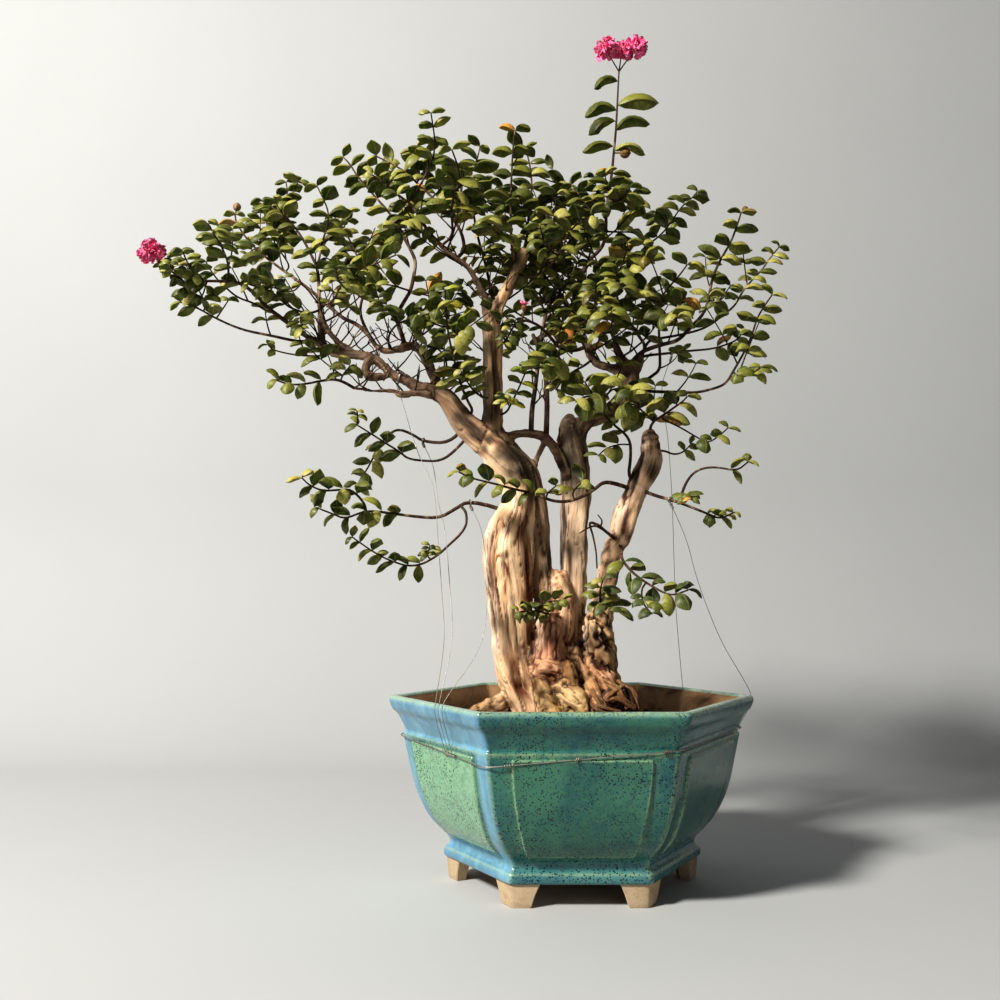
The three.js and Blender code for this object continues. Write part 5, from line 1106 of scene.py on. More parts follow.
def leaf_blade(looks):
    """Waxy blade: pale midrib and side veins, browner at the rim"""
    made = Recipe("waxy_leaf", Subsurface_Weight=0.1, Subsurface_Scale=0.002, Specular_IOR_Level=0.4)
    made.shader.inputs["Subsurface Radius"].default_value = (0.6, 1.0, 0.2)
    marks = made.put("ShaderNodeUVMap", uv_map="marks").outputs["UV"]
    along = made.put("ShaderNodeSeparateXYZ", {"Vector": marks}).outputs
    off = made.sum("ABSOLUTE", made.sum("SUBTRACT", along[0], 0.5))
    rib = made.ramp(off, (0.015, 1.0), (0.05, 0.0))
    slant = made.sum("SUBTRACT", along[1], made.times(off, 0.55))
    veins = made.sum("LESS_THAN", made.sum("PINGPONG", slant, 0.055), 0.006)
    veins = made.times(veins, made.ramp(off, (0.05, 1.0), (0.46, 0.0)))
    places = made.places()
    body = made.mix(made.ramp(made.cloud(places, 90, 4, 0.6), (0.4, 0.0), (0.66, 0.4)), made.tint(),
                    looks.young_leaf)
    body = made.mix(made.ramp(made.cloud(places, 420, 4, 0.6), (0.35, 0.4), (0.55, 0.0)), body,
                    looks.old_leaf)
    body = made.mix(made.times(rib, 0.5), body, looks.leaf_rib)
    body = made.mix(made.times(veins, 0.22), body, looks.leaf_rib)
    rim = made.ramp(off, (0.43, 0.0), (0.5, 1.0))
    body = made.mix(made.times(rim, 0.35), body, tone(96, 62, 30))
    roughness = made.ramp(made.cloud(places, 300, 3), (0.3, 0.4), (0.7, 0.58))
    return made.finish(body, roughness, made.relief(made.sum("MAXIMUM", rib, veins), 0.0002, -0.4))


def petal_sheet(looks):
    """Crinkled petal: deep at the claw, paler at the frill"""
    made = Recipe("crinkled_petal", Subsurface_Weight=0.2, Subsurface_Scale=0.002, Specular_IOR_Level=0.3,
                  Sheen_Weight=0.15)
    marks = made.put("ShaderNodeUVMap", uv_map="marks").outputs["UV"]
    along = made.put("ShaderNodeSeparateXYZ", {"Vector": marks}).outputs
    places = made.places()
    body = made.mix(made.ramp(along[1], (0.1, 0.0), (0.8, 1.0)), looks.petal_heart, looks.petal_edge)
    body = made.mix(made.ramp(made.cloud(places, 500, 5, 0.6), (0.4, 0.55), (0.6, 0.0)), body,
                    looks.petal_heart)
    body = made.mix(1.0, body, made.tint(), "MULTIPLY")
    roughness = made.ramp(made.cloud(places, 300, 3), (0.3, 0.5), (0.7, 0.75))
    return made.finish(body, roughness, made.relief(made.cloud(places, 700, 4, 0.6), 0.0004, 0.5))


def drawn_wire():
    """Thin drawn wire, dulled and rusted a little in places"""
    made = Recipe("drawn_wire", Metallic=0.85)
    places = made.places()
    rust = made.ramp(made.cloud(places, 70, 5, 0.7), (0.5, 0.0), (0.7, 0.8))
    body = made.mix(rust, tone(150, 147, 139), tone(98, 82, 66))
    roughness = made.ramp(made.cloud(places, 220, 4), (0.3, 0.3), (0.7, 0.6))
    return made.finish(body, roughness, made.relief(made.cloud(places, 1500, 3), 0.0001, 0.5))


def studio_board(colour):
    """Matt board with the faintest tooth"""
    made = Recipe("studio_board", Specular_IOR_Level=0.2)
    places = made.places()
    shade = tuple(c * 0.94 for c in colour)
    body = made.mix(made.cloud(places, 3, 3, 0.5), tuple(colour), shade)
    roughness = made.ramp(made.cloud(places, 60, 3), (0.3, 0.8), (0.7, 0.95))
    return made.finish(body, roughness, made.relief(made.cloud(places, 900, 3), 0.0002, 0.2))


# Pot
def hexagon_row(radius, z, rounding=POT_ROUND):
    """Points round a hexagon with rounded corners, in columns that follow the panels' sides, and for each
    its distance along its face, the panel's half width and the way out"""
    rise = min(max((z - PANEL_BOTTOM) / (PANEL_TOP - PANEL_BOTTOM), 0.0), 1.0)
    border = lerp(PANEL_HALF_BOTTOM, PANEL_HALF_TOP, sin(rise * pi / 2))
    edge = radius / 2 - rounding * tan(pi / 6)
    border = min(border, edge - 3)
    right = [edge, lerp(edge, border, 0.5), border + 1.3, border + 0.65, border, border - 0.65,
             border - 1.3, border - 2.4]
    right += [(border - 2.4) * share for share in (0.86, 0.7, 0.52, 0.35, 0.18)]
    across = right + [0.0] + [-x for x in reversed(right)]
    across = across[::-1]
    apothem = radius * APOTHEM
    points, faces_of = [], []
    for face in range(6):
        angle = radians(30 + 60 * face)
        out = np.array((cos(angle), sin(angle)))
        side = np.array((-out[1], out[0]))
        for x in across:
            points.append(out * apothem + side * x)
            faces_of.append((x, border, out))
        centre = out * (apothem - rounding) + side * edge
        for k in range(1, CORNER_STEPS):
            turn = angle + radians(60) * k / CORNER_STEPS
            points.append(centre + rounding * np.array((cos(turn), sin(turn))))
            faces_of.append((AT_CORNER, border, np.array((cos(turn), sin(turn)))))
    return points, faces_of


def pot_profile():
    """Rows of (corner radius, height) up the outside: crisp at the foot ring, smooth over bowl and lip"""
    def smooth(rows, step):
        line = smooth_rows([(radius, z, 0) for radius, z in rows], step)
        return [(row[0], row[1]) for row in line]

    bowl = [row for row in smooth(POT_BOWL, 3.4) if row[1] < POT_STEP[0][1]]
    lip = smooth([LIP_START, *POT_LIP], 2.2)
    return POT_RING + bowl + POT_STEP + lip + POT_RIM


def peak(value, at, reach):
    """1 at a value, down to 0 at its reach to either side"""
    return max(0.0, 1 - abs(value - at) / reach)


def pot_zone(x, border, z, out):
    """Whether this is a panel or its bead, and how milky, green and thin the glaze is here. The milky blue is
    strongest on faces that look left, partly as painted sky reflection, and the pale green of the panels
    likewise, partly as painted light.
    """
    on_panel = eased((border - abs(x)) / PANEL_EDGE + 0.5)
    up = eased((z - PANEL_BOTTOM) / PANEL_EDGE + 0.5) * eased((PANEL_TOP - z) / PANEL_EDGE + 0.5)
    neck = eased((z - GLAZE_NECK) / 5)
    foot = eased((GLAZE_FOOT - z) / 5)
    post = eased((abs(x) - border) / 6)
    # Painted sky reflection: the milky share grows on faces that look left, towards the key light, on top of
    # the pooling on neck, posts and foot
    pooling_and_sheen = 0.06 + 0.94 * eased((-0.1 - out[0]) / 0.5) if out[1] < 0.3 else 0.7
    milk_and_sheen = min(1.0, neck * 0.85 + post * 0.95 * (1 - neck) + foot * 0.8) * pooling_and_sheen
    milk_and_sheen = max(milk_and_sheen, 0.24 * foot, 0.35 * eased((z - GLAZE_LIP) / 5))
    milk_and_sheen = max(milk_and_sheen, 0.22 * eased((0.55 - abs(out[0] - 0.9) * 3)) * neck)
    bead = max(peak(abs(x), border, 1.7) * up, peak(z, PANEL_BOTTOM, 1.8) * on_panel,
               peak(z, PANEL_TOP, 1.8) * on_panel)
    on_corner = 0.35 if abs(x) >= AT_CORNER and z < POT_STEP[0][1] else 0.0
    thin = max(0.7 * bead, eased((z - GLAZE_RIM) / 4) * 0.9, peak(z, GLAZE_WAIST, 2.0) * 0.7,
               peak(z, FLANGE_EDGE, 1.8) * 0.8, on_corner)
    # Painted light: the paler panel green goes on the panels that face left, towards the key light
    green = on_panel * up * eased((0.1 - out[0]) / 0.6)
    return on_panel * up, bead, (milk_and_sheen, green, thin)


def drained(skin, ring, z, facing_up, finish):
    """A flat floor across a ring, open at the two drain holes. Gives back the rings of the holes."""
    holes = []
    for x in (-DRAIN_OFFSET, DRAIN_OFFSET):
        holes.append([(x + DRAIN_RADIUS * cos(a), DRAIN_RADIUS * sin(a))
                      for a in np.arange(DRAIN_SIDES) * 2 * pi / DRAIN_SIDES])
    loops = [[Vector((p[0], p[1], z)) for p in loop] for loop in (ring, *holes)]
    triangles = tessellate_polygon(loops)
    points = [tuple(p) for loop in loops for p in loop]
    faces = []
    for a, b, c in triangles:
        pa, pb, pc = (Vector(points[i]) for i in (a, b, c))
        up = (pb - pa).cross(pc - pa).z > 0
        faces.append([a, b, c] if up == facing_up else [a, c, b])
    skin.add(points, faces, None, (0, 0, 0), finish)
    return holes


def pot_foot(skin, corner):
    """Bracket foot under a corner: two short arms that draw in towards the ground"""
    outline = []
    angle = corner * pi / 3
    turn = np.array(((cos(angle), -sin(angle)), (sin(angle), cos(angle))))
    for t in np.linspace(0, 1, 9):
        radius = lerp(FLANGE_RADIUS - 4, FLANGE_RADIUS - 2, t)
        shrink = 0.8 if t < 0.05 else 0.0
        reach = lerp(FOOT_REACH_BOTTOM, FOOT_REACH_TOP, t ** 1.3) - shrink
        wall = lerp(FOOT_WALL_BOTTOM, FOOT_WALL_TOP, t ** 1.3)
        z = lerp(0.0, FLANGE_BOTTOM + 1.0, t)
        nose = np.array((radius, 0.0))
        places = ((2.4, shrink), (reach * 0.55, shrink), (reach - FOOT_ROUND, shrink),
                  (reach, FOOT_ROUND + shrink), (reach, wall - FOOT_ROUND), (reach - FOOT_ROUND, wall))
        arms = {}
        for side in (1, -1):
            along = np.array((-0.5, side * sin(pi / 3)))
            inward = np.array((-sin(pi / 3), -side * 0.5))
            arms[side] = [nose + along * out + inward * depth for out, depth in places]
        tip = np.array((radius - FOOT_ROUND - shrink, 0.0))
        heel = np.array((radius - wall / APOTHEM, 0.0))
        row = [tip, *arms[1], heel, *reversed(arms[-1])]
        outline.append([(*(turn @ p), z) for p in row])
    sides = len(outline[0])
    points = [p for row in outline for p in row]
    faces = grid_faces(len(outline), sides).tolist()
    faces.append(list(reversed(range(sides))))
    faces.append([(len(outline) - 1) * sides + i for i in range(sides)])
    skin.add(points, faces, None, (0, 0, 0), BARE)


def build_pot(looks):
    """The pot: panelled outside, plain inside, drained floor and six feet"""
    skin = Skin()
    outside = pot_profile()
    shifts = (-1.6, -0.8, 0, 0.8, 1.6, 2.6)
    extra = [PANEL_BOTTOM + shift for shift in shifts] + [PANEL_TOP - shift for shift in reversed(shifts)]
    first = len(POT_RING)
    last = next(i for i, row in enumerate(outside) if row[1] > 136)
    bowl = outside[first:last]
    more = [(float(np.interp(z, [r[1] for r in bowl], [r[0] for r in bowl])), z) for z in extra
            if bowl[0][1] < z < bowl[-1][1]]
    bowl = sorted(bowl + more, key=lambda row: row[1])
    bowl = [row for i, row in enumerate(bowl) if i == 0 or row[1] - bowl[i - 1][1] > 0.3]
    rows = outside[:first] + bowl + outside[last:]
    rings, zones = [], []
    for radius, z in rows:
        points, about = hexagon_row(radius, z)
        ring = []
        for point, (x, border, out) in zip(points, about):
            panel, bead, zone = pot_zone(x, border, z, out)
            uneven = 0.25 * noise.noise(Vector((point[0], point[1], z)) / 30)
            lift = PANEL_RISE * panel + BEAD_RISE * bead + uneven
            ring.append((*(point + out * lift), z))
            zones.append(zone)
        rings.append(ring)
    outer_rows = len(rings)
    for radius, z in POT_INSIDE:
        points, _ = hexagon_row(radius, z, POT_ROUND_INSIDE)
        rings.append([(p[0], p[1], z) for p in points])
        zones += [(0.2, 0, 0)] * len(points)
    sides = len(rings[0])
    flat = [p for ring in rings for p in ring]
    for low, high, finish in ((0, outer_rows, GLAZED), (outer_rows - 1, len(rings), INSIDE)):
        faces = grid_faces(high - low, sides)
        skin.add(flat[low * sides:high * sides], faces, None, zones[low * sides:high * sides], finish)
    below = drained(skin, [(p[0], p[1]) for p in rings[0]], FLANGE_BOTTOM, False, BARE)
    drained(skin, [(p[0], p[1]) for p in rings[-1]], FLOOR_TOP, True, INSIDE)
    for hole in below:
        count = len(hole)
        points = [(*p, FLANGE_BOTTOM) for p in hole] + [(*p, FLOOR_TOP) for p in hole]
        faces = [[i, i + count, (i + 1) % count + count, (i + 1) % count] for i in range(count)]
        skin.add(points, faces, None, (0, 0, 0), BARE)
    for corner in range(6):
        pot_foot(skin, corner)
    mesh = skin.mesh("glazed_pot")
    mesh.set_sharp_from_angle(angle=radians(38))
    inner = clay("stained_inner_clay", tone(168, 136, 100), tone(112, 84, 58), tone(64, 46, 34))
    shade = tuple(c * 0.72 for c in looks.foot_clay)
    feet = clay("bare_foot_clay", looks.foot_clay, shade, tone(150, 118, 86))
    place_piece("glazed_pot", mesh, [glaze(looks), inner, feet], "pot")


# Soil
def hexagon_reach(radius, angle):
    """Distance from the axis to the side of a hexagon of this corner radius"""
    turn = (angle % (pi / 3)) - pi / 6
    return radius * APOTHEM / cos(turn)


def soil_height(x, y):
    """Height of the soil's uneven top"""
    mound = SOIL_MOUND * exp(-((hypot(x, y) / SOIL_MOUND_REACH) ** 2))
    rough = 1.7 * noise.noise(Vector((x, y, 0)) / 22) + 0.8 * noise.noise(Vector((x, y, 3)) / 7)
    return SOIL_LEVEL - 1.0 + mound + rough


def build_soil(crumbs):
    """The filled soil with loose crumbs and dry roots on top"""
    skin = Skin()
    around, inward = 132, 44
    angles = np.arange(around) * 2 * pi / around
    wall = SOIL_RADIUS - SOIL_GAP
    rings = []
    for radius, z in ((107, SOIL_BOTTOM), (137, 72.4), (150, 128)):
        rings.append([(hexagon_reach(radius, a) * cos(a), hexagon_reach(radius, a) * sin(a), z)
                      for a in angles])
    for k in range(inward):
        share = 1 - k / inward
        ring = []
        for a in angles:
            reach = hexagon_reach(wall, a) * share
            x, y = reach * cos(a), reach * sin(a)
            fine = 0.7 * noise.noise(Vector((x, y, 9)) / 3)
            ring.append((x, y, soil_height(x, y) + fine - (2.0 if k == 0 else 0.0)))
        rings.append(ring)
    points = [p for ring in rings for p in ring] + [(0, 0, soil_height(0, 0)), (0, 0, SOIL_BOTTOM)]
    top, bottom = len(points) - 2, len(points) - 1
    faces = grid_faces(len(rings), around).tolist()
    last = (len(rings) - 1) * around
    faces += [[last + i, last + (i + 1) % around, top] for i in range(around)]
    faces += [[(i + 1) % around, i, bottom] for i in range(around)]
    skin.add(points, faces, None, (0.75, 0.72, 0.7))
    grain = bmesh.new()
    bmesh.ops.create_icosphere(grain, subdivisions=1, radius=1.0)
    ball = np.array([v.co[:] for v in grain.verts])
    ball_faces = np.array([[v.index for v in f.verts] for f in grain.faces])
    grain.free()
    random = seeded(77)
    for _ in range(crumbs):
        angle = random() * 2 * pi
        reach = sqrt(random()) * hexagon_reach(wall - 3, angle)
        x, y = reach * cos(angle), reach * sin(angle)
        size = 0.7 + 2.3 * random() ** 2.6
        stretch = np.array((0.7 + 0.6 * random(), 0.7 + 0.6 * random(), 0.5 + 0.5 * random())) * size
        bent = ball * (1 + 0.25 * (np.array([random() for _ in range(len(ball))]) - 0.5))[:, None]
        turn = Quaternion(stray(random), random() * WHOLE_TURN).to_matrix()
        bent = (bent * stretch) @ np.array(turn)
        shade = 0.5 + 1.5 * random() ** 1.6
        warm = 0.85 + 0.3 * random()
        pale = random() > 0.965
        tint = PALE_CRUMB if pale else (shade * warm, shade, shade * (1.9 - warm))
        skin.add(bent + (x, y, soil_height(x, y) + 0.3 * size), ball_faces, None, tint)
    for _ in range(DRY_ROOTS):
        angle, turn = random() * WHOLE_TURN, random() * WHOLE_TURN
        reach = (0.25 + 0.65 * random()) * wall * APOTHEM
        x, y = reach * cos(angle), reach * sin(angle)
        rows = []
        for _ in range(6):
            rows.append((x, y, soil_height(x, y) + 1.1 + 1.6 * random(), 0.3 + 0.35 * random()))
            turn += (random() - 0.5) * 1.4
            x, y = x + 6 * cos(turn), y + 6 * sin(turn)
        if hypot(x, y) > wall * APOTHEM - 8:
            continue
        line = smooth_rows(rows, 2.0)
        stem(skin, line, 5, DRY_ROOT)
    place_piece("crumbed_soil", skin.mesh("crumbed_soil"), [earth()], "soil")


# Wood
LINES = {}
WARM_STREAK = np.array((0.86, 0.66, 0.5))
PALE_STREAK = np.array(tone(204, 188, 160))
# Colour of the painted highlight on the left side of the wood
PAINTED_LIGHT_BARK = np.array(tone(226, 210, 188))
CROWN_BARK = np.array(tone(104, 84, 66))
BARK_LIGHT = {row[0]: np.array([tone(*c) for c in BARK_TONES.get(row[0], PLAIN_BARK)]) for row in LIMBS}


def limb_lines():
    """Smooth centre line of every limb, as rows of place and radius, made once"""
    if not LINES:
        for name, _, route in LIMBS:
            LINES[name] = smooth_rows([(*seen(*row[:3]), row[3]) for row in route], LINE_STEP)
    return LINES


def fluted(depth, phase):
    """A rule for the radius of a fluted limb round one ring, against its plain radius"""
    def wave(angles, row):
        return (1 + depth * np.sin(3 * angles + row * 0.05 + phase)
                + depth * 0.6 * np.sin(5 * angles - row * 0.035 + phase)
                + depth * 0.3 * np.sin(9 * angles + row * 0.06 - phase))
    return wave


def grown_together(skin, voxel):
    """One smooth skin over everything in `skin`, as a mesh in metres"""
    holder = put_down("wood_rough", skin.mesh("wood_rough"))
    remesh = holder.modifiers.new("skin", "REMESH")
    remesh.mode = "VOXEL"
    remesh.voxel_size = voxel * MM
    remesh.adaptivity = 0.0
    bpy.context.view_layer.update()
    made = bpy.data.meshes.new_from_object(holder.evaluated_get(bpy.context.evaluated_depsgraph_get()))
    bpy.data.objects.remove(holder)
    work = bmesh.new()
    work.from_mesh(made)
    for _ in range(3):
        bmesh.ops.smooth_vert(work, verts=work.verts, factor=0.5, use_axis_x=True, use_axis_y=True,
                              use_axis_z=True)
    work.to_mesh(made)
    work.free()
    return made


def limb_samples(lines):
    """Places along the heavy limbs that the bark takes its grain from, and a search tree of them"""
    samples = []
    for index, (name, _, _) in enumerate(LIMBS):
        line = lines[name]
        if line[:, 3].max() <= SLIM_LIMB:
            continue
        for i, frame_at in enumerate(zip(line, *frames_along(line[:, :3]))):
            row, run, out, other = frame_at
            samples.append((Vector(row[:3]), Vector(run), Vector(out), Vector(other), row[3], name,
                            i * LINE_STEP + index * 400))
    tree = KDTree(len(samples))
    for i, sample in enumerate(samples):
        tree.insert(sample[0], i)
    tree.balance()
    return samples, tree


def tones_at(found, samples):
    """Ridge and hollow colours of the bark near limbs, blended where one runs into another"""
    gaps = {}
    for gap, i in found:
        gaps.setdefault(samples[i][5], gap)
    shares = [exp((found[0][0] - gap) / TONE_BLEND) for gap in gaps.values()]
    return sum(share * BARK_LIGHT[name] for share, name in zip(shares, gaps)) / sum(shares)


def bark_at(at, sample, tones, relief):
    """Height of the bark at a place, its colour, and the place along the grain"""
    centre, run, out, other, radius, name, along = sample
    off = at - centre
    walked = along + off.dot(run)
    turn = walked * GRAIN_TWIST
    u, v = off.dot(out), off.dot(other)
    grained = Vector((u * cos(turn) - v * sin(turn), u * sin(turn) + v * cos(turn),
                      walked * GRAIN_STRETCH))
    gnarl = 1.0 if name in GNARLED else 0.0
    size = min(1.0, radius / 15)
    broad = noise.noise(grained / (6 + 6 * size))
    fibre = noise.noise(grained / 3.4 + Vector((0, 11, 0)))
    crack = max(0.0, 1 - abs(noise.noise(grained / (5 + 3 * size) + Vector((7, 0, 3)))) / 0.1)
    crack *= eased(0.5 + 2.5 * noise.noise(grained / 13 + Vector((31, 3, 0))))
    lump = noise.noise(at / 12 + Vector((3, 5, 7)))
    bends = Vector([noise.noise(at / 16 + shift) for shift in FOLD_SHIFTS])
    folded = Vector((u, v, walked * FOLD_STRETCH)) / 11 + bends * 0.8
    fold = max(0.0, 1 - abs(noise.noise(folded)) / 0.13) * gnarl
    grain = 1 - 0.5 * gnarl
    height = grain * (RIDGE_RISE * broad + FIBRE_RISE * fibre - CRACK_DEPTH * crack)
    height = height + (LUMP_RISE + GNARL_RISE * gnarl) * lump - FOLD_DEPTH * fold
    height *= relief * (0.25 + 0.8 * size)
    light, shade = tones
    streak = noise.noise(grained / 4.5 + Vector((50, 0, 0)))
    warm = eased(1.8 * streak) * 0.6
    pale = eased(-1.8 * streak) * 0.5
    light = light * (1 - warm) + light * WARM_STREAK * warm
    light = light * (1 - pale) + (light * 0.6 + PALE_STREAK * 0.4) * pale
    raised = 1.2 * grain * (1.0 * broad + 0.5 * fibre - 0.75 * crack)
    # Cracks and folds take the darker hollow tone: painted shade in the creases, together with the bark's own
    # darker colour there
    shaded_hollow = eased(0.26 - raised - 0.6 * gnarl * lump + 0.85 * fold)
    colour = light * (1 - shaded_hollow) + shade * shaded_hollow
    colour *= 0.8 + 0.34 * eased(0.5 + 1.6 * noise.noise(at / 19 + Vector((20, 0, 5))))
    return height, colour, grained


def build_wood(looks):
    """Trunks, roots and heavy limbs under one bark, with the slim limbs, thin roots and bare twigs"""
    lines = limb_lines()
    skin, slim = Skin(), Skin()
    for index, (name, flute, _) in enumerate(LIMBS):
        line = lines[name]
        if line[:, 3].max() <= SLIM_LIMB:
            tube(slim, line[:, :3], line[:, 3] * 0.9, 10, tone(*TWIG_BARK))
        else:
            stem(skin, line, 40, wave=fluted(flute * 1.2, index * 1.7))
    made = grown_together(skin, looks.wood_skin)
    samples, tree = limb_samples(lines)
    knots = [(seen(a, d, depth), radius, stand) for a, d, depth, radius, stand in KNOTS]
    shaded = [(seen(a, d, depth), radius) for a, d, depth, radius in SHADED]
    count = len(made.vertices)
    heights, hole_shade = np.zeros(count), np.zeros(count)
    places, normals, tints, grains = [], [], [], []
    for k, vertex in enumerate(made.vertices):
        at = (vertex.co - POT_AXIS) / MM
        found = sorted((distance - samples[i][4], i) for _, i, distance in tree.find_n(at, SAMPLES_NEAR))
        tones = tones_at(found, samples)
        height, colour, grained = bark_at(at, samples[found[0][1]], tones, looks.wood_relief)
        for place, reach, stand in knots:
            off = (at - place).length / reach
            if off < KNOT_REACH:
                collar = 0.9 * exp(-(((off - 1.15) / 0.3) ** 2))
                height += stand * exp(-((off / 0.8) ** 2)) + collar
                # Sunken knots are darkened inside: painted shade in the holes
                hole_shade[k] = max(hole_shade[k], exp(-((off / 0.75) ** 2)) if stand < 0 else 0.0)
        # Painted highlight: surfaces that face left, towards the key light, are lightened above the pot
        pale = eased((-vertex.normal.x - 0.35) / 0.5) * eased((at.z - PAINTED_LIGHT_FROM) / 40) * 0.35
        colour = colour * (1 - pale) + PAINTED_LIGHT_BARK * colour.mean() * 2.1 * pale
        colour = colour * WOOD_COOLER
        # Painted shade: patches of bark darkened where the wood lies in shade, partly also darker brown bark
        for place, reach in shaded:
            colour = colour * (1 - SHADE_PATCH_DARKNESS * exp(-(((at - place).length / reach) ** 4)))
        weather = eased((at.z - WEATHERED_FROM) / 60) * 0.45
        colour = colour * (1 - weather) + CROWN_BARK * weather
        # The wood is darker towards the soil at its foot
        if at.z < SOIL_LEVEL + DARKENED_FOOT:
            colour = colour * lerp(0.5, 1.0, eased((at.z - SOIL_LEVEL) / DARKENED_FOOT))
        heights[k] = height
        places.append(at[:])
        normals.append(vertex.normal[:])
        tints.append(colour)
        grains.append(grained * MM)
    edges = np.empty(len(made.edges) * 2, dtype=np.int32)
    made.edges.foreach_get("vertices", edges)
    edges = edges.reshape(-1, 2)
    beside = np.bincount(edges.ravel(), minlength=count)
    for _ in range(2):
        total = np.bincount(edges[:, 0], heights[edges[:, 1]], count)
        total += np.bincount(edges[:, 1], heights[edges[:, 0]], count)
        heights = heights * 0.7 + 0.3 * total / np.maximum(beside, 1)
    faces = [tuple(p.vertices) for p in made.polygons]
    bpy.data.meshes.remove(made)
    add_tangle(slim)
    add_bare_twigs(slim, lines)
    whole = Skin()
    # Tints darkened by the painted shade in the knot holes
    whole.add(np.array(places) + np.array(normals) * heights[:, None], faces, None,
              np.array(tints) * (1 - 0.9 * hole_shade)[:, None])
    whole.add(np.concatenate(slim.points), slim.faces, np.concatenate(slim.marks), np.concatenate(slim.tints))
    grains += [Vector(p) * MM for p in np.concatenate(slim.points) * (1, 1, 0.3)]
    mesh = whole.mesh("grown_wood")
    attribute = mesh.attributes.new("grain", "FLOAT_VECTOR", "POINT")
    attribute.data.foreach_set("vector", np.array(grains).ravel())
    place_piece("grown_wood", mesh, [bark("old_bark")], "wood")


def add_tangle(skin):
    """Thin roots that cross each other over the foot of the right trunk"""
    random = seeded(4100)
    for start, middle, end in TANGLE:
        for _ in range(3):
            rows = []
            for across, down, depth in (start, middle, end):
                rows.append((*seen(across + 7 * (random() - 0.5), down + 6 * (random() - 0.5),
                                   depth + 4 * (random() - 0.5)), 1.1 + 1.3 * random()))
            line = smooth_rows(rows, 2.0)
            shade = 0.55 + 0.6 * random()
            stem(skin, line, 8, np.array(tone(*ROOT_TANGLE)) * shade)


def add_bare_twigs(skin, lines):
    """Dead twigs over the right trunk, and fine leafless ones that stand up from the limbs in the crown"""
    for route in DEAD_TWIGS:
        line = smooth_rows([(*seen(*row[:3]), row[3]) for row in route], 2.5)
        stem(skin, line, 6, tone(*TWIG_BARK))
    random = seeded(5200)

    def sprig(start, heading, length, girth):
        """A short leafless twig, left out where it would leave the crown"""
        path = [start]
        for _ in range(5):
            swerve = stray(random, 0.4) * 0.5
            path.append(path[-1] + (heading + swerve).normalized() * (length / 5))
        if in_crown(path[-1]) and in_box(np.array(path)):
            tube(skin, path, np.linspace(girth, 0.4, 6), 6, tone(*SHOOT_BARK))
        return path

    for name, step in BARE_TWIGS.items():
        line = lines[name]
        for row in line[step::step]:
            turn = random() * WHOLE_TURN
            heading = Vector((cos(turn), sin(turn), 0.5 + random())).normalized()
            path = sprig(Vector(row[:3]), heading, 16 + 34 * random(), 0.95)
            if random() > 0.4:
                aside = stray(random, 0.2) * 1.6
                sprig(path[2], (heading + aside).normalized(), 10 + 18 * random(), 0.7)


# Branches with their leaves
def window_routes(spray):
    """Each shoot's route on the window, from where it leaves what carries it"""
    limbs = {name: [point[:3] for point in route] for name, _, route in LIMBS}
    routes = []
    for start, _, _, tip_depth, _, _, points in spray[1]:
        root = nearest_on(limbs[start] if isinstance(start, str) else routes[start], *points[0])
        routes.append([root] + [(across, down, lerp(root[2], tip_depth * DEPTH_SPREAD, (i + 1) / len(points)))
                                for i, (across, down) in enumerate(points)])
    return routes


def nearest_row(line, at):
    """Number of the row of a smooth line that lies nearest to a place"""
    return int(np.argmin(np.linalg.norm(line[:, :3] - np.array(at), axis=1)))


def shoot_lines(spray):
    """Lines of a spray's shoots with their radii, each grown out of what carries it"""
    lines = limb_lines()
    made = []
    for shoot, route in zip(spray[1], window_routes(spray)):
        carrier = lines[shoot[0]] if isinstance(shoot[0], str) else made[shoot[0]]
        root = carrier[nearest_row(carrier, seen(*route[0]))]
        places = [Vector(root[:3])] + [seen(*row) for row in route[1:]]
        total = length_of(places)
        rows, walked = [], 0.0
        for i, place in enumerate(places):
            walked += (place - places[i - 1]).length if i else 0.0
            rows.append((*place, lerp(shoot[1], shoot[2], walked / total) * SHOOT_GIRTH))
        made.append(rounded_rows(rows))
    return made


def leaf_pairs(path, bare, leaf_length, random):
    """Leaves in two ranks from the tip back to the bare stretch: foot, the blade's direction along and
    across, and length"""
    total = length_of(path)
    distance, number = total - PAIR_END, 0
    while leaf_length > 0 and distance > max(total * bare, 4):
        foot, along = point_along(path, distance)
        flat = along.cross(Vector((0, 1, 0)))
        flat = flat.normalized() if flat.length > 0.35 else UP.cross(along).normalized()
        rank = Quaternion(along, (random() - 0.5) * RANK_SPREAD) @ flat
        for side in (1, -1):
            rise = LEAF_RISE + (random() - 0.5) * 0.3
            run = rank * side * cos(rise) + along * sin(rise)
            run.z = run.z * 0.62 + 0.1
            run.normalize()
            across = UP.cross(run)
            across = Quaternion(run, (random() - 0.5) * 0.6) @ across.normalized()
            young = YOUNG_LEAVES[number] if number < len(YOUNG_LEAVES) else 1
            yield foot, run, across, leaf_length * young * (0.84 + 0.32 * random())
        distance -= leaf_length * PAIR_SPACING * (0.85 + 0.3 * random())
        number += 1


def leaf_width(share):
    """Half width of the blade against its widest, from its stalk to its blunt tip"""
    blade = max(0.0, sin(pi * share ** 1.08)) ** 0.47
    return max(blade * eased((share - 0.02) / 0.13), 0.05 * (1 - share))


LEAF_WIDTHS = np.array([leaf_width(share) for share in LEAF_ROWS])
LEAF_TOP = grid_faces(len(LEAF_ROWS), len(LEAF_COLUMNS), False)
LEAF_FACES = np.concatenate([LEAF_TOP, LEAF_TOP[:, ::-1] + len(LEAF_ROWS) * len(LEAF_COLUMNS)])


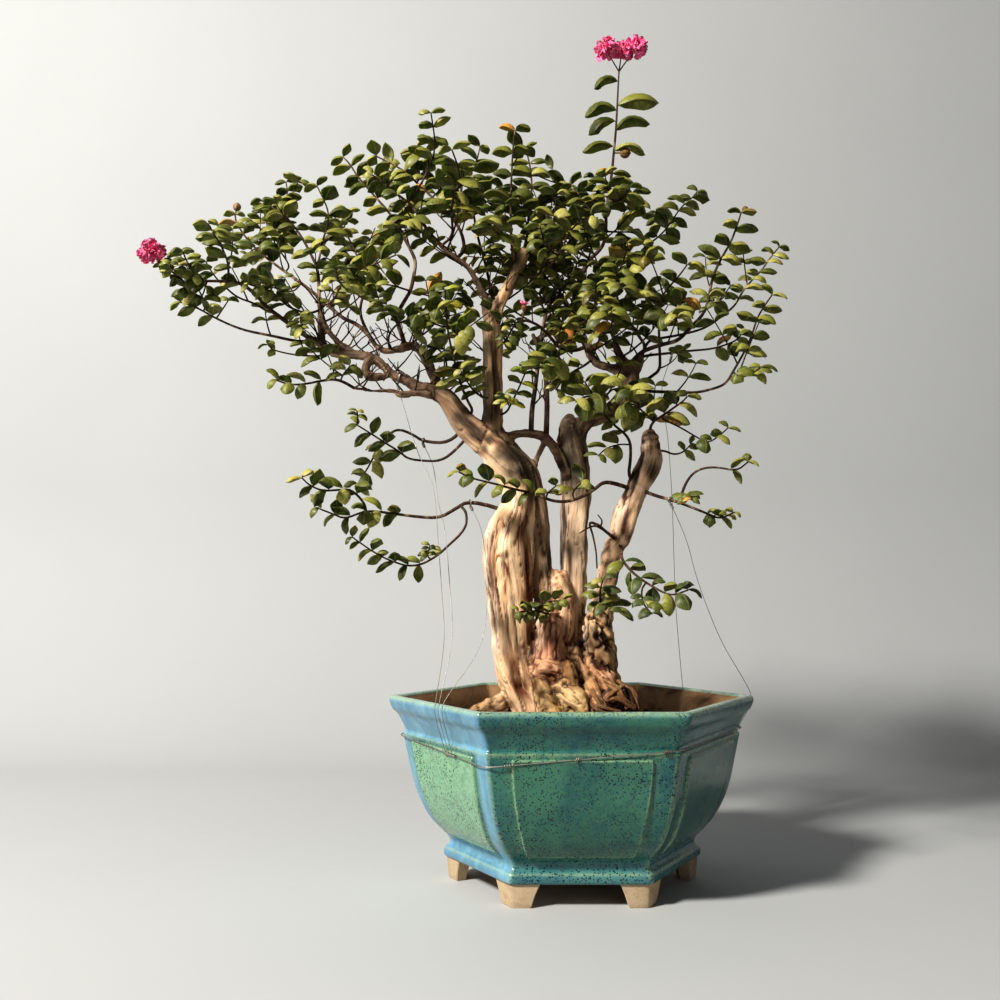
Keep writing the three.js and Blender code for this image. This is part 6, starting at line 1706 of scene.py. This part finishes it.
def add_leaf(skin, base, run, across, length, looks, colour, random, slim=1.0):
    """A blade that arches along and across like the back of a spoon, with top and under faces; the under
    faces take a darkened copy of its colour as painted shade
    """
    base, run, across = (np.array(v, float) for v in (base, run, across))
    across -= run * across.dot(run)
    across /= np.linalg.norm(across)
    up = np.cross(run, across)
    if up[2] < 0:
        across, up = -across, -up
    arch = looks.leaf_arch * LEAF_ARCH * (0.75 + 0.5 * random())
    cup = LEAF_CUP * (0.7 + 0.6 * random())
    half = length * LEAF_WIDTH * looks.leaf_width * slim * (0.9 + 0.2 * random())
    curl = (random() - 0.5) * 0.3
    phase = random() * WHOLE_TURN
    rows = np.array(LEAF_ROWS)[:, None]
    columns = np.array(LEAF_COLUMNS)[None, :, None]
    turn = arch * (0.45 - rows)
    heading = np.cos(turn) * run + np.sin(turn) * up
    centre = base + length * np.cumsum(np.diff(rows, axis=0, prepend=0) * heading, axis=0)
    centre += across * (curl * length * 0.25 * rows * rows)
    normal = (np.cos(turn) * up - np.sin(turn) * run)[:, None, :]
    width = (LEAF_WIDTHS * half)[:, None, None]
    lift = width * (0.12 * abs(columns) - cup * columns ** 2)
    lift += 0.02 * length * abs(columns) * np.sin(rows[:, None] * 8 + phase + columns * 1.5) * rows[:, None]
    sheet = centre[:, None, :] + across * (columns * width) + normal * lift
    body = normal * (0.16 * (1 - columns ** 2) * np.minimum(1.0, 8 * rows * (1 - rows))[:, None] + 0.02)
    points = np.concatenate([(sheet + body).reshape(-1, 3), (sheet - body).reshape(-1, 3)])
    if not in_box(points):
        return
    marks = np.stack(np.broadcast_arrays(0.5 + 0.5 * columns[..., 0], rows), -1).reshape(-1, 2)
    # Painted shade: the under faces take the leaf's colour darkened to 0.42
    pale = np.array(colour) * 0.42 + 0.003
    tints = np.repeat([colour, pale], len(marks), axis=0)
    skin.add(points, LEAF_FACES, np.concatenate([marks, marks]), tints, BLADE)


def leaf_colour(place, random):
    """Colour of one leaf: its own in some places, else from dark to light green by chance"""
    across, down = window_of(place)
    for left, right, top, bottom, colour in LEAF_PLACES:
        if left <= across <= right and top <= down <= bottom and random() < 0.4:
            return tuple(c * (0.85 + 0.3 * random()) for c in tone(*colour))
    step = min(random() ** 1.2 * len(LEAF_TONES), len(LEAF_TONES) - 1.001)
    low, high = LEAF_TONES[int(step)], LEAF_TONES[int(step) + 1]
    colour = [lerp(a, b, step % 1) for a, b in zip(low, high)]
    if random() > 0.975:
        colour = [colour[0] * 1.4, colour[1], colour[2] * 0.9]
    return tone(*colour)


def add_leaves(skin, path, bare, leaf_length, looks, random):
    """Pairs of leaves along a path"""
    for foot, run, across, length in leaf_pairs(path, bare, leaf_length * looks.leaf_size, random):
        colour = leaf_colour(foot + run * length * 0.5, random)
        add_leaf(skin, foot, run, across, length, looks, colour, random)


def add_twig(skin, start, heading, length, girth, leaf_length, looks, random):
    """A side twig that bends up, with its leaves. Gives back its path, or nothing outside the crown."""
    bend = Vector((random() - 0.5, random() - 0.5, 0.35 + 0.3 * random())) * 0.5
    path = [start + heading * (length * t) + bend * (length * t * t) for t in (0, 0.2, 0.4, 0.6, 0.8, 1)]
    if not all(in_crown(place) for place in path[2:]) or not in_box(np.array(path)):
        return None
    tube(skin, path, np.linspace(girth, 0.5, 6), 6, tone(*SHOOT_BARK))
    add_leaves(skin, path, 0.34, leaf_length, looks, random)
    return path


def clothe(skin, path, first, step, leaf_length, looks, random):
    """Side twigs along a path, on all sides, where the crown has room for them"""
    total = length_of(path)
    distance = first
    while distance < total - 8:
        start, along = point_along(path, distance)
        around = Vector((random() - 0.5, (random() - 0.5) * 1.3, random() - 0.25))
        out = around - along * around.dot(along)
        if out.length > 0.05:
            heading = (out.normalized() * 0.8 + along * 0.55 + Vector((0, 0, 0.15))).normalized()
            length = TWIG_REACH * (0.6 + 0.8 * random())
            leaf = leaf_length * (0.85 + 0.3 * random())
            add_twig(skin, start, heading, length, 0.85, leaf, looks, random)
        distance += step * (0.7 + 0.6 * random())


def build_branch(spray, index, looks, finishes):
    """A spray: its shoots with leaves, side twigs, filling twigs and seed capsules"""
    name, shoots = spray
    skin = Skin()
    lines = shoot_lines(spray)
    random = seeded(9000 + index)
    at_top = name == "spray_top_shoot"
    for i, (shoot, line) in enumerate(zip(shoots, lines)):
        stem(skin, line, 8, tone(*(TWIG_BARK if shoot[1] > THICK_SHOOT else SHOOT_BARK)))
        path = [Vector(row[:3]) for row in line]
        total = length_of(path)
        if at_top and i == 0:
            add_top_leaves(skin, path, looks, random)
            path = [place for place in path if window_of(place)[1] > TOP_LEAVES_END]
            total = length_of(path)
        add_leaves(skin, path, min(shoot[4], 0.8), shoot[5], looks, random)
        if window_of(path[-1])[1] < CROWN_FOOT and shoot[5] > 0:
            clothe(skin, path, 14 + 0.3 * shoot[4] * total, TWIG_STEP, shoot[5], looks, random)
    if name in CROWN_FILL:
        limb, low, high, count = CROWN_FILL[name]
        line = limb_lines()[limb]
        for k in range(count):
            row = line[int(lerp(low, high, (k + 0.5) / count) * (len(line) - 1))]
            turn = 2.4 * k + random()
            heading = Vector((cos(turn), sin(turn), 0.55)).normalized()
            length = 40 + 38 * random()
            path = add_twig(skin, Vector(row[:3]), heading, length, 1.2, FILL_LEAF, looks, random)
            if path:
                clothe(skin, path, 12, TWIG_STEP * 0.5, FILL_LEAF, looks, random)
    for held, across, down, radius in CAPSULES:
        if held == name:
            rows = lines[0] if at_top else [line[-1] for line in lines]
            ends = [Vector(row[:3]) for row in rows]
            end = min(ends, key=lambda p: (p - seen(across, down, p.y)).length)
            add_capsule(skin, end, seen(across, down, end.y), radius)
    piece = name.replace("spray_", "branch_")
    place_piece(piece, skin.mesh(piece), finishes, name)


def add_top_leaves(skin, path, looks, random):
    """The big arched leaves of the top shoot, one by one"""
    for base_down, across, down in TOP_LEAVES:
        foot = min(path, key=lambda p: abs(window_of(p)[1] - base_down))
        tip = seen(across, down, foot.y + 8 * (random() - 0.5))
        run = tip - foot
        side = UP.cross(run).normalized()
        side = Quaternion(run.normalized(), (random() - 0.5) * 0.5) @ side
        add_leaf(skin, foot, run.normalized(), side, run.length * 1.24, looks,
                 leaf_colour(tip, random), random, 0.78)


def add_capsule(skin, end, at, radius):
    """Round seed capsule on a short stalk, with six shallow seams and a point"""
    line = smooth_rows([(*end, 0.9), (*(end + (at - end) * 0.5), 0.8), (*at, 0.9)], 1.5)
    stem(skin, line, 8, tone(110, 78, 50))
    axis = (at - end).normalized()
    side = axis.cross(Vector((0, 1, 0))).normalized()
    other = axis.cross(side)
    rings, sides = 9, 24
    points, marks, tints = [], [], []
    for r in range(rings + 1):
        lift = pi * r / rings
        for k in range(sides):
            angle = 2 * pi * k / sides
            seam = 1 - 0.09 * max(0.0, cos(6 * angle)) ** 3 * sin(lift)
            reach = radius * sin(lift) * seam
            height = -radius * cos(lift) * (1.16 if r == rings else 1.0)
            out = side * (reach * cos(angle))
            points.append(at + axis * height + out + other * (reach * sin(angle)))
            marks.append((k / sides, r / rings))
            tints.append(tone(126, 96, 52) if k % 4 else tone(86, 60, 34))
    skin.add([tuple(p) for p in points], grid_faces(rings + 1, sides)[:, ::-1], marks, np.array(tints))


# Blooms
def add_petal(skin, base, run, across, length, random):
    """A petal on a thin claw that opens into a round, crinkled blade"""
    across = (across - run * across.dot(run)).normalized()
    up = run.cross(across)
    rows, columns = 8, 9
    phase, waves = random() * WHOLE_TURN, 4 + 2 * random()
    points, marks = [], []
    for r in range(rows):
        share = r / (rows - 1)
        width = 0.05
        if share > 0.4:
            width += 0.42 * sin(pi * min(1.0, (share - 0.4) / 0.72)) ** 0.6
        for c in range(columns):
            column = 2 * c / (columns - 1) - 1
            frill = max(0.0, share - 0.3) * length * 0.3
            wave = sin(waves * 2.2 * column + phase) * frill * (0.3 + abs(column))
            wave += sin(waves * 3.1 * share + phase * 2) * frill * 0.6 * abs(column)
            reach = share * length * (1 - 0.12 * column * column)
            reach += 0.07 * length * sin(7 * column + phase) * share
            points.append(base + run * reach + across * (column * width * length)
                          + up * (wave - 0.2 * share * share * length))
            marks.append((0.5 + 0.5 * column, share))
    shade = 0.75 + 0.5 * random()
    skin.add([p[:] for p in points], grid_faces(rows, columns, False), marks, [shade] * 3, BLADE)


def add_stalk(skin, foot, heart, middle, cup, radii, colour):
    """A flower's stalk and the cup at its end. Gives back the way it points."""
    axis = (heart - foot).normalized()
    between = [(*foot.lerp(heart, share), radius) for share, radius in middle]
    stem(skin, smooth_rows([(*foot, radii[0]), *between, (*heart, 0.9)], 2.0), 8, tone(*FLOWER_STALK))
    tube(skin, [(heart + axis * step)[:] for step in cup], radii[1:], 12, tone(*colour))
    return axis


def add_lobe(skin, foot, heart, radius, petals, random):
    """A ball of crinkled petals round a green heart, on its own stalk"""
    add_stalk(skin, foot, heart, [(0.35, 0.65), (0.7, 0.65)], (-2.6, -1.4, 0, 1.6), (0.8, 1.2, 2.4, 3.0, 2.0),
              (120, 60, 52))
    for k in range(petals):
        lift = 0.98 - 1.7 * (k + 0.5) / petals
        turn = k * GOLDEN_TURN + 0.7 * random()
        flat = sqrt(max(0.0, 1 - lift * lift))
        run = Vector((cos(turn) * flat, sin(turn) * flat, lift)).normalized()
        across = run.cross(stray(random)).normalized()
        add_petal(skin, heart + run * radius * 0.16, run, across, radius * (0.62 + 0.34 * random()), random)
    for _ in range(STAMENS):
        run = stray(random, 0.2).normalized()
        tip = heart + run * radius * (0.7 + 0.25 * random())
        middle = heart.lerp(tip, 0.5) + UP * 0.3
        tube(skin, [heart[:], middle[:], tip[:]], [0.14, 0.12, 0.35], 5, tone(222, 176, 84))


def build_bloom(row, index, looks, finishes):
    """A flower cluster or bud on the shoot that ends nearest to it"""
    name, held, lobes, petals = row
    skin = Skin()
    random = seeded(500 + index)
    lines = shoot_lines(next(spray for spray in SPRAYS if spray[0] == held))
    first = seen(lobes[0][0], lobes[0][1], 0)
    line = min(lines, key=lambda rows: hypot(rows[-1][0] - first.x, rows[-1][2] - first.z))
    end = Vector(line[-1][:3])
    foot = end - (end - Vector(line[-2][:3])).normalized() * 0.6
    for across, down, toward, radius in lobes:
        heart = seen(across, down, end.y - toward)
        if petals:
            add_lobe(skin, foot, heart, radius, petals, random)
        else:
            add_bud(skin, foot, heart, radius)
    piece = name.replace("bloom_", "flowers_")
    place_piece(piece, skin.mesh(piece), finishes, name)


def add_bud(skin, foot, heart, length):
    """A bud that has just begun to open: folded petals in a green cup"""
    axis = add_stalk(skin, foot, heart, [(0.5, 0.8)], (-2, -1, 1, 2.4), (0.9, 1.2, 2.4, 2.8, 2.2),
                     (122, 84, 56))
    random = seeded(640)
    side = axis.cross(Vector((0, 1, 0.1))).normalized()
    for k in range(BUD_PETALS):
        out = Quaternion(axis, 2 * pi * k / BUD_PETALS) @ side
        add_petal(skin, heart + axis * 1.2, (out * 0.45 + axis).normalized(), axis.cross(out),
                  length * (0.8 + 0.3 * random()), random)


# Wires
def pot_radius(height):
    """Corner radius of the bowl, neck or lip at a height"""
    radii, heights = zip(*POT_BOWL, POT_NECK, *POT_LIP)
    return float(np.interp(height, heights, radii))


def face_point(face, share, radius, height):
    """A place at a share of the way along one face of a hexagon"""
    a, b = (pi / 3 * k for k in (face, face + 1))
    across = radius * lerp(cos(a), cos(b), share)
    return Vector((across, radius * lerp(sin(a), sin(b), share), height))


def band_point(face, share):
    """A place of the wire band at a share of the way along a face"""
    height = lerp(BAND_HEIGHTS[face % 6], BAND_HEIGHTS[(face + 1) % 6], share)
    return face_point(face, share, pot_radius(height) + (WIRE_OFF_GLAZE + WIRE_RADIUS) / APOTHEM + 2, height)


def build_band(finish):
    """The wire band round the neck, with the knots of the guys on it"""
    skin = Skin()
    corners = []
    for face in range(6):
        corners += [band_point(face, BAND_BEND), band_point(face, 1 - BAND_BEND)]
    line = []
    for a, b in zip(corners, corners[1:] + corners[:1]):
        count = max(3, round((b - a).length / 5))
        line += [a.lerp(b, k / count) for k in range(count)]
    for _ in range(2):
        line = [(line[i - 1] + line[i] * 2 + line[(i + 1) % len(line)]) / 4 for i in range(len(line))]
    closed_tube(skin, line, WIRE_RADIUS, 8)
    for face, share, turns, length in [(guy[5], guy[6], 3, 6.0) for guy in GUYS] + BAND_KNOTS:
        along = (band_place(face, share + 0.02) - band_place(face, share - 0.02)).normalized()
        coil(skin, band_place(face, share), along, WIRE_RADIUS * (2.1 if turns > 2 else 3), turns, length)
    place_piece("neck_wire", skin.mesh("neck_wire"), [finish], "wire_band")


def band_place(face, share):
    """A place on a straight run of the band"""
    along = (share - BAND_BEND) / (1 - 2 * BAND_BEND)
    return band_point(face, BAND_BEND).lerp(band_point(face, 1 - BAND_BEND), along)


def closed_tube(skin, line, radius, sides):
    """A round tube along a line that ends where it began"""
    count = len(line)
    line = np.array([tuple(p) for p in line])
    runs = np.roll(line, -1, axis=0) - np.roll(line, 1, axis=0)
    runs /= np.linalg.norm(runs, axis=1)[:, None]
    out = line * (1, 1, 0)
    out = out / np.linalg.norm(out, axis=1)[:, None]
    up = np.cross(runs, out)
    up /= np.linalg.norm(up, axis=1)[:, None]
    out = np.cross(up, runs)
    angles = np.arange(sides) * 2 * pi / sides
    cosines, sines = np.cos(angles)[None, :, None], np.sin(angles)[None, :, None]
    points = line[:, None, :] + radius * (cosines * out[:, None, :] + sines * up[:, None, :])
    skin.add(points.reshape(-1, 3), grid_faces(count, sides, ring=True))


def coil(skin, at, along, radius, turns, length):
    """A few turns of wire round a run of wire"""
    side = along.cross(UP)
    side = side.normalized() if side.length > 0.1 else Vector((0, 1, 0))
    other = along.cross(side)
    line = []
    steps = turns * COIL_STEPS
    for k in range(steps + 1):
        angle = 2 * pi * k / COIL_STEPS
        line.append(tuple(at + along * (length * (k / steps - 0.5)) + side * (radius * cos(angle))
                          + other * (radius * sin(angle))))
    tube(skin, line, [WIRE_RADIUS * 0.9] * len(line), 6)


def guy_line(guy):
    """Rings and run of a guy: where it is held, the direction of what it holds, and its route"""
    _, held, shoot, ring, seen_route, face, share = guy
    limb = next((row for row in LIMBS if row[0] == held), None)
    spray = next((row for row in SPRAYS if row[0] == held), None)
    carrier = [row[:3] for row in limb[2]] if limb else window_routes(spray)[shoot]
    at = nearest_on(carrier, *ring)
    line = limb_lines()[held] if limb else shoot_lines(spray)[shoot]
    index = nearest_row(line, seen(*at))
    held_at = Vector(line[index][:3])
    along = Vector(frames_along(line[:, :3])[0][index])
    radius = line[index][3] + (1.0 if limb else 0.5) + WIRE_RADIUS
    down = (along * along.z - UP).normalized()
    over = face_point(face, share, OVER_LIP, POT_HEIGHT + 1.2)
    route = [held_at + down * radius]
    for i, (across, seen_down) in enumerate(seen_route):
        route.append(seen(across, seen_down, lerp(at[2], over.y, (i + 1) / (len(seen_route) + 1))))
    foot = band_place(face, share)
    outward = Vector((foot.x, foot.y, 0)).normalized()
    route += [over, face_point(face, share, OFF_LIP, GLAZE_LIP), foot + outward * 1.2]
    return held_at, along, radius, route


def build_guy(guy, finish):
    """A guy: its ring round the shoot, the knot below it and the run down to the band"""
    skin = Skin()
    at, along, radius, route = guy_line(guy)
    coil(skin, at, along, radius, 2, 1.3)
    run = smooth_rows([tuple(p) for p in route], 5.0)
    tube(skin, run, [WIRE_RADIUS * THIN_WIRE] * len(run), 6)
    knot = route[0]
    away = (route[1] - knot).normalized()
    coil(skin, knot + away * 4, away, WIRE_RADIUS * 1.9, 4, 6.0)
    name = guy[0].replace("guy_", "tie_wire_")
    place_piece(name, skin.mesh(name), [finish], guy[0])


# Stage
def build_stage(looks):
    """Swept board, three lights, sky and camera"""
    profile = [(-2.2, 0.0), (-1.2, 0.0), (-0.4, 0.0), (0.3, 0.0), (0.62, 0.0)]
    profile += [(0.62 + 0.5 * sin(a), 0.5 - 0.5 * cos(a))
                for a in np.linspace(0.1, pi / 2, 14)]
    profile += [(1.12, 1.0), (1.12, 1.8), (1.12, 2.8)]
    points = [(x, y, z) for x in np.linspace(-3.2, 3.2, 9) for y, z in profile]
    faces = grid_faces(9, len(profile), False)[:, ::-1].tolist()
    mesh = bpy.data.meshes.new("studio_sweep")
    mesh.from_pydata(points, [], faces)
    mesh.polygons.foreach_set("use_smooth", [True] * len(faces))
    mesh.materials.append(studio_board(looks.board))
    put_down("studio_sweep", mesh)
    tree = (POT_AXIS.x, 0, 0.42)
    for name, place, target, size, power, colour in (
            ("key_light", (-1.98, -1.83, 2.31), tree, 0.5, looks.key_light, (1.0, 0.96, 0.895)),
            ("fill_light", (1.1, -2.2, 0.9), tree, 1.8, looks.key_light * looks.fill, (0.9, 0.95, 1.0)),
            ("wall_light", (-1.7, -0.1, 1.5), (-0.9, 1.12, 0.6), 1.0, looks.wall_light, (1.0, 0.99, 0.95))):
        light = bpy.data.lights.new(name, "AREA")
        light.energy, light.size, light.color = power, size, colour
        holder = put_down(name, light)
        holder.location = place
        holder.rotation_euler = (Vector(target) - Vector(place)).to_track_quat("-Z", "Y").to_euler()
    world = bpy.data.worlds.new("studio_world")
    world.use_nodes = True
    sky = world.node_tree.nodes["Background"].inputs
    sky["Color"].default_value = (0.94, 0.97, 1.0, 1)
    sky["Strength"].default_value = looks.sky
    bpy.context.scene.world = world
    bpy.context.scene.view_settings.view_transform = "Standard"
    bpy.context.scene.view_settings.look = "Medium High Contrast"
    camera = bpy.data.cameras.new("front_camera")
    camera.sensor_width = 36.0
    camera.lens = 36.0 * SIGHT_DISTANCE / (2 * SIGHT_HALF)
    camera.clip_start = 0.05
    holder = put_down("front_camera", camera)
    holder.location = EYE * MM + POT_AXIS
    holder.rotation_euler = (pi / 2 + SIGHT_TILT, 0, 0)
    bpy.context.scene.camera = holder


# What a user may change
def colour_value(name, description, rgb):
    """A colour of 0 to 255 that a user may change"""
    return FloatVectorProperty(name=name, description=description, subtype="COLOR", size=3, min=0.0, max=4.0,
                               default=tone(*rgb))


def amount(name, description, default, low, high, **kind):
    """A number that a user may change"""
    return FloatProperty(name=name, description=description, default=default, min=low, max=high, **kind)


def power(name, description, default):
    """Strength of a light, in watts"""
    return amount(name, description, default, 0.0, 400.0, subtype="POWER", unit="POWER")


class PotLooks(bpy.types.PropertyGroup):
    """Colours of the pot's glaze and clay"""
    # Panel glaze lies most on the left-facing panels: partly painted light
    panel_glaze: colour_value("Panel glaze", "Glaze on the panels, where it is greenest", (140, 184, 146))
    bright_glaze: colour_value("Bright glaze", "Greener glaze of the mottles", (52, 106, 88))
    deep_glaze: colour_value("Deep glaze", "Darker glaze between the mottles", (24, 80, 80))
    glaze_flecks: colour_value("Flecks", "Pale flecks in the glaze", (72, 116, 88))
    # Milky glaze is strongest on the left-facing sides: partly painted sky reflection
    milky_glaze: colour_value("Milky glaze", "Glaze pooled on neck, posts and foot ring", (118, 166, 190))
    pool_glaze: colour_value("Pooled glaze", "Bluer streaks in the pooled glaze", (92, 140, 176))
    thin_glaze: colour_value("Thin glaze", "Glaze on edges, where it runs thin", (146, 170, 132))
    speckles: colour_value("Speckles", "Near-black speckles in the glaze", (6, 16, 20))
    blue_speckles: colour_value("Blue speckles", "Blue speckles in the glaze", (12, 34, 70))
    foot_clay: colour_value("Foot clay", "Bare clay of the feet", (194, 172, 142))


class TreeLooks(bpy.types.PropertyGroup):
    """Relief of the wood, the soil's crumbs, and the sizes and colours of leaves and petals"""
    wood_skin: amount("Wood skin", "Size of the small steps the wood is skinned in", 1.7, 0.8, 4.0)
    wood_relief: amount("Bark relief", "Height of the bark's ridges", 1.0, 0.0, 3.0)
    crumbs: IntProperty(name="Soil crumbs", description="How many crumbs lie on the soil", default=4200,
                        min=0, max=9000)
    leaf_size: amount("Leaf size", "Leaf length against the usual one", 1.06, 0.5, 1.5)
    leaf_width: amount("Leaf width", "Leaf width against the usual one", 1.0, 0.5, 1.5)
    leaf_arch: amount("Leaf arch", "How far the leaves arch over", 1.0, 0.0, 2.0)
    young_leaf: colour_value("Young leaf", "Yellow-green of the young parts of a leaf", (122, 126, 48))
    old_leaf: colour_value("Old leaf", "Darkest green of a leaf", (40, 48, 16))
    leaf_rib: colour_value("Leaf rib", "Midrib and veins", (158, 158, 92))
    petal_edge: colour_value("Petal edge", "Frilled edge of the petals", (250, 126, 172))
    petal_heart: colour_value("Petal heart", "Petals near their claws", (214, 44, 110))


class StageLooks(bpy.types.PropertyGroup):
    """Board and light of the studio"""
    board: colour_value("Board", "Floor and backdrop", (181, 183, 184))
    key_light: power("Key light", "Strength of the light from the left", 198.0)
    fill: amount("Fill", "Light from the front against the key light", 0.02, 0.0, 2.0, subtype="FACTOR")
    wall_light: power("Wall light", "Strength of the light on the backdrop", 2.0)
    sky: amount("Sky", "Strength of the light from all round", 0.05, 0.0, 4.0)


class BONSAI_OT_stage(bpy.types.Operator):
    """Set up the floor, the backdrop, the lights and the camera"""
    bl_idname = "bonsai.stage"
    bl_label = "Stage"

    def execute(self, context):
        build_stage(context.scene.bonsai_stage)
        return {"FINISHED"}


class BONSAI_OT_pot(bpy.types.Operator):
    """Make the glazed hexagonal pot with its panels, foot ring, feet and drain holes"""
    bl_idname = "bonsai.pot"
    bl_label = "Pot"

    def execute(self, context):
        build_pot(context.scene.bonsai_pot)
        return {"FINISHED"}


class BONSAI_OT_soil(bpy.types.Operator):
    """Fill the pot with crumbed soil and dry roots"""
    bl_idname = "bonsai.soil"
    bl_label = "Soil"

    def execute(self, context):
        build_soil(context.scene.bonsai_tree.crumbs)
        return {"FINISHED"}


class BONSAI_OT_wood(bpy.types.Operator):
    """Grow trunks, roots and heavy limbs together under one bark"""
    bl_idname = "bonsai.wood"
    bl_label = "Wood"

    def execute(self, context):
        build_wood(context.scene.bonsai_tree)
        return {"FINISHED"}


class BONSAI_OT_branches(bpy.types.Operator):
    """Make every branch with its twigs, leaves and seed capsules"""
    bl_idname = "bonsai.branches"
    bl_label = "Branches"

    def execute(self, context):
        looks = context.scene.bonsai_tree
        finishes = [bark("twig_bark", False), leaf_blade(looks)]
        for index, spray in enumerate(SPRAYS):
            build_branch(spray, index, looks, finishes)
        return {"FINISHED"}


class BONSAI_OT_blooms(bpy.types.Operator):
    """Make the flower clusters and the opening bud"""
    bl_idname = "bonsai.blooms"
    bl_label = "Blooms"

    def execute(self, context):
        looks = context.scene.bonsai_tree
        finishes = [bark("flower_stalk", False), petal_sheet(looks)]
        for index, row in enumerate(BLOOMS):
            build_bloom(row, index, looks, finishes)
        return {"FINISHED"}


class BONSAI_OT_wires(bpy.types.Operator):
    """Run the wire band round the neck and the guys down to it"""
    bl_idname = "bonsai.wires"
    bl_label = "Wires"

    def execute(self, context):
        finish = drawn_wire()
        build_band(finish)
        for guy in GUYS:
            build_guy(guy, finish)
        return {"FINISHED"}


class BONSAI_PT_build(bpy.types.Panel):
    """Steps that build the bonsai, and what may be changed in each"""
    bl_idname = "BONSAI_PT_build"
    bl_label = "Crape Myrtle Bonsai"
    bl_space_type = "VIEW_3D"
    bl_region_type = "UI"
    bl_category = "Bonsai"

    def draw(self, context):
        layout = self.layout
        for operator in OPERATORS:
            layout.operator(operator.bl_idname)
        for group in (context.scene.bonsai_pot, context.scene.bonsai_tree, context.scene.bonsai_stage):
            box = layout.box()
            for key in group.__annotations__:
                box.prop(group, key)


OPERATORS = (BONSAI_OT_stage, BONSAI_OT_pot, BONSAI_OT_soil, BONSAI_OT_wood, BONSAI_OT_branches,
             BONSAI_OT_blooms, BONSAI_OT_wires)
CLASSES = (PotLooks, TreeLooks, StageLooks, *OPERATORS, BONSAI_PT_build)


def register():
    """Make the classes known, and hang their values on the scene"""
    for made in CLASSES:
        bpy.utils.register_class(made)
    bpy.types.Scene.bonsai_pot = PointerProperty(type=PotLooks)
    bpy.types.Scene.bonsai_tree = PointerProperty(type=TreeLooks)
    bpy.types.Scene.bonsai_stage = PointerProperty(type=StageLooks)


def unregister():
    """Take away what register() put in"""
    for name in ("bonsai_pot", "bonsai_tree", "bonsai_stage"):
        delattr(bpy.types.Scene, name)
    for made in reversed(CLASSES):
        bpy.utils.unregister_class(made)


def main():
    """Build every piece in order"""
    register()
    bpy.ops.bonsai.stage()
    bpy.ops.bonsai.pot()
    bpy.ops.bonsai.soil()
    bpy.ops.bonsai.wood()
    bpy.ops.bonsai.branches()
    bpy.ops.bonsai.blooms()
    bpy.ops.bonsai.wires()


if __name__ == "__main__":
    main()
